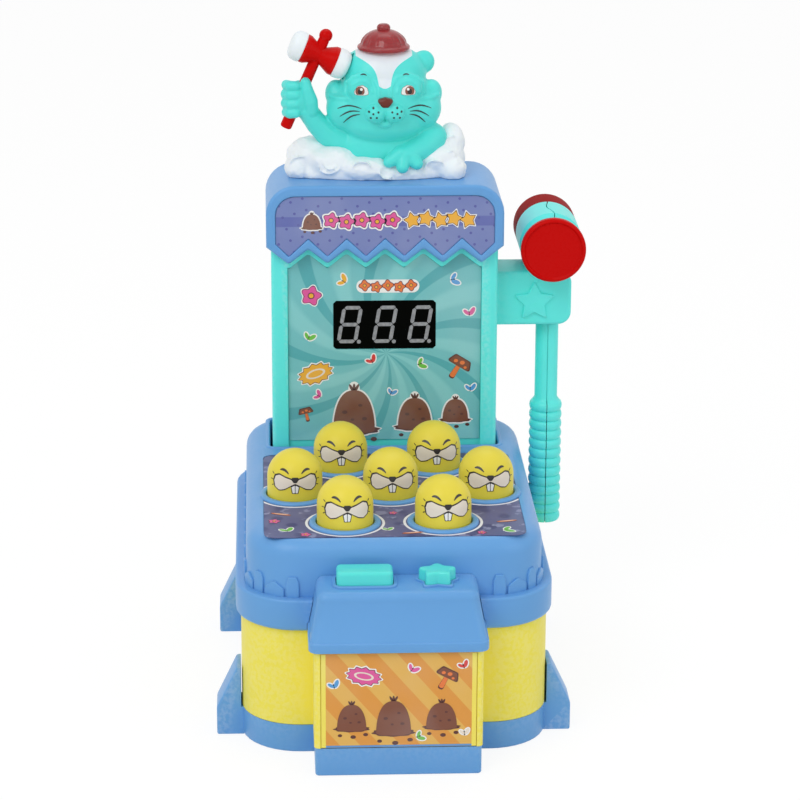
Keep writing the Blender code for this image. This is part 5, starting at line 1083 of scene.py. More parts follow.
@dataclass
class Deck:
    """Top cover of the body, with its rings, pickets and printed sheet."""

    rim_low: float = 77.0
    rim_top: float = 96.0
    rim_edge: float = 2.5
    rim_lip: float = 1.6
    top: float = 130.2
    fillet: float = 11.0
    wall: float = 2.2
    floor: float = 129.2
    underside: float = 127.0
    hole_radius: float = 17.2
    ring_radius: float = 21.0
    ring_top: float = 131.6
    socket: Plan = Plan(-71.6, 71.6, 52.8, 109.6, 3.1)
    lip_top: float = 130.9
    sheet: Plan = Plan(-76.0, 76.0, -109.5, 38.3, 7.0)
    sheet_top: float = 129.9
    picket_pitch: float = 22.4
    picket_start: float = 59.7
    picket_rise: float = 1.3

    def build(self) -> None:
        """Builds and dresses the cover, its pickets and the sheet."""
        fit(dress(self.cover(), Finish.BLUE), "body", "blue_plastic", "deck_cover")
        fit(dress(self.pickets(), Finish.BLUE), "body", "blue_plastic")
        fit(dress(self.label(), DeckSheet(centres=MOLE_PLACES)), "body", "deck_print", "deck_label")
        fit(self.garden(), "body", "deck_print")

    def cover(self) -> bpy.types.Object:
        """The cover with its rim, wide fillet, rings, tubes and the tower's socket."""
        outside = rise(RIM, self.rim_edge, self.rim_low, top=False)
        outside += rise(RIM, self.rim_lip, self.rim_top)
        outside += [(DECK.outline(), self.rim_top)] + rise(DECK, self.fillet, self.top, 6)
        cover = lofted("top_cover", outside)
        inside = [(BODY.inset(self.wall).outline(), self.rim_low - 3),
                  (BODY.inset(self.wall).outline(), self.rim_top - self.wall),
                  (DECK.inset(self.wall).outline(), self.rim_top - self.wall)]
        inside += rise(DECK.inset(self.wall), self.fillet - self.wall, self.underside)
        cut(cover, lofted("inside", inside))
        notch = ((51.8, 74), (51.8, 82.2), (50.8, 83.3), (46.8, 104.0), (46.8, 140))
        cut(cover, lofted("hood_notch", [(Plan(-half, half, -140, -117.02, 0.2).outline(2), height)
                                         for half, height in notch]))
        cut(cover, plate("sheet_seat", self.sheet.inset(-0.3).outline(6), self.floor, self.top + 3))
        lip = lofted("lip", [(self.socket.inset(-2.9).outline(), self.underside + 1)]
                     + rise(self.socket.inset(-2.9), 1.2, self.lip_top))
        walls = plate("socket_walls", self.socket.inset(-1.6).outline(), 101.5, self.underside + 1.1)
        unite(cover, walls, lip)
        unite(cover, gather("rings", [self.ring(x, y) for x, y in MOLE_PLACES]))
        holes = [bar("hole", (x, y, 120), (x, y, 140), self.hole_radius, 64) for x, y in MOLE_PLACES]
        tool = lofted("socket", [(self.socket.outline(), 103.7), (self.socket.outline(), self.lip_top - 0.8),
                                 (self.socket.inset(-0.8).outline(), self.lip_top + 0.01),
                                 (self.socket.inset(-0.8).outline(), 140)])
        cut(cover, gather("holes", holes), tool)
        return cover

    def ring(self, x: float, y: float) -> bpy.types.Object:
        """A raised ring with its guide tube below."""
        high, outer, inner = self.ring_top, self.ring_radius, self.hole_radius - 0.3
        profile = [(19.4, 101.7), (21.0, 101.7), (21.0, 128.0), (outer, 128.0)]
        profile += arc(outer - 1.5, high - 1.5, 1.5, 0, 90) + arc(inner + 1.1, high - 0.8, 0.8, 90, 180)
        return turned("ring", profile + [(inner, self.underside), (19.4, self.underside)], (x, y, 0),
                      steps=64)

    def wall_place(self, along: float) -> tuple[Vector, Vector]:
        """A place on the deck's wall.

        Args:
            along: Distance round the wall from the middle of its front, to the right.

        Returns:
            The place at height zero and the way out of the wall.
        """
        side = 1 if along >= 0 else -1
        left = abs(along)
        straight = DECK.right - DECK.corner
        bend = DECK.corner * math.pi / 2
        if left < straight:
            return Vector((side * left, DECK.low, 0)), Vector((0, -1, 0))
        left -= straight
        if left < bend:
            turn = left / DECK.corner
            out = Vector((side * math.sin(turn), -math.cos(turn), 0))
            return Vector((side * straight, DECK.low + DECK.corner, 0)) + out * DECK.corner, out
        left -= bend
        depth = DECK.high - DECK.low - 2 * DECK.corner
        if left < depth:
            return Vector((side * DECK.right, DECK.low + DECK.corner + left, 0)), Vector((side, 0, 0))
        left -= depth
        turn = left / DECK.corner
        out = Vector((side * math.cos(turn), math.sin(turn), 0))
        return Vector((side * straight, DECK.high - DECK.corner, 0)) + out * DECK.corner, out

    def on_wall(self, along: float, height: float, lift: float) -> Vector:
        """A point on the deck's wall."""
        spot, out = self.wall_place(along)
        return spot + out * lift + Vector((0, 0, height))

    def pickets(self) -> bpy.types.Object:
        """Tall round-topped and low pointed pickets that stand on the rim, in turns."""
        low = self.rim_top - 0.5
        tall = [(-3.65, low), (3.65, low), (3.65, 104.6), (2.3, 108.3), (-2.3, 108.3), (-3.65, 104.6)]
        short = [(-6.2, low), (6.2, low), (6.2, 100.7), (1.0, 104.5), (-1.0, 104.5), (-6.2, 100.7)]
        made = []
        for side in (-1, 1):
            for i in range(10):
                for outline, shift in ((tall, 0.0), (short, self.picket_pitch / 2)):
                    middle = side * (self.picket_start + i * self.picket_pitch + shift)
                    soft = rounded([(middle + u, v) for u, v in outline], 0.9, 3)
                    shape = patch(soft, Finish.BLUE, self.on_wall, -0.4, self.picket_rise + 0.4, 2)
                    made.append(shape)
        return soften(gather("pickets", made), 0.45, 2, 60)

    def label(self) -> bpy.types.Object:
        """The printed sheet between the rings."""
        sheet = plate("deck_sheet", self.sheet.outline(6), self.floor + 0.3, self.sheet_top)
        holes = [bar("hole", (x, y, 126), (x, y, 133), self.ring_radius + 0.15, 64) for x, y in MOLE_PLACES]
        return cut(sheet, gather("holes", holes))

    def garden(self) -> bpy.types.Object:
        """Small printed leaves, flowers and straws between the rings."""
        sheet = Print(lying_at(self.sheet_top))
        for x, y, size, turn in ((-62, -99, 6.2, 20), (63, -101, 6.6, -75), (-66, 2, 5.2, 60),
                                 (67, 3, 5.4, -60),
                                 (-4, -99, 4.6, 5), (0, 22, 5.0, 0), (40, -60, 4.0, 30),
                                 (-38, -58, 4.0, -30)):
            sheet.leaf(x, y, size, turn, Finish.INK_GREEN)
        for x, y, size in ((-70, -82, 3.4), (-52, -105, 3.0), (50, -105, 2.6), (4, 32, 2.6), (-69, 20, 2.8),
                           (69, 22, 2.8), (0, -70, 2.4)):
            sheet.petals(x, y, size, Finish.INK_PINK)
        for x, y, turn in ((66, -86, 12), (-66, -70, -20), (10, -104, 8), (-30, -9, 15), (30, -62, -10)):
            sheet.spot(x, y, 6.0, 1.0, Finish.INK_ORANGE, turn)
            sheet.layer(oval(x, y, 4.4, 0.35, 16, turn), Finish.INK_CREAM, 3)
        return sheet.finish("deck_garden")


@dataclass
class Print:
    """Motifs printed on one sheet, laid over each other in thin layers."""

    face: Surface
    made: list[bpy.types.Object] = field(default_factory=list)

    def layer(self, outline: Sequence[Point], ink: Finish, level: int) -> None:
        """Prints one patch; a higher level lies over a lower one."""
        self.made.append(patch(outline, ink, self.face, 0.02 + 0.045 * level, 0.04))

    def rimmed(self, shape: Callable[[float], list[Point]], *rims: tuple[float, Finish],
               level: int = 0) -> None:
        """Prints a shape several times, the widest first: each time with how much it grows and its ink."""
        for i, (grow, ink) in enumerate(rims):
            self.layer(shape(grow), ink, level + i)

    def spot(self, x: float, y: float, across: float, along: float, ink: Finish, turn: float = 0.0,
             level: int = 1) -> None:
        """Prints an oval with a dark rim."""
        self.rimmed(lambda grow: oval(x, y, across + grow, along + grow, 24, turn), (0.4, Finish.INK_SOIL),
                    (0.0, ink),
                    level=level)

    def petals(self, x: float, y: float, size: float, ink: Finish, lobes: int = 5, halo: float = 0.0) -> None:
        """Prints a round flower with a rim, and a halo where one is asked for.

        Args:
            x: Its place across.
            y: Its place along.
            size: Its radius.
            ink: Colour of its petals.
            lobes: Number of its petals.
            halo: Width of the white halo.
        """
        def shape(grow: float) -> list[Point]:
            """Its outline, made wider by some amount."""
            points = []
            for i in range(12 * lobes - 12 * lobes % 4):
                angle = math.tau * i / (12 * lobes - 12 * lobes % 4)
                reach = size * (0.84 + 0.16 * math.sin(lobes * angle + 1.2)) + grow
                points.append((x + reach * math.cos(angle), y + reach * math.sin(angle)))
            return points

        if halo:
            self.layer(shape(halo), Finish.INK_WHITE, 0)
        self.rimmed(shape, (0.5, Finish.INK_PLUM), (0.0, ink), level=1)
        self.layer(oval(x, y, size * 0.34, size * 0.34, 20), Finish.INK_PLUM, 3)
        self.layer(oval(x, y, size * 0.24, size * 0.24, 20), Finish.INK_AMBER, 4)

    def burst(self, x: float, y: float, size: Point, turn: float, ink: Finish, points: int = 12) -> None:
        """Prints a jagged burst with a white halo and a plain oval in its middle.

        Args:
            x: Its place across.
            y: Its place along.
            size: Its half width and half height.
            turn: Its turn in degrees.
            ink: Its colour.
            points: Number of its points.
        """
        tilt = math.radians(turn)

        def shape(grow: float) -> list[Point]:
            """Its outline, made wider by some amount."""
            spots = []
            for i in range(2 * points):
                angle = math.tau * i / (2 * points)
                reach = 0.78 if i % 2 else 1.0
                u = (size[0] * reach + grow) * math.cos(angle)
                v = (size[1] * reach + grow) * math.sin(angle)
                spots.append((x + u * math.cos(tilt) - v * math.sin(tilt),
                              y + u * math.sin(tilt) + v * math.cos(tilt)))
            return rounded(spots, 0.35, 1)

        self.rimmed(shape, (1.3, Finish.INK_WHITE), (0.45, Finish.INK_SOIL), (0.0, ink))
        self.layer(oval(x, y, size[0] * 0.55, size[1] * 0.45, 24, turn), Finish.INK_CREAM, 3)
        self.layer(oval(x, y, size[0] * 0.42, size[1] * 0.3, 24, turn), ink, 4)

    def leaf(self, x: float, y: float, size: float, turn: float, ink: Finish) -> None:
        """Prints a leaf pair with a white halo."""
        for lean, share in ((-38, 1.0), (38, 0.8)):
            angle = math.radians(90 + turn + lean)
            spot = (x + math.cos(angle) * size * 0.55, y + math.sin(angle) * size * 0.55)
            for level, (grow, colour) in enumerate(((0.75, Finish.INK_WHITE), (0.0, ink))):
                outline = oval(*spot, size * 0.5 * share + grow, size * 0.24 * share + grow, 24,
                               math.degrees(angle))
                self.layer(outline, colour, level)

    def heap(self, x: float, y: float, half: float, high: float, halo: float = 1.0) -> None:
        """Prints a heap of soil with a sprout, on a dark foot with pebbles.

        Args:
            x: Its place across.
            y: Its foot.
            half: Half its width.
            high: Its height.
            halo: Width of the white halo.
        """
        def foot(grow: float) -> list[Point]:
            """The uneven foot."""
            spots = []
            for i in range(48):
                angle = math.tau * i / 48
                reach = 1.0 + 0.06 * math.sin(9 * angle + x)
                spots.append((x + (half * 1.22 * reach + grow) * math.cos(angle),
                              y + (high * 0.13 * reach + grow) * math.sin(angle)))
            return spots

        def dome(grow: float) -> list[Point]:
            """The rounded heap."""
            spots = []
            for i in range(48):
                angle = math.tau * i / 48
                tall = high if math.sin(angle) > 0 else high * 0.1
                wide = abs(math.cos(angle)) ** 0.8 * (1 if math.cos(angle) > 0 else -1)
                spots.append((x + (half + grow) * wide, y + (tall + grow) * math.sin(angle)))
            return spots

        blades = [oval(x + u * half, y + high * 1.04, half * 0.07, high * 0.13, 12, turn)
                  for u, turn in ((-0.11, 28), (0.0, 0), (0.11, -28))]
        if halo:
            self.layer(foot(halo), Finish.INK_WHITE, 0)
            self.layer(dome(halo), Finish.INK_WHITE, 1)
            self.layer(oval(x, y + high * 1.04, half * 0.2 + halo, high * 0.14 + halo, 20),
                       Finish.INK_WHITE, 0)
        self.layer(foot(0.0), Finish.INK_SOIL, 2)
        for blade in blades:
            self.layer(blade, Finish.INK_SOIL, 2)
        self.layer(dome(0.0), Finish.INK_BROWN, 3)
        for u, v, size in ((-0.45, 0.45, 0.13), (0.3, 0.62, 0.10), (0.5, 0.28, 0.12), (-0.08, 0.26, 0.09)):
            self.layer(oval(x + u * half, y + v * high, size * half, size * half * 0.7, 16),
                       Finish.INK_SOIL, 4)
        for u, v, size in ((-0.8, -0.34, 0.10), (0.1, -0.42, 0.14), (0.95, -0.3, 0.12)):
            self.spot(x + u * half, y + v * high * 0.8, size * half, size * half * 0.6, Finish.INK_SOIL)

    def toadstool(self, x: float, y: float, size: float, turn: float) -> None:
        """Prints a brown toadstool, turned by some degrees."""
        tilt = math.radians(turn)

        def put(points: Sequence[Point], grow: float, radius: float) -> list[Point]:
            """Points of a unit shape, made larger, turned and set in place."""
            spots = [(u * (size + grow), v * (size + grow)) for u, v in points]
            return rounded([(x + u * math.cos(tilt) - v * math.sin(tilt),
                             y + u * math.sin(tilt) + v * math.cos(tilt))
                            for u, v in spots], radius, 3)

        stem = ((-0.22, -1.0), (0.22, -1.0), (0.16, 0.1), (-0.16, 0.1))
        cap = ((-0.95, 0.0), (0.95, 0.0), (0.62, 0.72), (-0.62, 0.72))
        for outline, ink, level in ((stem, Finish.INK_ORANGE, 1), (cap, Finish.INK_BROWN, 2)):
            self.layer(put(outline, 0.9, size * 0.2), Finish.INK_SOIL, level)
            self.layer(put(outline, 0.0, size * 0.25), ink, level + 1)
        for u, v, share in ((-0.4, 0.3, 0.17), (0.12, 0.42, 0.2), (0.52, 0.2, 0.13)):
            spot = (x + size * (u * math.cos(tilt) - v * math.sin(tilt)),
                    y + size * (u * math.sin(tilt) + v * math.cos(tilt)))
            self.layer(oval(*spot, size * share, size * share * 0.8, 16), Finish.INK_ORANGE, 4)

    def finish(self, name: str) -> bpy.types.Object:
        """Joins the motifs into one piece."""
        return gather(name, self.made)


@dataclass
class Hood:
    """Hood over the front module with its two buttons."""

    skirt: Plan = Plan(-51.5, 51.5, -158.0, -100.0, 6.0)
    crown: Plan = Plan(-46.5, 46.5, -147.5, -100.0, 6.0)
    low: float = 77.0
    skirt_top: float = 83.0
    top: float = 109.3
    fillet: float = 5.0
    lip_top: float = 110.6
    start: Plan = Plan(-34.9, -2.6, -137.4, -121.6, 3.2)
    start_top: float = 118.6
    star_x: float = 23.0
    star_y: float = -129.5
    star_radius: float = 11.6
    star_top: float = 117.6

    def build(self) -> None:
        """Builds and dresses the hood and the buttons."""
        fit(dress(self.hood(), Finish.BLUE), "body", "blue_plastic", "front_hood")
        fit(dress(self.start_button(), Finish.TEAL), "start_button", "teal_plastic", "start_button")
        fit(dress(self.star_button(), Finish.TEAL), "star_button", "teal_plastic", "star_button")

    def star_outline(self, grow: float) -> list[Point]:
        """Outline of the star button, its hole or its lip."""
        points = star(self.star_radius + 1.0 + grow, 0.60, self.star_x, self.star_y, 0.86)
        return rounded(points, 2.4, 4)

    def hood(self) -> bpy.types.Object:
        """The hood with a rounded crown and a lip round each opening."""
        sections = rise(self.skirt, 0.8, self.low, 2, top=False) + rise(self.skirt, 1.0, self.skirt_top, 3)
        sections += [(self.crown.outline(), self.top - self.fillet - 0.6)] + rise(self.crown, self.fillet,
                                                                                  self.top, 6)
        hood = lofted("hood", sections)
        lips = lofted("start_lip", rise(self.start.inset(-2.4), 0.7, self.lip_top, 3))
        lips_low = plate("start_lip_foot", self.start.inset(-2.4).outline(), self.top - 1,
                         self.lip_top - 0.69)
        star_lip = lofted("star_lip", [(self.star_outline(2.4), self.top - 1),
                                       (self.star_outline(2.4), self.lip_top - 0.6),
                                       (self.star_outline(2.2), self.lip_top - 0.2),
                                       (self.star_outline(1.8), self.lip_top)])
        unite(hood, unite(lips_low, lips), star_lip)
        inner = [(Plan(-46.3, 46.3, -152.8, -100, 4).outline(), self.low - 3),
                 (Plan(-46.3, 46.3, -152.8, -100, 4).outline(), self.skirt_top),
                 (self.crown.inset(2.2).outline(), self.top - self.fillet),
                 (self.crown.inset(4.5).outline(), self.top - 2.2)]
        cut(hood, lofted("inside", inner))
        cut(hood, plate("start_hole", self.start.inset(-0.5).outline(), 90, 120),
            plate("star_hole", self.star_outline(0.5), 90, 120),
            block("back", (-60, -117.3, 70), (60, -90, 120)))
        return hood

    def start_button(self) -> bpy.types.Object:
        """The wide button, slightly crowned, with a flange under the hood."""
        flange = self.start.inset(-1.2)
        sections = [(flange.outline(), 105.4), (flange.outline(), 106.8), (self.start.outline(), 106.8)]
        sections += rise(self.start, 2.0, self.start_top - 0.3, 5)
        sections.append((self.start.inset(4.5).outline(), self.start_top))
        return lofted("start_key", sections)

    def star_button(self) -> bpy.types.Object:
        """The star-shaped button with a softly rounded top."""
        sections = [(self.star_outline(1.2), 105.4), (self.star_outline(1.2), 106.8),
                    (self.star_outline(0), 106.8)]
        for inset, drop in ((0.0, 2.0), (0.15, 1.3), (0.5, 0.7), (1.1, 0.3), (2.0, 0.1), (4.0, 0.0)):
            sections.append((self.star_outline(-inset), self.star_top - drop))
        return lofted("star_key", sections)


@dataclass
class Moles:
    """The seven moles with their painted faces."""

    radius: float = 16.5
    top: float = 158.7
    wall: float = 2.0
    flange_radius: float = 18.9
    floor: float = 124.7
    flange_top: float = 126.7
    light_radius: float = 5.2
    nose_height: float = 144.7
    turns: tuple[float, ...] = (3.0, 6.5, 0.0, 1.5, 5.0, 0.5, 4.0)

    @property
    def dome_foot(self) -> float:
        """Height where the dome begins."""
        return self.top - self.radius

    def build(self) -> None:
        """Builds one mole and one face and copies them to their places."""
        first = dress(self.mole(), Finish.MOLE, 50)
        face = self.face()
        for number, (x, y) in enumerate(MOLE_PLACES, 1):
            fit(twin(first, f"mole_cap_{number}", (x, y, 0)), f"mole_{number}", "mole_plastic",
                f"mole_{number}")
            drawn = twin(face, f"mole_face_{number}", (0, 0, 0))
            turn = Matrix.Rotation(math.radians(self.turns[number - 1]), 4, "Z")
            drawn.data.transform(Matrix.Translation(Vector((x, y, 0)) * MM) @ turn)
            fit(drawn, f"mole_{number}", "mole_plastic")
        bpy.data.objects.remove(first)
        bpy.data.objects.remove(face)

    def mole(self) -> bpy.types.Object:
        """A domed shell over its flange, with its stem."""
        inner = self.radius - self.wall
        profile = [(self.light_radius, self.floor), (self.flange_radius, self.floor),
                   (self.flange_radius, self.flange_top), (self.radius, self.flange_top)]
        profile += arc(0, self.dome_foot, self.radius, 0, 90, 14)
        profile += arc(0, self.dome_foot, inner, 90, 0, 10)
        profile += [(inner, self.flange_top), (self.light_radius, self.flange_top)]
        shell = turned("mole_shell", profile, steps=64)
        return unite(shell, bar("stem", (12.5, 0, 115.6), (12.5, 0, 125.7), 1.8, 20, 0.4))

    def on_front(self, across: float, height: float, lift: float) -> Vector:
        """A point on the front of a mole that stands at the origin."""
        radius = self.radius + lift
        over = max(height - self.dome_foot, 0.0)
        depth = math.sqrt(max(radius ** 2 - across ** 2 - over ** 2, 0.01))
        return Vector((across, -depth, height))

    def face(self) -> bpy.types.Object:
        """Cheeks, teeth, nose, closed eyes and whiskers, printed on the front of a mole."""
        made = []
        level = self.nose_height

        def add(half: Sequence[Point], radius: float, ink: Finish, lift: float) -> None:
            """Prints a patch that is the same on both sides, from its right half."""
            outline = list(half) + [(-u, v) for u, v in half[::-1]]
            outline = rounded([(u, level + v) for u, v in outline], radius, 3)
            made.append(patch(outline, ink, self.on_front, lift, 0.04, 3))

        def line(start: Point, bend: Point, end: Point, width: float) -> None:
            """Prints a line on both sides."""
            for side in (-1, 1):
                path = tuple((side * u, level + v) for u, v in (start, bend, end))
                made.append(strip(path, width, Finish.INK_DARK, self.on_front, 0.05, 0.04, 10))

        add(((0.0, -2.4), (2.7, -4.2), (1.9, -8.5)), 0.5, Finish.INK_DARK, 0.03)
        for side in (-1, 1):
            tooth = [(side * u, level + v) for u, v in ((0.2, -3.2), (2.2, -4.4), (1.5, -8.1), (0.2, -8.1))]
            made.append(patch(rounded(tooth, 0.4, 3), Finish.INK_WHITE, self.on_front, 0.08, 0.04, 2))
        rim = ((0.0, -2.7), (2.4, -3.9), (6.4, -6.5), (9.7, -7.3), (12.3, -5.3), (13.0, -1.3), (12.0, 2.2),
               (9.3, 3.3), (5.5, 1.9), (1.8, 0.8))
        fill = ((0.0, -2.1), (2.5, -3.3), (6.5, -5.8), (9.6, -6.6), (11.8, -4.9), (12.3, -1.3), (11.4, 1.6),
                (9.1, 2.6), (5.6, 1.2), (1.9, 0.1))
        add(rim, 1.4, Finish.INK_DARK, 0.13)
        add(fill, 1.4, Finish.INK_CREAM, 0.30)
        add(((0.8, -1.7), (2.4, 0.4), (1.8, 1.6)), 0.9, Finish.INK_DARK, 0.38)
        line((8.7, 5.2), (6.2, 6.6), (3.8, 3.4), 1.4)
        for start, end in (((12.2, 2.1), (13.2, 3.2)), ((12.9, -0.9), (14.3, -1.0)),
                           ((12.5, -4.0), (13.7, -4.9))):
            line(start, ((start[0] + end[0]) / 2, (start[1] + end[1]) / 2), end, 0.5)
        return gather("mole_face", made)


@dataclass
class Tower:
    """Front of the tower, with its printed sheet and the score display."""

    half_width: float = 70.0
    front: float = 54.4
    split: float = 82.0
    low: float = 104.0
    top: float = 296.5
    corner: float = 15.5
    edge: float = 2.4
    column: float = 10.0
    recess_back: float = 57.4
    bead_low: float = 245.6
    bead_high: float = 254.9
    sheet_face: float = 56.7
    display_face: float = 57.1
    digit_places: tuple[float, ...] = (-21.6, 0.2, 22.1)
    digit_low: float = 196.6
    digit_height: float = 24.0
    digit_width: float = 10.6
    digit_slant: float = 0.17
    garland: float = 233.3
    bar_width: float = 2.3

    def build(self) -> None:
        """Builds and dresses the front shell, the printed motifs and the digits."""
        fit(dress(self.shell(), Finish.TURQUOISE), "body", "turquoise_plastic", "tower_front_shell")
        fit(self.motifs(), "body", "tower_print")
        fit(self.digits(), "body", "black_plastic")

    def shell(self) -> bpy.types.Object:
        """The front shell: two columns, the recess of the sheet and the zigzag bead above it."""
        sections = []
        for step in range(5):
            turn = math.pi / 2 * step / 4
            inset = self.edge * (1 - math.sin(turn))
            depth = self.front + self.edge * (1 - math.cos(turn))
            sections.append((front_arch(self.half_width - inset, self.low, self.top - inset,
                                        self.corner - inset), depth))
        sections.append((front_arch(self.half_width, self.low, self.top, self.corner), self.split))
        shell = lofted("tower_front", sections, Axis.BACK)
        room = front_arch(self.half_width - 2.2, self.low + 2.2, self.top - 2.2, self.corner - 2.2)
        cut(shell, plate("room", room, self.recess_back + 2.2, self.split + 3, Axis.BACK))
        inner = self.half_width - self.column
        outline = [(-inner, self.low + 2.2), (inner, self.low + 2.2), (inner, self.bead_low)]
        outline += zigzag(self.bead_low, self.bead_high, 2.6)[::-1] + [(-inner, self.bead_low)]
        recess = plate("recess", outline, self.front - 3, self.recess_back, Axis.BACK)
        cut(shell, recess)
        cut(shell, block("display_gate", (-31.9, 50, 192.7), (31.9, 62, 224.1)))
        return soften(shell, 1.1, 3, 50, lambda spot: spot.y < self.front + 0.05 and abs(spot.x) < inner
                      + 0.1)

    def motifs(self) -> bpy.types.Object:
        """Soil heaps, flowers, leaves, a burst and a garland on the tower's sheet."""
        sheet = Print(flat_at(self.sheet_face))
        for x, z, half, high in ((-19.0, 140.0, 13.0, 26.0), (19.0, 141.5, 10.5, 19.0),
                                 (44.5, 146.0, 8.0, 13.5)):
            sheet.heap(x, z, half, high)
        sheet.petals(-45.5, 227.5, 6.2, Finish.INK_PINK, 5, 1.2)
        sheet.burst(-43.0, 177.0, (11.5, 6.5), 20.0, Finish.INK_AMBER)
        sheet.toadstool(46.0, 181.0, 8.0, -32.0)
        sheet.toadstool(-49.0, 151.0, 4.6, 14.0)
        for x, z, size, turn, ink in ((-24.0, 236.0, 5.6, 60, Finish.INK_AMBER),
                                      (41.0, 236.5, 5.8, -70, Finish.INK_BLUE),
                                      (53.0, 214.0, 5.6, 10, Finish.INK_PINK),
                                      (-47.5, 199.0, 5.4, -20, Finish.INK_GREEN),
                                      (-7.0, 184.0, 5.2, 35, Finish.INK_RED),
                                      (21.0, 182.0, 5.4, -65, Finish.INK_GREEN),
                                      (54.0, 165.0, 5.0, 5, Finish.INK_BLUE),
                                      (-40.0, 162.0, 4.6, 60, Finish.INK_PINK),
                                      (4.0, 163.0, 4.4, -20, Finish.INK_BLUE)):
            sheet.leaf(x, z, size, turn, ink)
        halo = Plan(-17.5, 21.5, self.garland - 4.2, self.garland + 4.2, 4.0)
        sheet.layer(halo.outline(7), Finish.INK_WHITE, 0)
        for i in range(5):
            x = -12.4 + 7.2 * i
            sheet.petals(x, self.garland + 0.5 * (-1) ** i, 3.4, Finish.INK_ORANGE, 4 + i % 2)
        return sheet.finish("tower_motifs")

    def digits(self) -> bpy.types.Object:
        """Three digits of seven unlit bars each, with their points."""
        face = flat_at(self.display_face)
        half, tall, wide = self.bar_width / 2, self.digit_height, self.digit_width
        made = []

        def add(middle: float, corners: Sequence[Point]) -> None:
            """One bar of a digit, slanted."""
            spots = [(middle + u + (v - tall / 2) * self.digit_slant, self.digit_low + v) for u, v in corners]
            made.append(patch(rounded(spots, 0.3, 1), Finish.SEGMENT, face, 0.02, 0.12))

        for middle in self.digit_places:
            for level in (half, tall / 2, tall - half):
                reach = wide / 2 - half - 0.25
                add(middle, [(-reach - half, level), (-reach, level - half), (reach, level - half),
                             (reach + half, level), (reach, level + half), (-reach, level + half)])
            for side in (-1, 1):
                for low, high in ((half, tall / 2), (tall / 2, tall - half)):
                    x = side * (wide / 2 - 0.1)
                    start, end = low + 0.35, high - 0.35
                    add(middle, [(x, start), (x + half, start + half), (x + half, end - half), (x, end),
                                 (x - half, end - half), (x - half, start + half)])
            made.append(patch(oval(middle + 7.6 - 2.0, self.digit_low + 0.9, 1.25, 1.25, 16),
                              Finish.SEGMENT, face,
                              0.02, 0.12))
        return gather("score_digits", made)


def front_arch(half_width: float, low: float, top: float, corner: float, steps: int = 8) -> list[Point]:
    """Front view with round upper corners and square lower ones."""
    upper = Plan(-half_width, half_width, low, top, corner).outline(steps)[steps + 1: 3 * (steps + 1)]
    return [(-half_width, low), (half_width, low)] + upper


def zigzag(low: float, high: float, radius: float, pitch: float = 23.6, count: int = 6) -> list[Point]:
    """The zigzag edge from left to right with soft tips, low points first."""
    first = -(count - 1) / 2
    spots = []
    for i in range(count):
        spots.append(((first + i) * pitch, low))
        if i < count - 1:
            spots.append(((first + i + 0.5) * pitch, high))
    closed = [(spots[0][0] - 20, high)] + spots + [(spots[-1][0] + 20, high), (0, high + 60)]
    return rounded(closed, radius, 3)[4:4 + 4 * len(spots)]


@dataclass
class Marquee:
    """Cap on the tower with its zigzag frame and printed sheet."""

    half_width: float = 73.0
    front: float = 48.0
    rear: float = 114.0
    plate_back: float = 54.1
    side_low: float = 260.5
    top: float = 299.0
    corner: float = 18.0
    tooth_low: float = 249.8
    tooth_high: float = 259.1
    bead: float = 1.9
    lip: float = 0.9
    row: float = 276.9
    sheet_half_width: float = 67.3
    sheet_face: float = 49.1

    def build(self) -> None:
        """Builds and dresses the cap and the motifs on its sheet."""
        fit(dress(self.cap(), Finish.BLUE), "body", "blue_plastic", "marquee_cap")
        fit(self.banner(), "body", "marquee_print")

    def outline(self, half_width: float, side_low: float, tips: Point, top: float, corner: float, soft: float
                ) -> list[Point]:
        """Front view: zigzag below, between its two heights, and round corners above."""
        arch = front_arch(half_width, side_low, top, corner)[2:]
        return [(-half_width, side_low), *zigzag(*tips, soft), (half_width, side_low), *arch]

    def cap(self) -> bpy.types.Object:
        """The cap, its beaded frame and the recess of the sheet."""
        outline = self.outline(self.half_width, self.side_low, (self.tooth_low, self.tooth_high), self.top,
                               self.corner, 2.4)
        cap = plate("marquee", outline, self.front, self.plate_back, Axis.BACK)
        soften(cap, self.bead, 5, 40, lambda spot: spot.y < self.front + 0.05)
        recess = self.outline(self.sheet_half_width, 262.6, (254.6, 265.6), 292.5, 12.0, 1.2)
        cut(cap, plate("recess", recess, self.front - 3, 49.8, Axis.BACK))
        soften(cap, self.lip, 3, 50, lambda spot: spot.y < self.front + 0.02)
        crown = front_arch(self.half_width, self.side_low, self.top, self.corner)
        slim = front_arch(self.half_width - 1.5, self.side_low, self.top - 1.5, self.corner - 1.5)
        back = lofted("crown", [(crown, 52.0), (crown, self.rear - 1.5), (slim, self.rear)], Axis.BACK)
        room = front_arch(70.3, self.side_low - 3, 296.8, 15.8)
        cut(back, plate("room", room, self.plate_back, self.rear - 2.2, Axis.BACK))
        return unite(cap, back)

    def banner(self) -> bpy.types.Object:
        """A soil heap, a row of pink blossoms and a row of amber stars on the sheet."""
        sheet = Print(flat_at(self.sheet_face))
        sheet.heap(-45.0, 272.6, 5.4, 8.6, 0.8)
        for i in range(5):
            sheet.petals(-33.2 + 9.4 * i, self.row + 0.5 * (-1) ** i, 4.7, Finish.INK_PINK, 5, 1.5)
        for i in range(5):
            x, z, turn = 16.4 + 8.6 * i, self.row + 0.7 - 0.5 * (-1) ** i, 14 * (-1) ** i
            sheet.rimmed(lambda grow: rounded(star(5.0 + grow, 0.56, x, z, 1.0, turn), 0.5, 3),
                         (1.7, Finish.INK_WHITE),
                         (0.7, Finish.INK_SOIL), (0.0, Finish.INK_AMBER))
        return sheet.finish("marquee_banner")


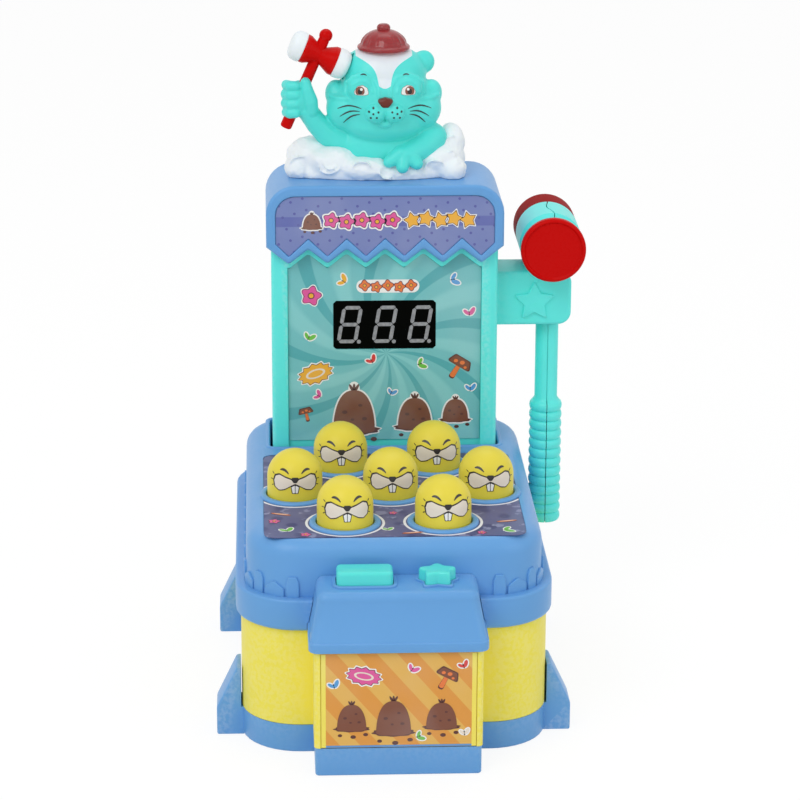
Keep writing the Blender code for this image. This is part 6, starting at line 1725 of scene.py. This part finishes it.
@dataclass
class Hammer:
    """The child's hammer and its holder."""

    x: float = 103.8
    y: float = 84.0
    head_z: float = 256.8
    head_radius: float = 19.6
    head_front: float = 49.0
    head_rear: float = 119.0
    neck_radius: float = 16.0
    neck_length: float = 12.0
    cap_radius: float = 20.2
    front_cap: float = 5.0
    rear_cap: float = 22.0
    handle_radius: float = 7.2
    grip_low: float = 69.5
    grip_high: float = 150.0
    grip_radius: float = 10.4
    groove_radius: float = 8.9
    ribs: int = 13
    holder: Plan = Plan(62.0, 117.3, 204.0, 238.6, 8.0)

    def build(self) -> None:
        """Builds and dresses the hammer and its holder."""
        fit(dress(self.shell(), Finish.TURQUOISE), "hammer", "turquoise_plastic", "hammer_half_left",
            "hammer_half_right")
        fit(dress(self.face_cap(), Finish.RED), "hammer", "red_plastic", "hammer_cap_front")
        fit(dress(self.back_cap(), Finish.DARK_RED), "hammer", "dark_red_plastic", "hammer_cap_rear")
        fit(dress(self.bracket(), Finish.TURQUOISE), "body", "turquoise_plastic", "hammer_holder")

    def shell(self) -> bpy.types.Object:
        """The barrel and the ribbed handle, with the lines where the two halves meet."""
        front = self.head_front + self.front_cap + 0.3
        rear = self.head_rear - self.rear_cap - 0.3
        shoulder = front + self.neck_length
        profile = [(0, front), (self.neck_radius - 0.8, front), (self.neck_radius, front + 0.8),
                   (self.neck_radius + 0.3, shoulder - 3.2), (self.head_radius - 0.9, shoulder - 0.5),
                   (self.head_radius, shoulder + 0.6), (self.head_radius, rear - 0.5),
                   (self.head_radius - 0.5, rear), (0, rear)]
        barrel = turned("hammer_barrel", profile, (self.x, 0, self.head_z), (0, 1, 0), 72)
        unite(barrel, turned("hammer_handle", self.handle_profile(), (self.x, self.y, 0), steps=56))
        path = []
        for i in range(25):
            t = i / 24
            path.append((self.x + 2.2 * math.sin(math.tau * t) * math.sin(math.pi * t),
                         front - 1 + t * (rear - front + 2)))
        groove = [(u - 0.32, v) for u, v in path] + [(u + 0.32, v) for u, v in path[::-1]]
        top = self.head_z + self.neck_radius
        cut(barrel, plate("top_line", groove[::-1], top - 0.4, top + 8))
        high = self.head_z - self.head_radius + 0.35
        return cut(barrel, block("front_line", (self.x - 0.27, self.y - 12, self.grip_low - 2),
                                 (self.x + 0.27, self.y - self.handle_radius + 0.7, high)))

    def handle_profile(self) -> list[Point]:
        """Turned profile of the handle: rounded ribs below a plain shank."""
        rib = (self.grip_high - self.grip_low) / self.ribs
        profile = [(0, self.grip_low), (self.groove_radius - 2.2, self.grip_low),
                   (self.groove_radius - 0.6, self.grip_low + 0.7)]
        for i in range(self.ribs):
            low = self.grip_low + i * rib
            for share in (0.08, 0.16, 0.3, 0.5, 0.7, 0.84, 0.92):
                radius = self.groove_radius + (self.grip_radius
                                               - self.groove_radius) * math.sin(math.pi * share) ** 0.6
                profile.append((radius, low + rib * share))
            profile.append((self.groove_radius, low + rib))
        return profile + [(self.handle_radius, self.grip_high + 2.5), (self.handle_radius, self.head_z),
                          (0, self.head_z)]

    def face_cap(self) -> bpy.types.Object:
        """The striking face: a rounded rim about a slightly sunk disc."""
        start, end = self.head_front, self.head_front + self.front_cap
        rim = self.cap_radius - 2.0
        profile = [(0, start + 1.1), (rim - 1.0, start + 1.1), (rim - 0.5, start + 0.5)]
        profile += arc(rim, start + 2.0, 2.0, -90, 0, 7)
        profile += [(self.cap_radius, end - 0.6), (self.cap_radius - 0.6, end), (0, end)]
        return turned("striking_face", profile, (self.x, 0, self.head_z), (0, 1, 0), 72)

    def back_cap(self) -> bpy.types.Object:
        """The rear cap with a wide soft edge."""
        start, end = self.head_rear - self.rear_cap, self.head_rear
        profile = [(0, start), (self.head_radius - 0.4, start), (self.head_radius, start + 0.4)]
        profile += arc(self.head_radius - 2.6, end - 2.6, 2.6, 0, 90, 6) + [(0, end)]
        return turned("rear_cap", profile, (self.x, 0, self.head_z), (0, 1, 0), 72)

    def bracket(self) -> bpy.types.Object:
        """The holder: a soft block with a saddle, a hole for the handle and a raised star."""
        bracket = plate("holder", self.holder.outline(), 68.0, 100.0, Axis.BACK)
        soften(bracket, 2.2, 5, 60)
        raised = []
        for inset, depth in ((0.0, 69.5), (0.0, 67.0), (0.3, 66.5), (0.9, 66.2)):
            raised.append((rounded(star(13.5 - inset, 0.50, 94.0, 219.4), 1.0, 3), depth))
        unite(bracket, lofted("relief", raised, Axis.BACK))
        cut(bracket, block("tower_side", (50, 60, 190), (70.3, 110, 250)),
            bar("saddle", (self.x, 60, self.head_z), (self.x, 110, self.head_z), self.head_radius + 0.3, 72),
            bar("handle_hole", (self.x, self.y, 195), (self.x, self.y, 245), 10.5, 56))
        return bracket


BlobRow = tuple[tuple[float, float, float], tuple[float, float, float]]
Station = tuple[float, float, float, float]


def limb(*stations: Station, steps: int = 5) -> list[BlobRow]:
    """Rows of balls along a limb.

    Args:
        stations: Places along the limb: x, y, z and the limb's radius there.
        steps: Balls between two places.

    Returns:
        Centres and radii.
    """
    rows = []
    for first, second in zip(stations, stations[1:]):
        for step in range(steps + 1):
            x, y, z, size = (a + (b - a) * step / steps for a, b in zip(first, second))
            rows.append(((x, y, z), (size, size, size)))
    return rows


def mirrored(*rows: BlobRow) -> list[BlobRow]:
    """Rows of balls and their mirror images."""
    return [((side * x, y, z), radii) for (x, y, z), radii in rows for side in (-1, 1)]


@dataclass
class Figure:
    """Animal bust in a carved snow mound, with its hat and its mallet."""

    y: float = 81.0
    foot: float = 299.3
    head_cut: float = 376.8
    hat_seat: float = 377.1
    hat_brim: float = 3.0
    dome_radius: float = 14.2
    dome_height: float = 9.3
    hat_top: float = 392.7
    mallet_y: float = 74.5
    handle_foot: Point = (-60.5, 329.8)
    handle_top: Point = (-35.4, 386.8)
    handle_radius: float = 3.4
    head_share: float = 0.80
    head_shift: float = 1.2
    head_half: float = 19.2
    drum_half: float = 10.6
    drum_radius: float = 9.0
    waist_radius: float = 5.0
    eye: Point = (14.2, 355.6)
    nose: Point = (0.2, 349.0)

    def build(self) -> None:
        """Builds and dresses the bust, its face, the mound, the hat and the mallet."""
        body = self.grown("animal_bust", self.large(), self.small(), 0.85, 6, self.ridges())
        middle, across = self.head_frame()
        cut(body, block("flat_head", (-40, 40, self.head_cut), (40, 120, 400)),
            block("flat_foot", (-80, 20, 280), (80, 140, 302.3)),
            bar("handle_room", self.at(-0.05), self.at(1.05), self.handle_radius + 0.1, 24),
            bar("head_room", middle - across * 22, middle + across * 19.6, self.drum_radius + 0.5, 40))
        fit(dress(body, Finish.BUST, 60), "body", "teal_plastic", "figure_body")
        fit(self.face(body), "body", "teal_plastic")
        fit(dress(self.snow(), Finish.SNOW, 60), "body", "white_plastic", "figure_mound")
        fit(dress(self.hat(), Finish.HAT, 50), "body", "clear_red_plastic", "figure_hat")
        self.mallet()

    def large(self) -> list[BlobRow]:
        """Head, jaw, cheeks, ears, chest and arms."""
        rows = [((0, 81, 345.3), (30, 24.5, 26.5)), ((0, 82, 362.5), (26.5, 20, 18)),
                ((0, 78, 333.6), (27, 19.5, 14)), ((0, 84, 316.3), (33, 18, 18)),
                ((0, 61, 345.2), (8.5, 8.0, 6.5))]
        rows += mirrored(((22.5, 76.3, 341.6), (13.0, 12.5, 13.6)), ((29.4, 79, 350.0), (6.6, 8.0, 8.6)),
                         ((24.8, 85, 368.2), (6.9, 4.8, 7.3)), ((14.4, 64.2, 356.6), (8.8, 5.4, 9.0)))
        rows += limb((-24, 82, 319, 10.2), (-33.5, 79.5, 324, 8.2), (-41, 77.5, 331.5, 6.9),
                     (-47, 75.5, 340.5, 6.4))
        rows += limb((24, 84, 322, 11.0), (29.5, 78, 322, 9.8), (25.5, 73, 318.5, 8.4), (19, 69, 315.5, 7.2),
                     (14, 66.5, 313.6, 6.6))
        return rows

    def small(self) -> list[BlobRow]:
        """Muzzle, lip, fist and paw."""
        rows = mirrored(((5.6, 57.0, 342.0), (6.6, 6.4, 5.8)))
        rows += [((0, 59.0, 335.4), (4.4, 3.6, 2.8)), ((-52.0, 75.5, 347.6), (7.0, 7.2, 11.6))]
        for z, reach in ((356.6, 3.2), (350.9, 3.7), (345.2, 3.7), (339.6, 3.2)):
            rows += limb((-54.0, 70.4, z, 3.0), (-57.6, 71.2, z - 0.2, 3.3), (-59.6, 75.5, z - 0.4, reach),
                         steps=4)
        rows += limb((-44.4, 72.4, 341.0, 4.4), (-45.0, 71.0, 347.0, 4.6), (-47.0, 70.2, 354.0, 3.8),
                     (-48.0, 71.0, 358.6, 3.2))
        for start, tip in (((10, 65.5, 314.6, 5.2), (2.9, 62.6, 310.6, 3.8)),
                           ((12.4, 65.5, 314.4, 5.2), (11.0, 61.2, 307.6, 4.0)),
                           ((15, 66, 314.8, 5.2), (19.8, 62.8, 309.4, 4.0))):
            rows += limb(start, tip, steps=6)
        return rows

    def ridges(self) -> list[tuple[float, float, float]]:
        """The two raised arches round each eye and the folds of the cheeks: across, height and radius."""
        arches = (((9.6, -3.0), (9.2, 3.0), (5.2, 7.6), (-0.8, 9.2), (-6.8, 7.2), (-10.4, 2.0),
                   (-10.8, -3.6)),
                  ((6.2, -1.5), (5.4, 3.2), (1.6, 5.8), (-2.6, 5.4), (-5.6, 2.6), (-6.6, -1.2)),
                  ((18.6, -5.4), (14.0, -6.6), (8.0, -6.2)))
        rows = []
        for spots, size in zip(arches, (1.5, 1.1, 1.6)):
            for first, second in zip(spots, spots[1:]):
                for step in range(7):
                    u, v = (a + (b - a) * step / 6 for a, b in zip(first, second))
                    rows += [(side * (self.eye[0] + u), self.eye[1] + v, size) for side in (-1, 1)]
        return rows

    def grown(self, name: str, rows: Sequence[BlobRow], small: Sequence[BlobRow], voxel: float, rounds: int,
              seated: Sequence[tuple[float, float, float]] = ()) -> bpy.types.Object:
        """One smooth volume grown from balls.

        Args:
            name: Its name.
            rows: Centres and radii of the large balls.
            small: Centres and radii of balls that keep their shape.
            voxel: Size of the grid that they are grown on.
            rounds: Rounds of smoothing of the large balls.
            seated: Places across and up, and radii, of balls half sunk in the front of the large ones.

        Returns:
            The volume.
        """
        mass = gather(name, [ball("lump", *row) for row in rows])
        modify(mass, "REMESH", mode="VOXEL", voxel_size=voxel * MM)
        modify(mass, "SMOOTH", factor=0.6, iterations=rounds)
        if small:
            small = list(small)
            for x, z, size in seated:
                found, spot, _, _ = mass.ray_cast(Vector((x, -100, z)) * MM, Vector((0, 1, 0)))
                if found:
                    small.append(((x, spot.y / MM + size * 0.35, z), (size, size, size)))
            detail = gather("details", [ball("lump", *row, 16) for row in small])
            mass = gather(name, [mass, detail])
            modify(mass, "REMESH", mode="VOXEL", voxel_size=voxel * MM * 0.62)
            modify(mass, "SMOOTH", factor=0.5, iterations=4)
        return mass

    def at(self, share: float) -> tuple[float, float, float]:
        """A place on the mallet's handle, as a share of its length."""
        x = self.handle_foot[0] + share * (self.handle_top[0] - self.handle_foot[0])
        z = self.handle_foot[1] + share * (self.handle_top[1] - self.handle_foot[1])
        return (x, self.mallet_y, z)

    def head_frame(self) -> tuple[Vector, Vector]:
        """Middle of the mallet's head and its direction, square to the handle."""
        along = (Vector(self.at(1)) - Vector(self.at(0))).normalized()
        across = Vector((along.z, 0, -along.x))
        return Vector(self.at(self.head_share)) + across * self.head_shift, across

    def snow(self) -> bpy.types.Object:
        """The mound: lumps with carved, curling scoops."""
        rows = [((-4.5, 81, 302.3), (56.0, 20.5, 13)), ((-45, 83, 310.3), (15.5, 14, 12.6)),
                ((-31, 73, 308.3), (17, 11, 10.4)),
                ((-8, 87, 312.3), (26, 14, 12)), ((42, 84, 318.3), (9.4, 11, 12.2)),
                ((33, 76, 309.3), (16, 12, 11)),
                ((27, 89, 315.3), (18, 11, 13)), ((-53.5, 76, 304.3), (8.4, 10, 8)),
                ((-12, 67, 305.3), (17, 9, 8.4)),
                ((42, 71, 303.5), (9.5, 10, 9)), ((43, 82, 308.5), (8.5, 12, 10))]
        for x, y, z, size, start, sweep in ((-34, 62.2, 309, 7.0, 200, 190),
                                            (-33.6, 61.6, 309, 3.4, 190, 170),
                                            (-52, 69, 308, 6.0, 60, 150), (-14, 58.2, 307.5, 5.4, 20, 150),
                                            (2, 58.4, 304.6, 5.0, 170, 140), (31, 63.5, 306.4, 6.0, 20, 170),
                                            (42.5, 67.5, 311, 6.4, 80, 170), (44, 73.5, 320, 6.0, 100, 150)):
            for i in range(15):
                turn = math.radians(start + sweep * i / 14)
                bead = 1.15 * math.sin(math.pi * (i + 1.5) / 17)
                rows.append(((x + size * math.cos(turn), y + 0.03 * size * i / 4,
                              z + 0.8 * size * math.sin(turn)),
                             (bead, bead * 1.6, bead)))
        mound = self.grown("snow_mound", rows, (), 0.75, 3)
        for name, kind, grain, depth in (("snow scoops", "CLOUDS", 0.011, 0.0014),
                                         ("snow streaks", "MARBLE", 0.009, 0.0016)):
            crust = bpy.data.textures.new(name, kind)
            crust.noise_scale = grain
            modify(mound, "DISPLACE", texture=crust, texture_coords="LOCAL", strength=depth, mid_level=0.5)
        return cut(mound, block("flat_foot", (-90, 20, 270), (90, 140, self.foot)))

    def face(self, body: bpy.types.Object) -> bpy.types.Object:
        """Painted eyes, brows, whiskers and dots, and the raised nose, set on the bust."""
        def on_bust(across: float, height: float, lift: float) -> Vector:
            """A point on the front of the bust."""
            found, place, out, _ = body.ray_cast(Vector((across, -100, height)) * MM, Vector((0, 1, 0)))
            return place / MM + out * lift if found else Vector((across, 70 - lift, height))

        made = []
        for side in (-1, 1):
            x, z = side * self.eye[0], self.eye[1]

            def lid(grow: float) -> list[Point]:
                """The eye's opening: arched above, almost flat below."""
                spots = ((-4.4, -2.3), (-1.0, -2.8), (3.9, -2.4), (4.3, -0.4), (2.4, 2.7), (-0.6, 3.4),
                         (-3.4, 1.6))
                return rounded([(x + side * u * (1 + grow / 4), z + v * (1 + grow / 3)) for u, v in spots],
                               1.2, 3)

            iris = [(u, max(v, z - 2.35)) for u, v in oval(x + side * 0.9, z - 0.2, 2.75, 3.0, 32)]
            pupil = [(u, max(v, z - 2.3)) for u, v in oval(x + side * 0.9, z - 0.4, 1.35, 1.7, 24)]
            for outline, ink, lift in ((lid(0.2), Finish.INK_BROWN, 0.04), (lid(0.0), Finish.INK_WHITE, 0.12),
                                       (iris, Finish.INK_IRIS, 0.20), (pupil, Finish.INK_DARK, 0.28),
                                       (oval(x - 0.1, z + 1.0, 0.85, 0.85, 16), Finish.INK_WHITE, 0.36)):
                made.append(patch(outline, ink, on_bust, lift, 0.05, 2))
            brow = ((side * 11.0, z + 9.0), (side * 12.9, z + 10.3), (side * 14.8, z + 9.4))
            made.append(strip(brow, 0.7, Finish.INK_DARK, on_bust, 0.12, 0.05, 8))
            for u, v in ((4.2, 343.9), (7.2, 346.2), (9.8, 344.0), (5.2, 340.6), (8.8, 340.4), (7.3, 342.9)):
                made.append(patch(oval(side * u, v, 0.62, 0.62, 16), Finish.INK_DARK, on_bust, 0.08, 0.05, 1))
            for start, bend, end in (((14.2, 344.4), (21.4, 347.2), (28.6, 343.4)),
                                     ((15.3, 342.6), (21.6, 343.2), (27.2, 338.6)),
                                     ((15.0, 340.8), (20.6, 340.0), (25.0, 334.6))):
                path = tuple((side * u, v) for u, v in (start, bend, end))
                made.append(strip(path, 0.85, Finish.INK_DARK, on_bust, 0.14, 0.05, 16))
        depth = on_bust(*self.nose, 0.0).y
        snout = rounded([(-5.6, 1.8), (0.0, 3.2), (5.6, 1.8), (1.8, -3.1), (-1.8, -3.1)], 2.2, 4)
        sections = []
        for share, step in ((1.0, 3.0), (1.0, -0.5), (0.94, -1.2), (0.78, -1.8), (0.5, -2.2), (0.2, -2.35)):
            sections.append(([(self.nose[0] + u * share, self.nose[1] + v * share) for u, v in snout],
                             depth + step))
        made.append(dress(lofted("nose", sections, Axis.BACK), Finish.NOSE, 60))
        return gather("bust_face", made)

    def hat(self) -> bpy.types.Object:
        """The clear hat: a rolled brim, a fluted dome and a knob."""
        seat, brim, high = self.hat_seat, self.hat_seat + self.hat_brim, self.dome_height
        outer = [(u * self.dome_radius, brim + v * high) for u, v in arc(0, 0, 1, 4, 74, 10)]
        inner = [(u * (self.dome_radius - 1.4), brim + v * (high - 1.4)) for u, v in arc(0, 0, 1, 84, 4, 8)]
        knob = self.hat_top - 2.6
        profile = [(12.8, seat)] + arc(14.9, seat + 1.3, 1.3, -90, 90, 6) + outer
        profile += [(3.5, brim + high - 0.2), (3.2, brim + high + 0.3)] + arc(1.6, knob, 2.6, -25, 90, 6)[:-1]
        hat = turned("fluted_hat", profile + [(0, self.hat_top), (0, brim + high - 1.4)] + inner,
                     (0, self.y, 0), steps=112)
        for vertex in hat.data.vertices:
            spot = vertex.co / MM
            up = (spot.z - brim) / high
            if 0.02 < up < 0.97:
                angle = math.atan2(spot.y - self.y, spot.x)
                pull = 1 - 0.05 * abs(math.sin(angle * 8)) ** 0.7 * math.sin(math.pi * min(up + 0.15, 1))
                vertex.co.x = spot.x * pull * MM
                vertex.co.y = (self.y + (spot.y - self.y) * pull) * MM
        return hat

    def mallet(self) -> None:
        """The mallet: handle and knob, a waisted drum and two white end caps."""
        foot, top = Vector(self.at(0)), Vector(self.at(1))
        middle, across = self.head_frame()
        length = (top - foot).length
        profile = [(0, 0)] + arc(2.2, 1.4, 1.4, -90, 0, 5) + [(self.handle_radius, length - 3.5)]
        profile += [(self.handle_radius - 0.2, length - 2.4)] + arc(0, length, 4.1, -38, 90, 8)
        fit(dress(turned("mallet_stick", profile, foot, top - foot, 40), Finish.RED), "body", "red_plastic",
            "mallet_handle")
        half, drum, size, waist = self.head_half, self.drum_half, self.drum_radius, self.waist_radius
        profile = [(0, -drum), (size - 0.3, -drum), (size, -drum + 0.4), (size - 0.2, -drum + 2.4),
                   (waist, -0.6),
                   (waist, 0.6), (size - 0.2, drum - 2.4), (size, drum - 0.4), (size - 0.3, drum), (0, drum)]
        fit(dress(turned("mallet_drum", profile, middle, across, 56), Finish.RED), "body", "red_plastic",
            "mallet_head")
        caps = []
        for side in (-1, 1):
            profile = [(0, drum - 0.2), (size - 0.6, drum - 0.2), (size + 0.2, drum + 0.5),
                       (size + 0.4, drum + 2.4)]
            profile += arc(size - 4.4, half - 4.6, 4.6, 0, 90, 8) + [(0, half)]
            caps.append(turned("cap", profile, middle, across * side, 56))
        fit(dress(gather("mallet_ends", caps), Finish.WHITE), "body", "white_plastic")


@dataclass
class Springs:
    """The coil spring under each mole."""

    radius: float = 7.59
    wire: float = 0.4
    low: float = 101.6
    high: float = 124.35
    turns: int = 5
    sides: int = 10
    pressed: float = 0.59

    def build(self) -> None:
        """Winds one spring and sets a copy under each mole."""
        first = dress(self.coil(), Finish.STEEL, 60)
        for number, (x, y) in enumerate(MOLE_PLACES, 1):
            spring = fit(twin(first, f"coil_spring_{number}", (x, y, 0)), "body", "steel",
                         f"mole_spring_{number}")
            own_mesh(spring)
        bpy.data.objects.remove(first)

    def coil(self) -> bpy.types.Object:
        """One spring at the origin: a round section wound upwards, its ends closed."""
        coil = begin("coil", self.sides, "NOTHING")
        start, end = self.low + self.wire, self.high - self.wire
        for i, vertex in enumerate(coil.data.vertices):
            turn = math.tau * i / self.sides
            across = self.radius + self.wire * math.cos(turn)
            vertex.co = Vector((across, 0, start + self.wire * math.sin(turn))) * MM
        modify(coil, "SCREW", angle=math.tau, steps=28, render_steps=28, iterations=self.turns,
               screw_offset=(end - start) / self.turns * MM)
        with editing(coil):
            bpy.ops.mesh.fill_holes(sides=0)
        return turn_out(coil)


@dataclass
class Inside:
    """The carried-over nodes, and the finish of each."""

    finishes: dict[str, Finish] = field(default_factory=lambda: {
        "battery_1": Finish.CELL, "battery_2": Finish.CELL, "battery_3": Finish.CELL,
        "battery_contact": Finish.STEEL, "battery_door_screw": Finish.STEEL, "battery_door": Finish.BLUE,
        "body_screw": Finish.STEEL, "tower_screw": Finish.STEEL,
        "button_board": Finish.BOARD, "display_board": Finish.BOARD, "main_board": Finish.BOARD,
        "display_module": Finish.BLACK, "speaker": Finish.BLACK, "power_switch": Finish.BLACK,
        "power_slider": Finish.KNOB, "hat_lamp": Finish.LAMP, "tower_rear_shell": Finish.TURQUOISE,
        "tower_label": Finish.TOWER, "marquee_label": Finish.MARQUEE, "front_label": Finish.FRONT})

    def build(self, nodes: dict[str, bpy.types.Object]) -> None:
        """Puts each finish in the material slots of its nodes."""
        for name, node in nodes.items():
            for start, finish in self.finishes.items():
                if name.startswith(start):
                    for slot in node.material_slots:
                        slot.material = look(finish)
                    LOG.info("%s keeps its shape and is dressed", name)
                    break


@dataclass
class FrontPrint:
    """Side margins, foot line and motifs printed on the front sheet."""

    face_y: float = -154.7
    half_width: float = 44.4
    margin: float = 2.6
    low: float = 18.0
    high: float = 75.6

    def build(self) -> None:
        """Prints the sheet."""
        sheet = Print(flat_at(self.face_y))
        inner = self.half_width - self.margin
        for side in (-1, 1):
            sheet.layer([(side * self.half_width, self.low), (side * self.half_width, self.high),
                         (side * inner, self.high), (side * inner, self.low)], Finish.INK_MARGIN, 0)
        sheet.layer([(-inner, self.low), (inner, self.low), (inner, self.low + 1.2),
                     (-inner, self.low + 1.2)],
                    Finish.INK_FOOT, 0)
        for x, z, half, high in ((-27.0, 29.5, 8.4, 15.0), (-3.0, 27.0, 10.0, 19.5), (24.5, 30.0, 8.8, 15.0)):
            sheet.heap(x, z, half, high, 0)
        sheet.burst(-20.0, 62.0, (10.5, 5.4), -12.0, Finish.INK_PINK)
        sheet.toadstool(27.0, 60.5, 7.0, -28.0)
        for x, z, size, turn, ink in ((-36.5, 55.0, 5.0, 20, Finish.INK_BLUE),
                                      (7.0, 64.5, 5.0, -30, Finish.INK_PINK),
                                      (37.5, 66.5, 4.6, 25, Finish.INK_RED),
                                      (10.5, 23.5, 4.6, -60, Finish.INK_GREEN),
                                      (38.0, 25.0, 4.2, 10, Finish.INK_CREAM)):
            sheet.leaf(x, z, size, turn, ink)
        fit(sheet.finish("front_print"), "body", "front_print")


@dataclass
class Studio:
    """Camera, floor, soft lamps and a pale surround."""

    focal: float = 3046.26
    pitch: float = 0.309336
    yaw: float = 0.046199
    roll: float = 0.0037587
    eye: tuple[float, float, float] = (-74.13, -1757.68, 739.73)
    surround: float = 0.62
    floor_white: float = 0.84
    key_power: float = 15.0

    def build(self) -> None:
        """Sets up everything round the object."""
        self.camera()
        self.floor()
        self.world()
        self.lamp("key", (-0.95, -1.35, 1.75), (0, 0, 0.18), 1.1, self.key_power)
        self.lamp("fill", (1.5, -1.1, 0.95), (0, 0, 0.18), 1.2, 4.5)
        self.lamp("top", (0.1, 0.5, 2.1), (0, 0.05, 0.2), 1.0, 4.0)
        scene = bpy.context.scene
        scene.view_settings.view_transform = "Standard"

    def camera(self) -> None:
        """The camera, as the picture was taken."""
        data = bpy.data.cameras.new("view")
        data.sensor_width = 36.0
        data.lens = self.focal * 36.0 / 800.0
        camera = bpy.data.objects.new("view", data)
        bpy.context.scene.collection.objects.link(camera)
        ahead = Vector((math.sin(self.yaw) * math.cos(self.pitch), math.cos(self.yaw) * math.cos(self.pitch),
                        -math.sin(self.pitch)))
        right = Vector((math.cos(self.yaw), -math.sin(self.yaw), 0.0))
        up = right.cross(ahead)
        side = right * math.cos(self.roll) + up * math.sin(self.roll)
        rise_way = up * math.cos(self.roll) - right * math.sin(self.roll)
        turn = Matrix((side, rise_way, -ahead)).transposed().to_4x4()
        camera.matrix_world = Matrix.Translation(Vector(self.eye) * MM) @ turn
        bpy.context.scene.camera = camera

    def lamp(self, name: str, place: Sequence[float], aim: Sequence[float], size: float,
             power: float) -> None:
        """A soft square lamp."""
        data = bpy.data.lights.new(name, "AREA")
        data.size = size
        data.energy = power
        lamp = bpy.data.objects.new(name, data)
        lamp.location = place
        lamp.rotation_euler = (Vector(aim) - Vector(place)).to_track_quat("-Z", "Y").to_euler()
        bpy.context.scene.collection.objects.link(lamp)

    def seen(self, tree: Tree) -> bpy.types.NodeSocket:
        """One where a ray comes from the camera, a reflection or clear plastic."""
        path = tree.add("ShaderNodeLightPath")
        both = tree.math("MAXIMUM", path.outputs["Is Camera Ray"], path.outputs["Is Glossy Ray"])
        return tree.math("MAXIMUM", both, path.outputs["Is Transmission Ray"])

    def floor(self) -> None:
        """A wide pale floor that keeps the object's shadow."""
        rest()
        bpy.ops.mesh.primitive_plane_add(size=30.0, location=(0, 0, -0.0001))
        plane = bpy.context.object
        plane.name = "studio_floor"
        made, tree, shader = new_material("studio floor")
        shader.inputs["Base Color"].default_value = (0.86, 0.86, 0.86, 1.0)
        shader.inputs["Roughness"].default_value = 0.8
        white = tree.add("ShaderNodeEmission")
        both = tree.add("ShaderNodeMixShader")
        tree.feed(both.inputs[0], tree.math("MULTIPLY", self.seen(tree), self.floor_white))
        tree.tree.links.new(shader.outputs[0], both.inputs[1])
        tree.tree.links.new(white.outputs[0], both.inputs[2])
        white.inputs["Strength"].default_value = 1.05
        output = made.node_tree.nodes["Material Output"]
        tree.tree.links.new(both.outputs[0], output.inputs["Surface"])
        plane.data.materials.append(made)

    def world(self) -> None:
        """An even pale surround: white where it is seen, softer where it lights."""
        world = bpy.data.worlds.new("surround")
        world.use_nodes = True
        bpy.context.scene.world = world
        tree = Tree(world.node_tree)
        background = world.node_tree.nodes["Background"]
        background.inputs["Color"].default_value = (1.0, 1.0, 1.0, 1.0)
        seen = self.seen(tree)
        strength = tree.math("ADD", tree.math("MULTIPLY", seen, 1.0 - self.surround), self.surround)
        tree.feed(background.inputs["Strength"], strength)


def main() -> None:
    """Builds the game's looks in order."""
    logging.basicConfig(level=logging.INFO, format="%(message)s")
    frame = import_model()
    Studio().build()
    Base().build()
    Deck().build()
    Hood().build()
    Moles().build()
    Tower().build()
    Marquee().build()
    Figure().build()
    Hammer().build()
    FrontPrint().build()
    Springs().build()
    Inside().build(frame["nodes"])
    rest()


if __name__ == "__main__":
    main()
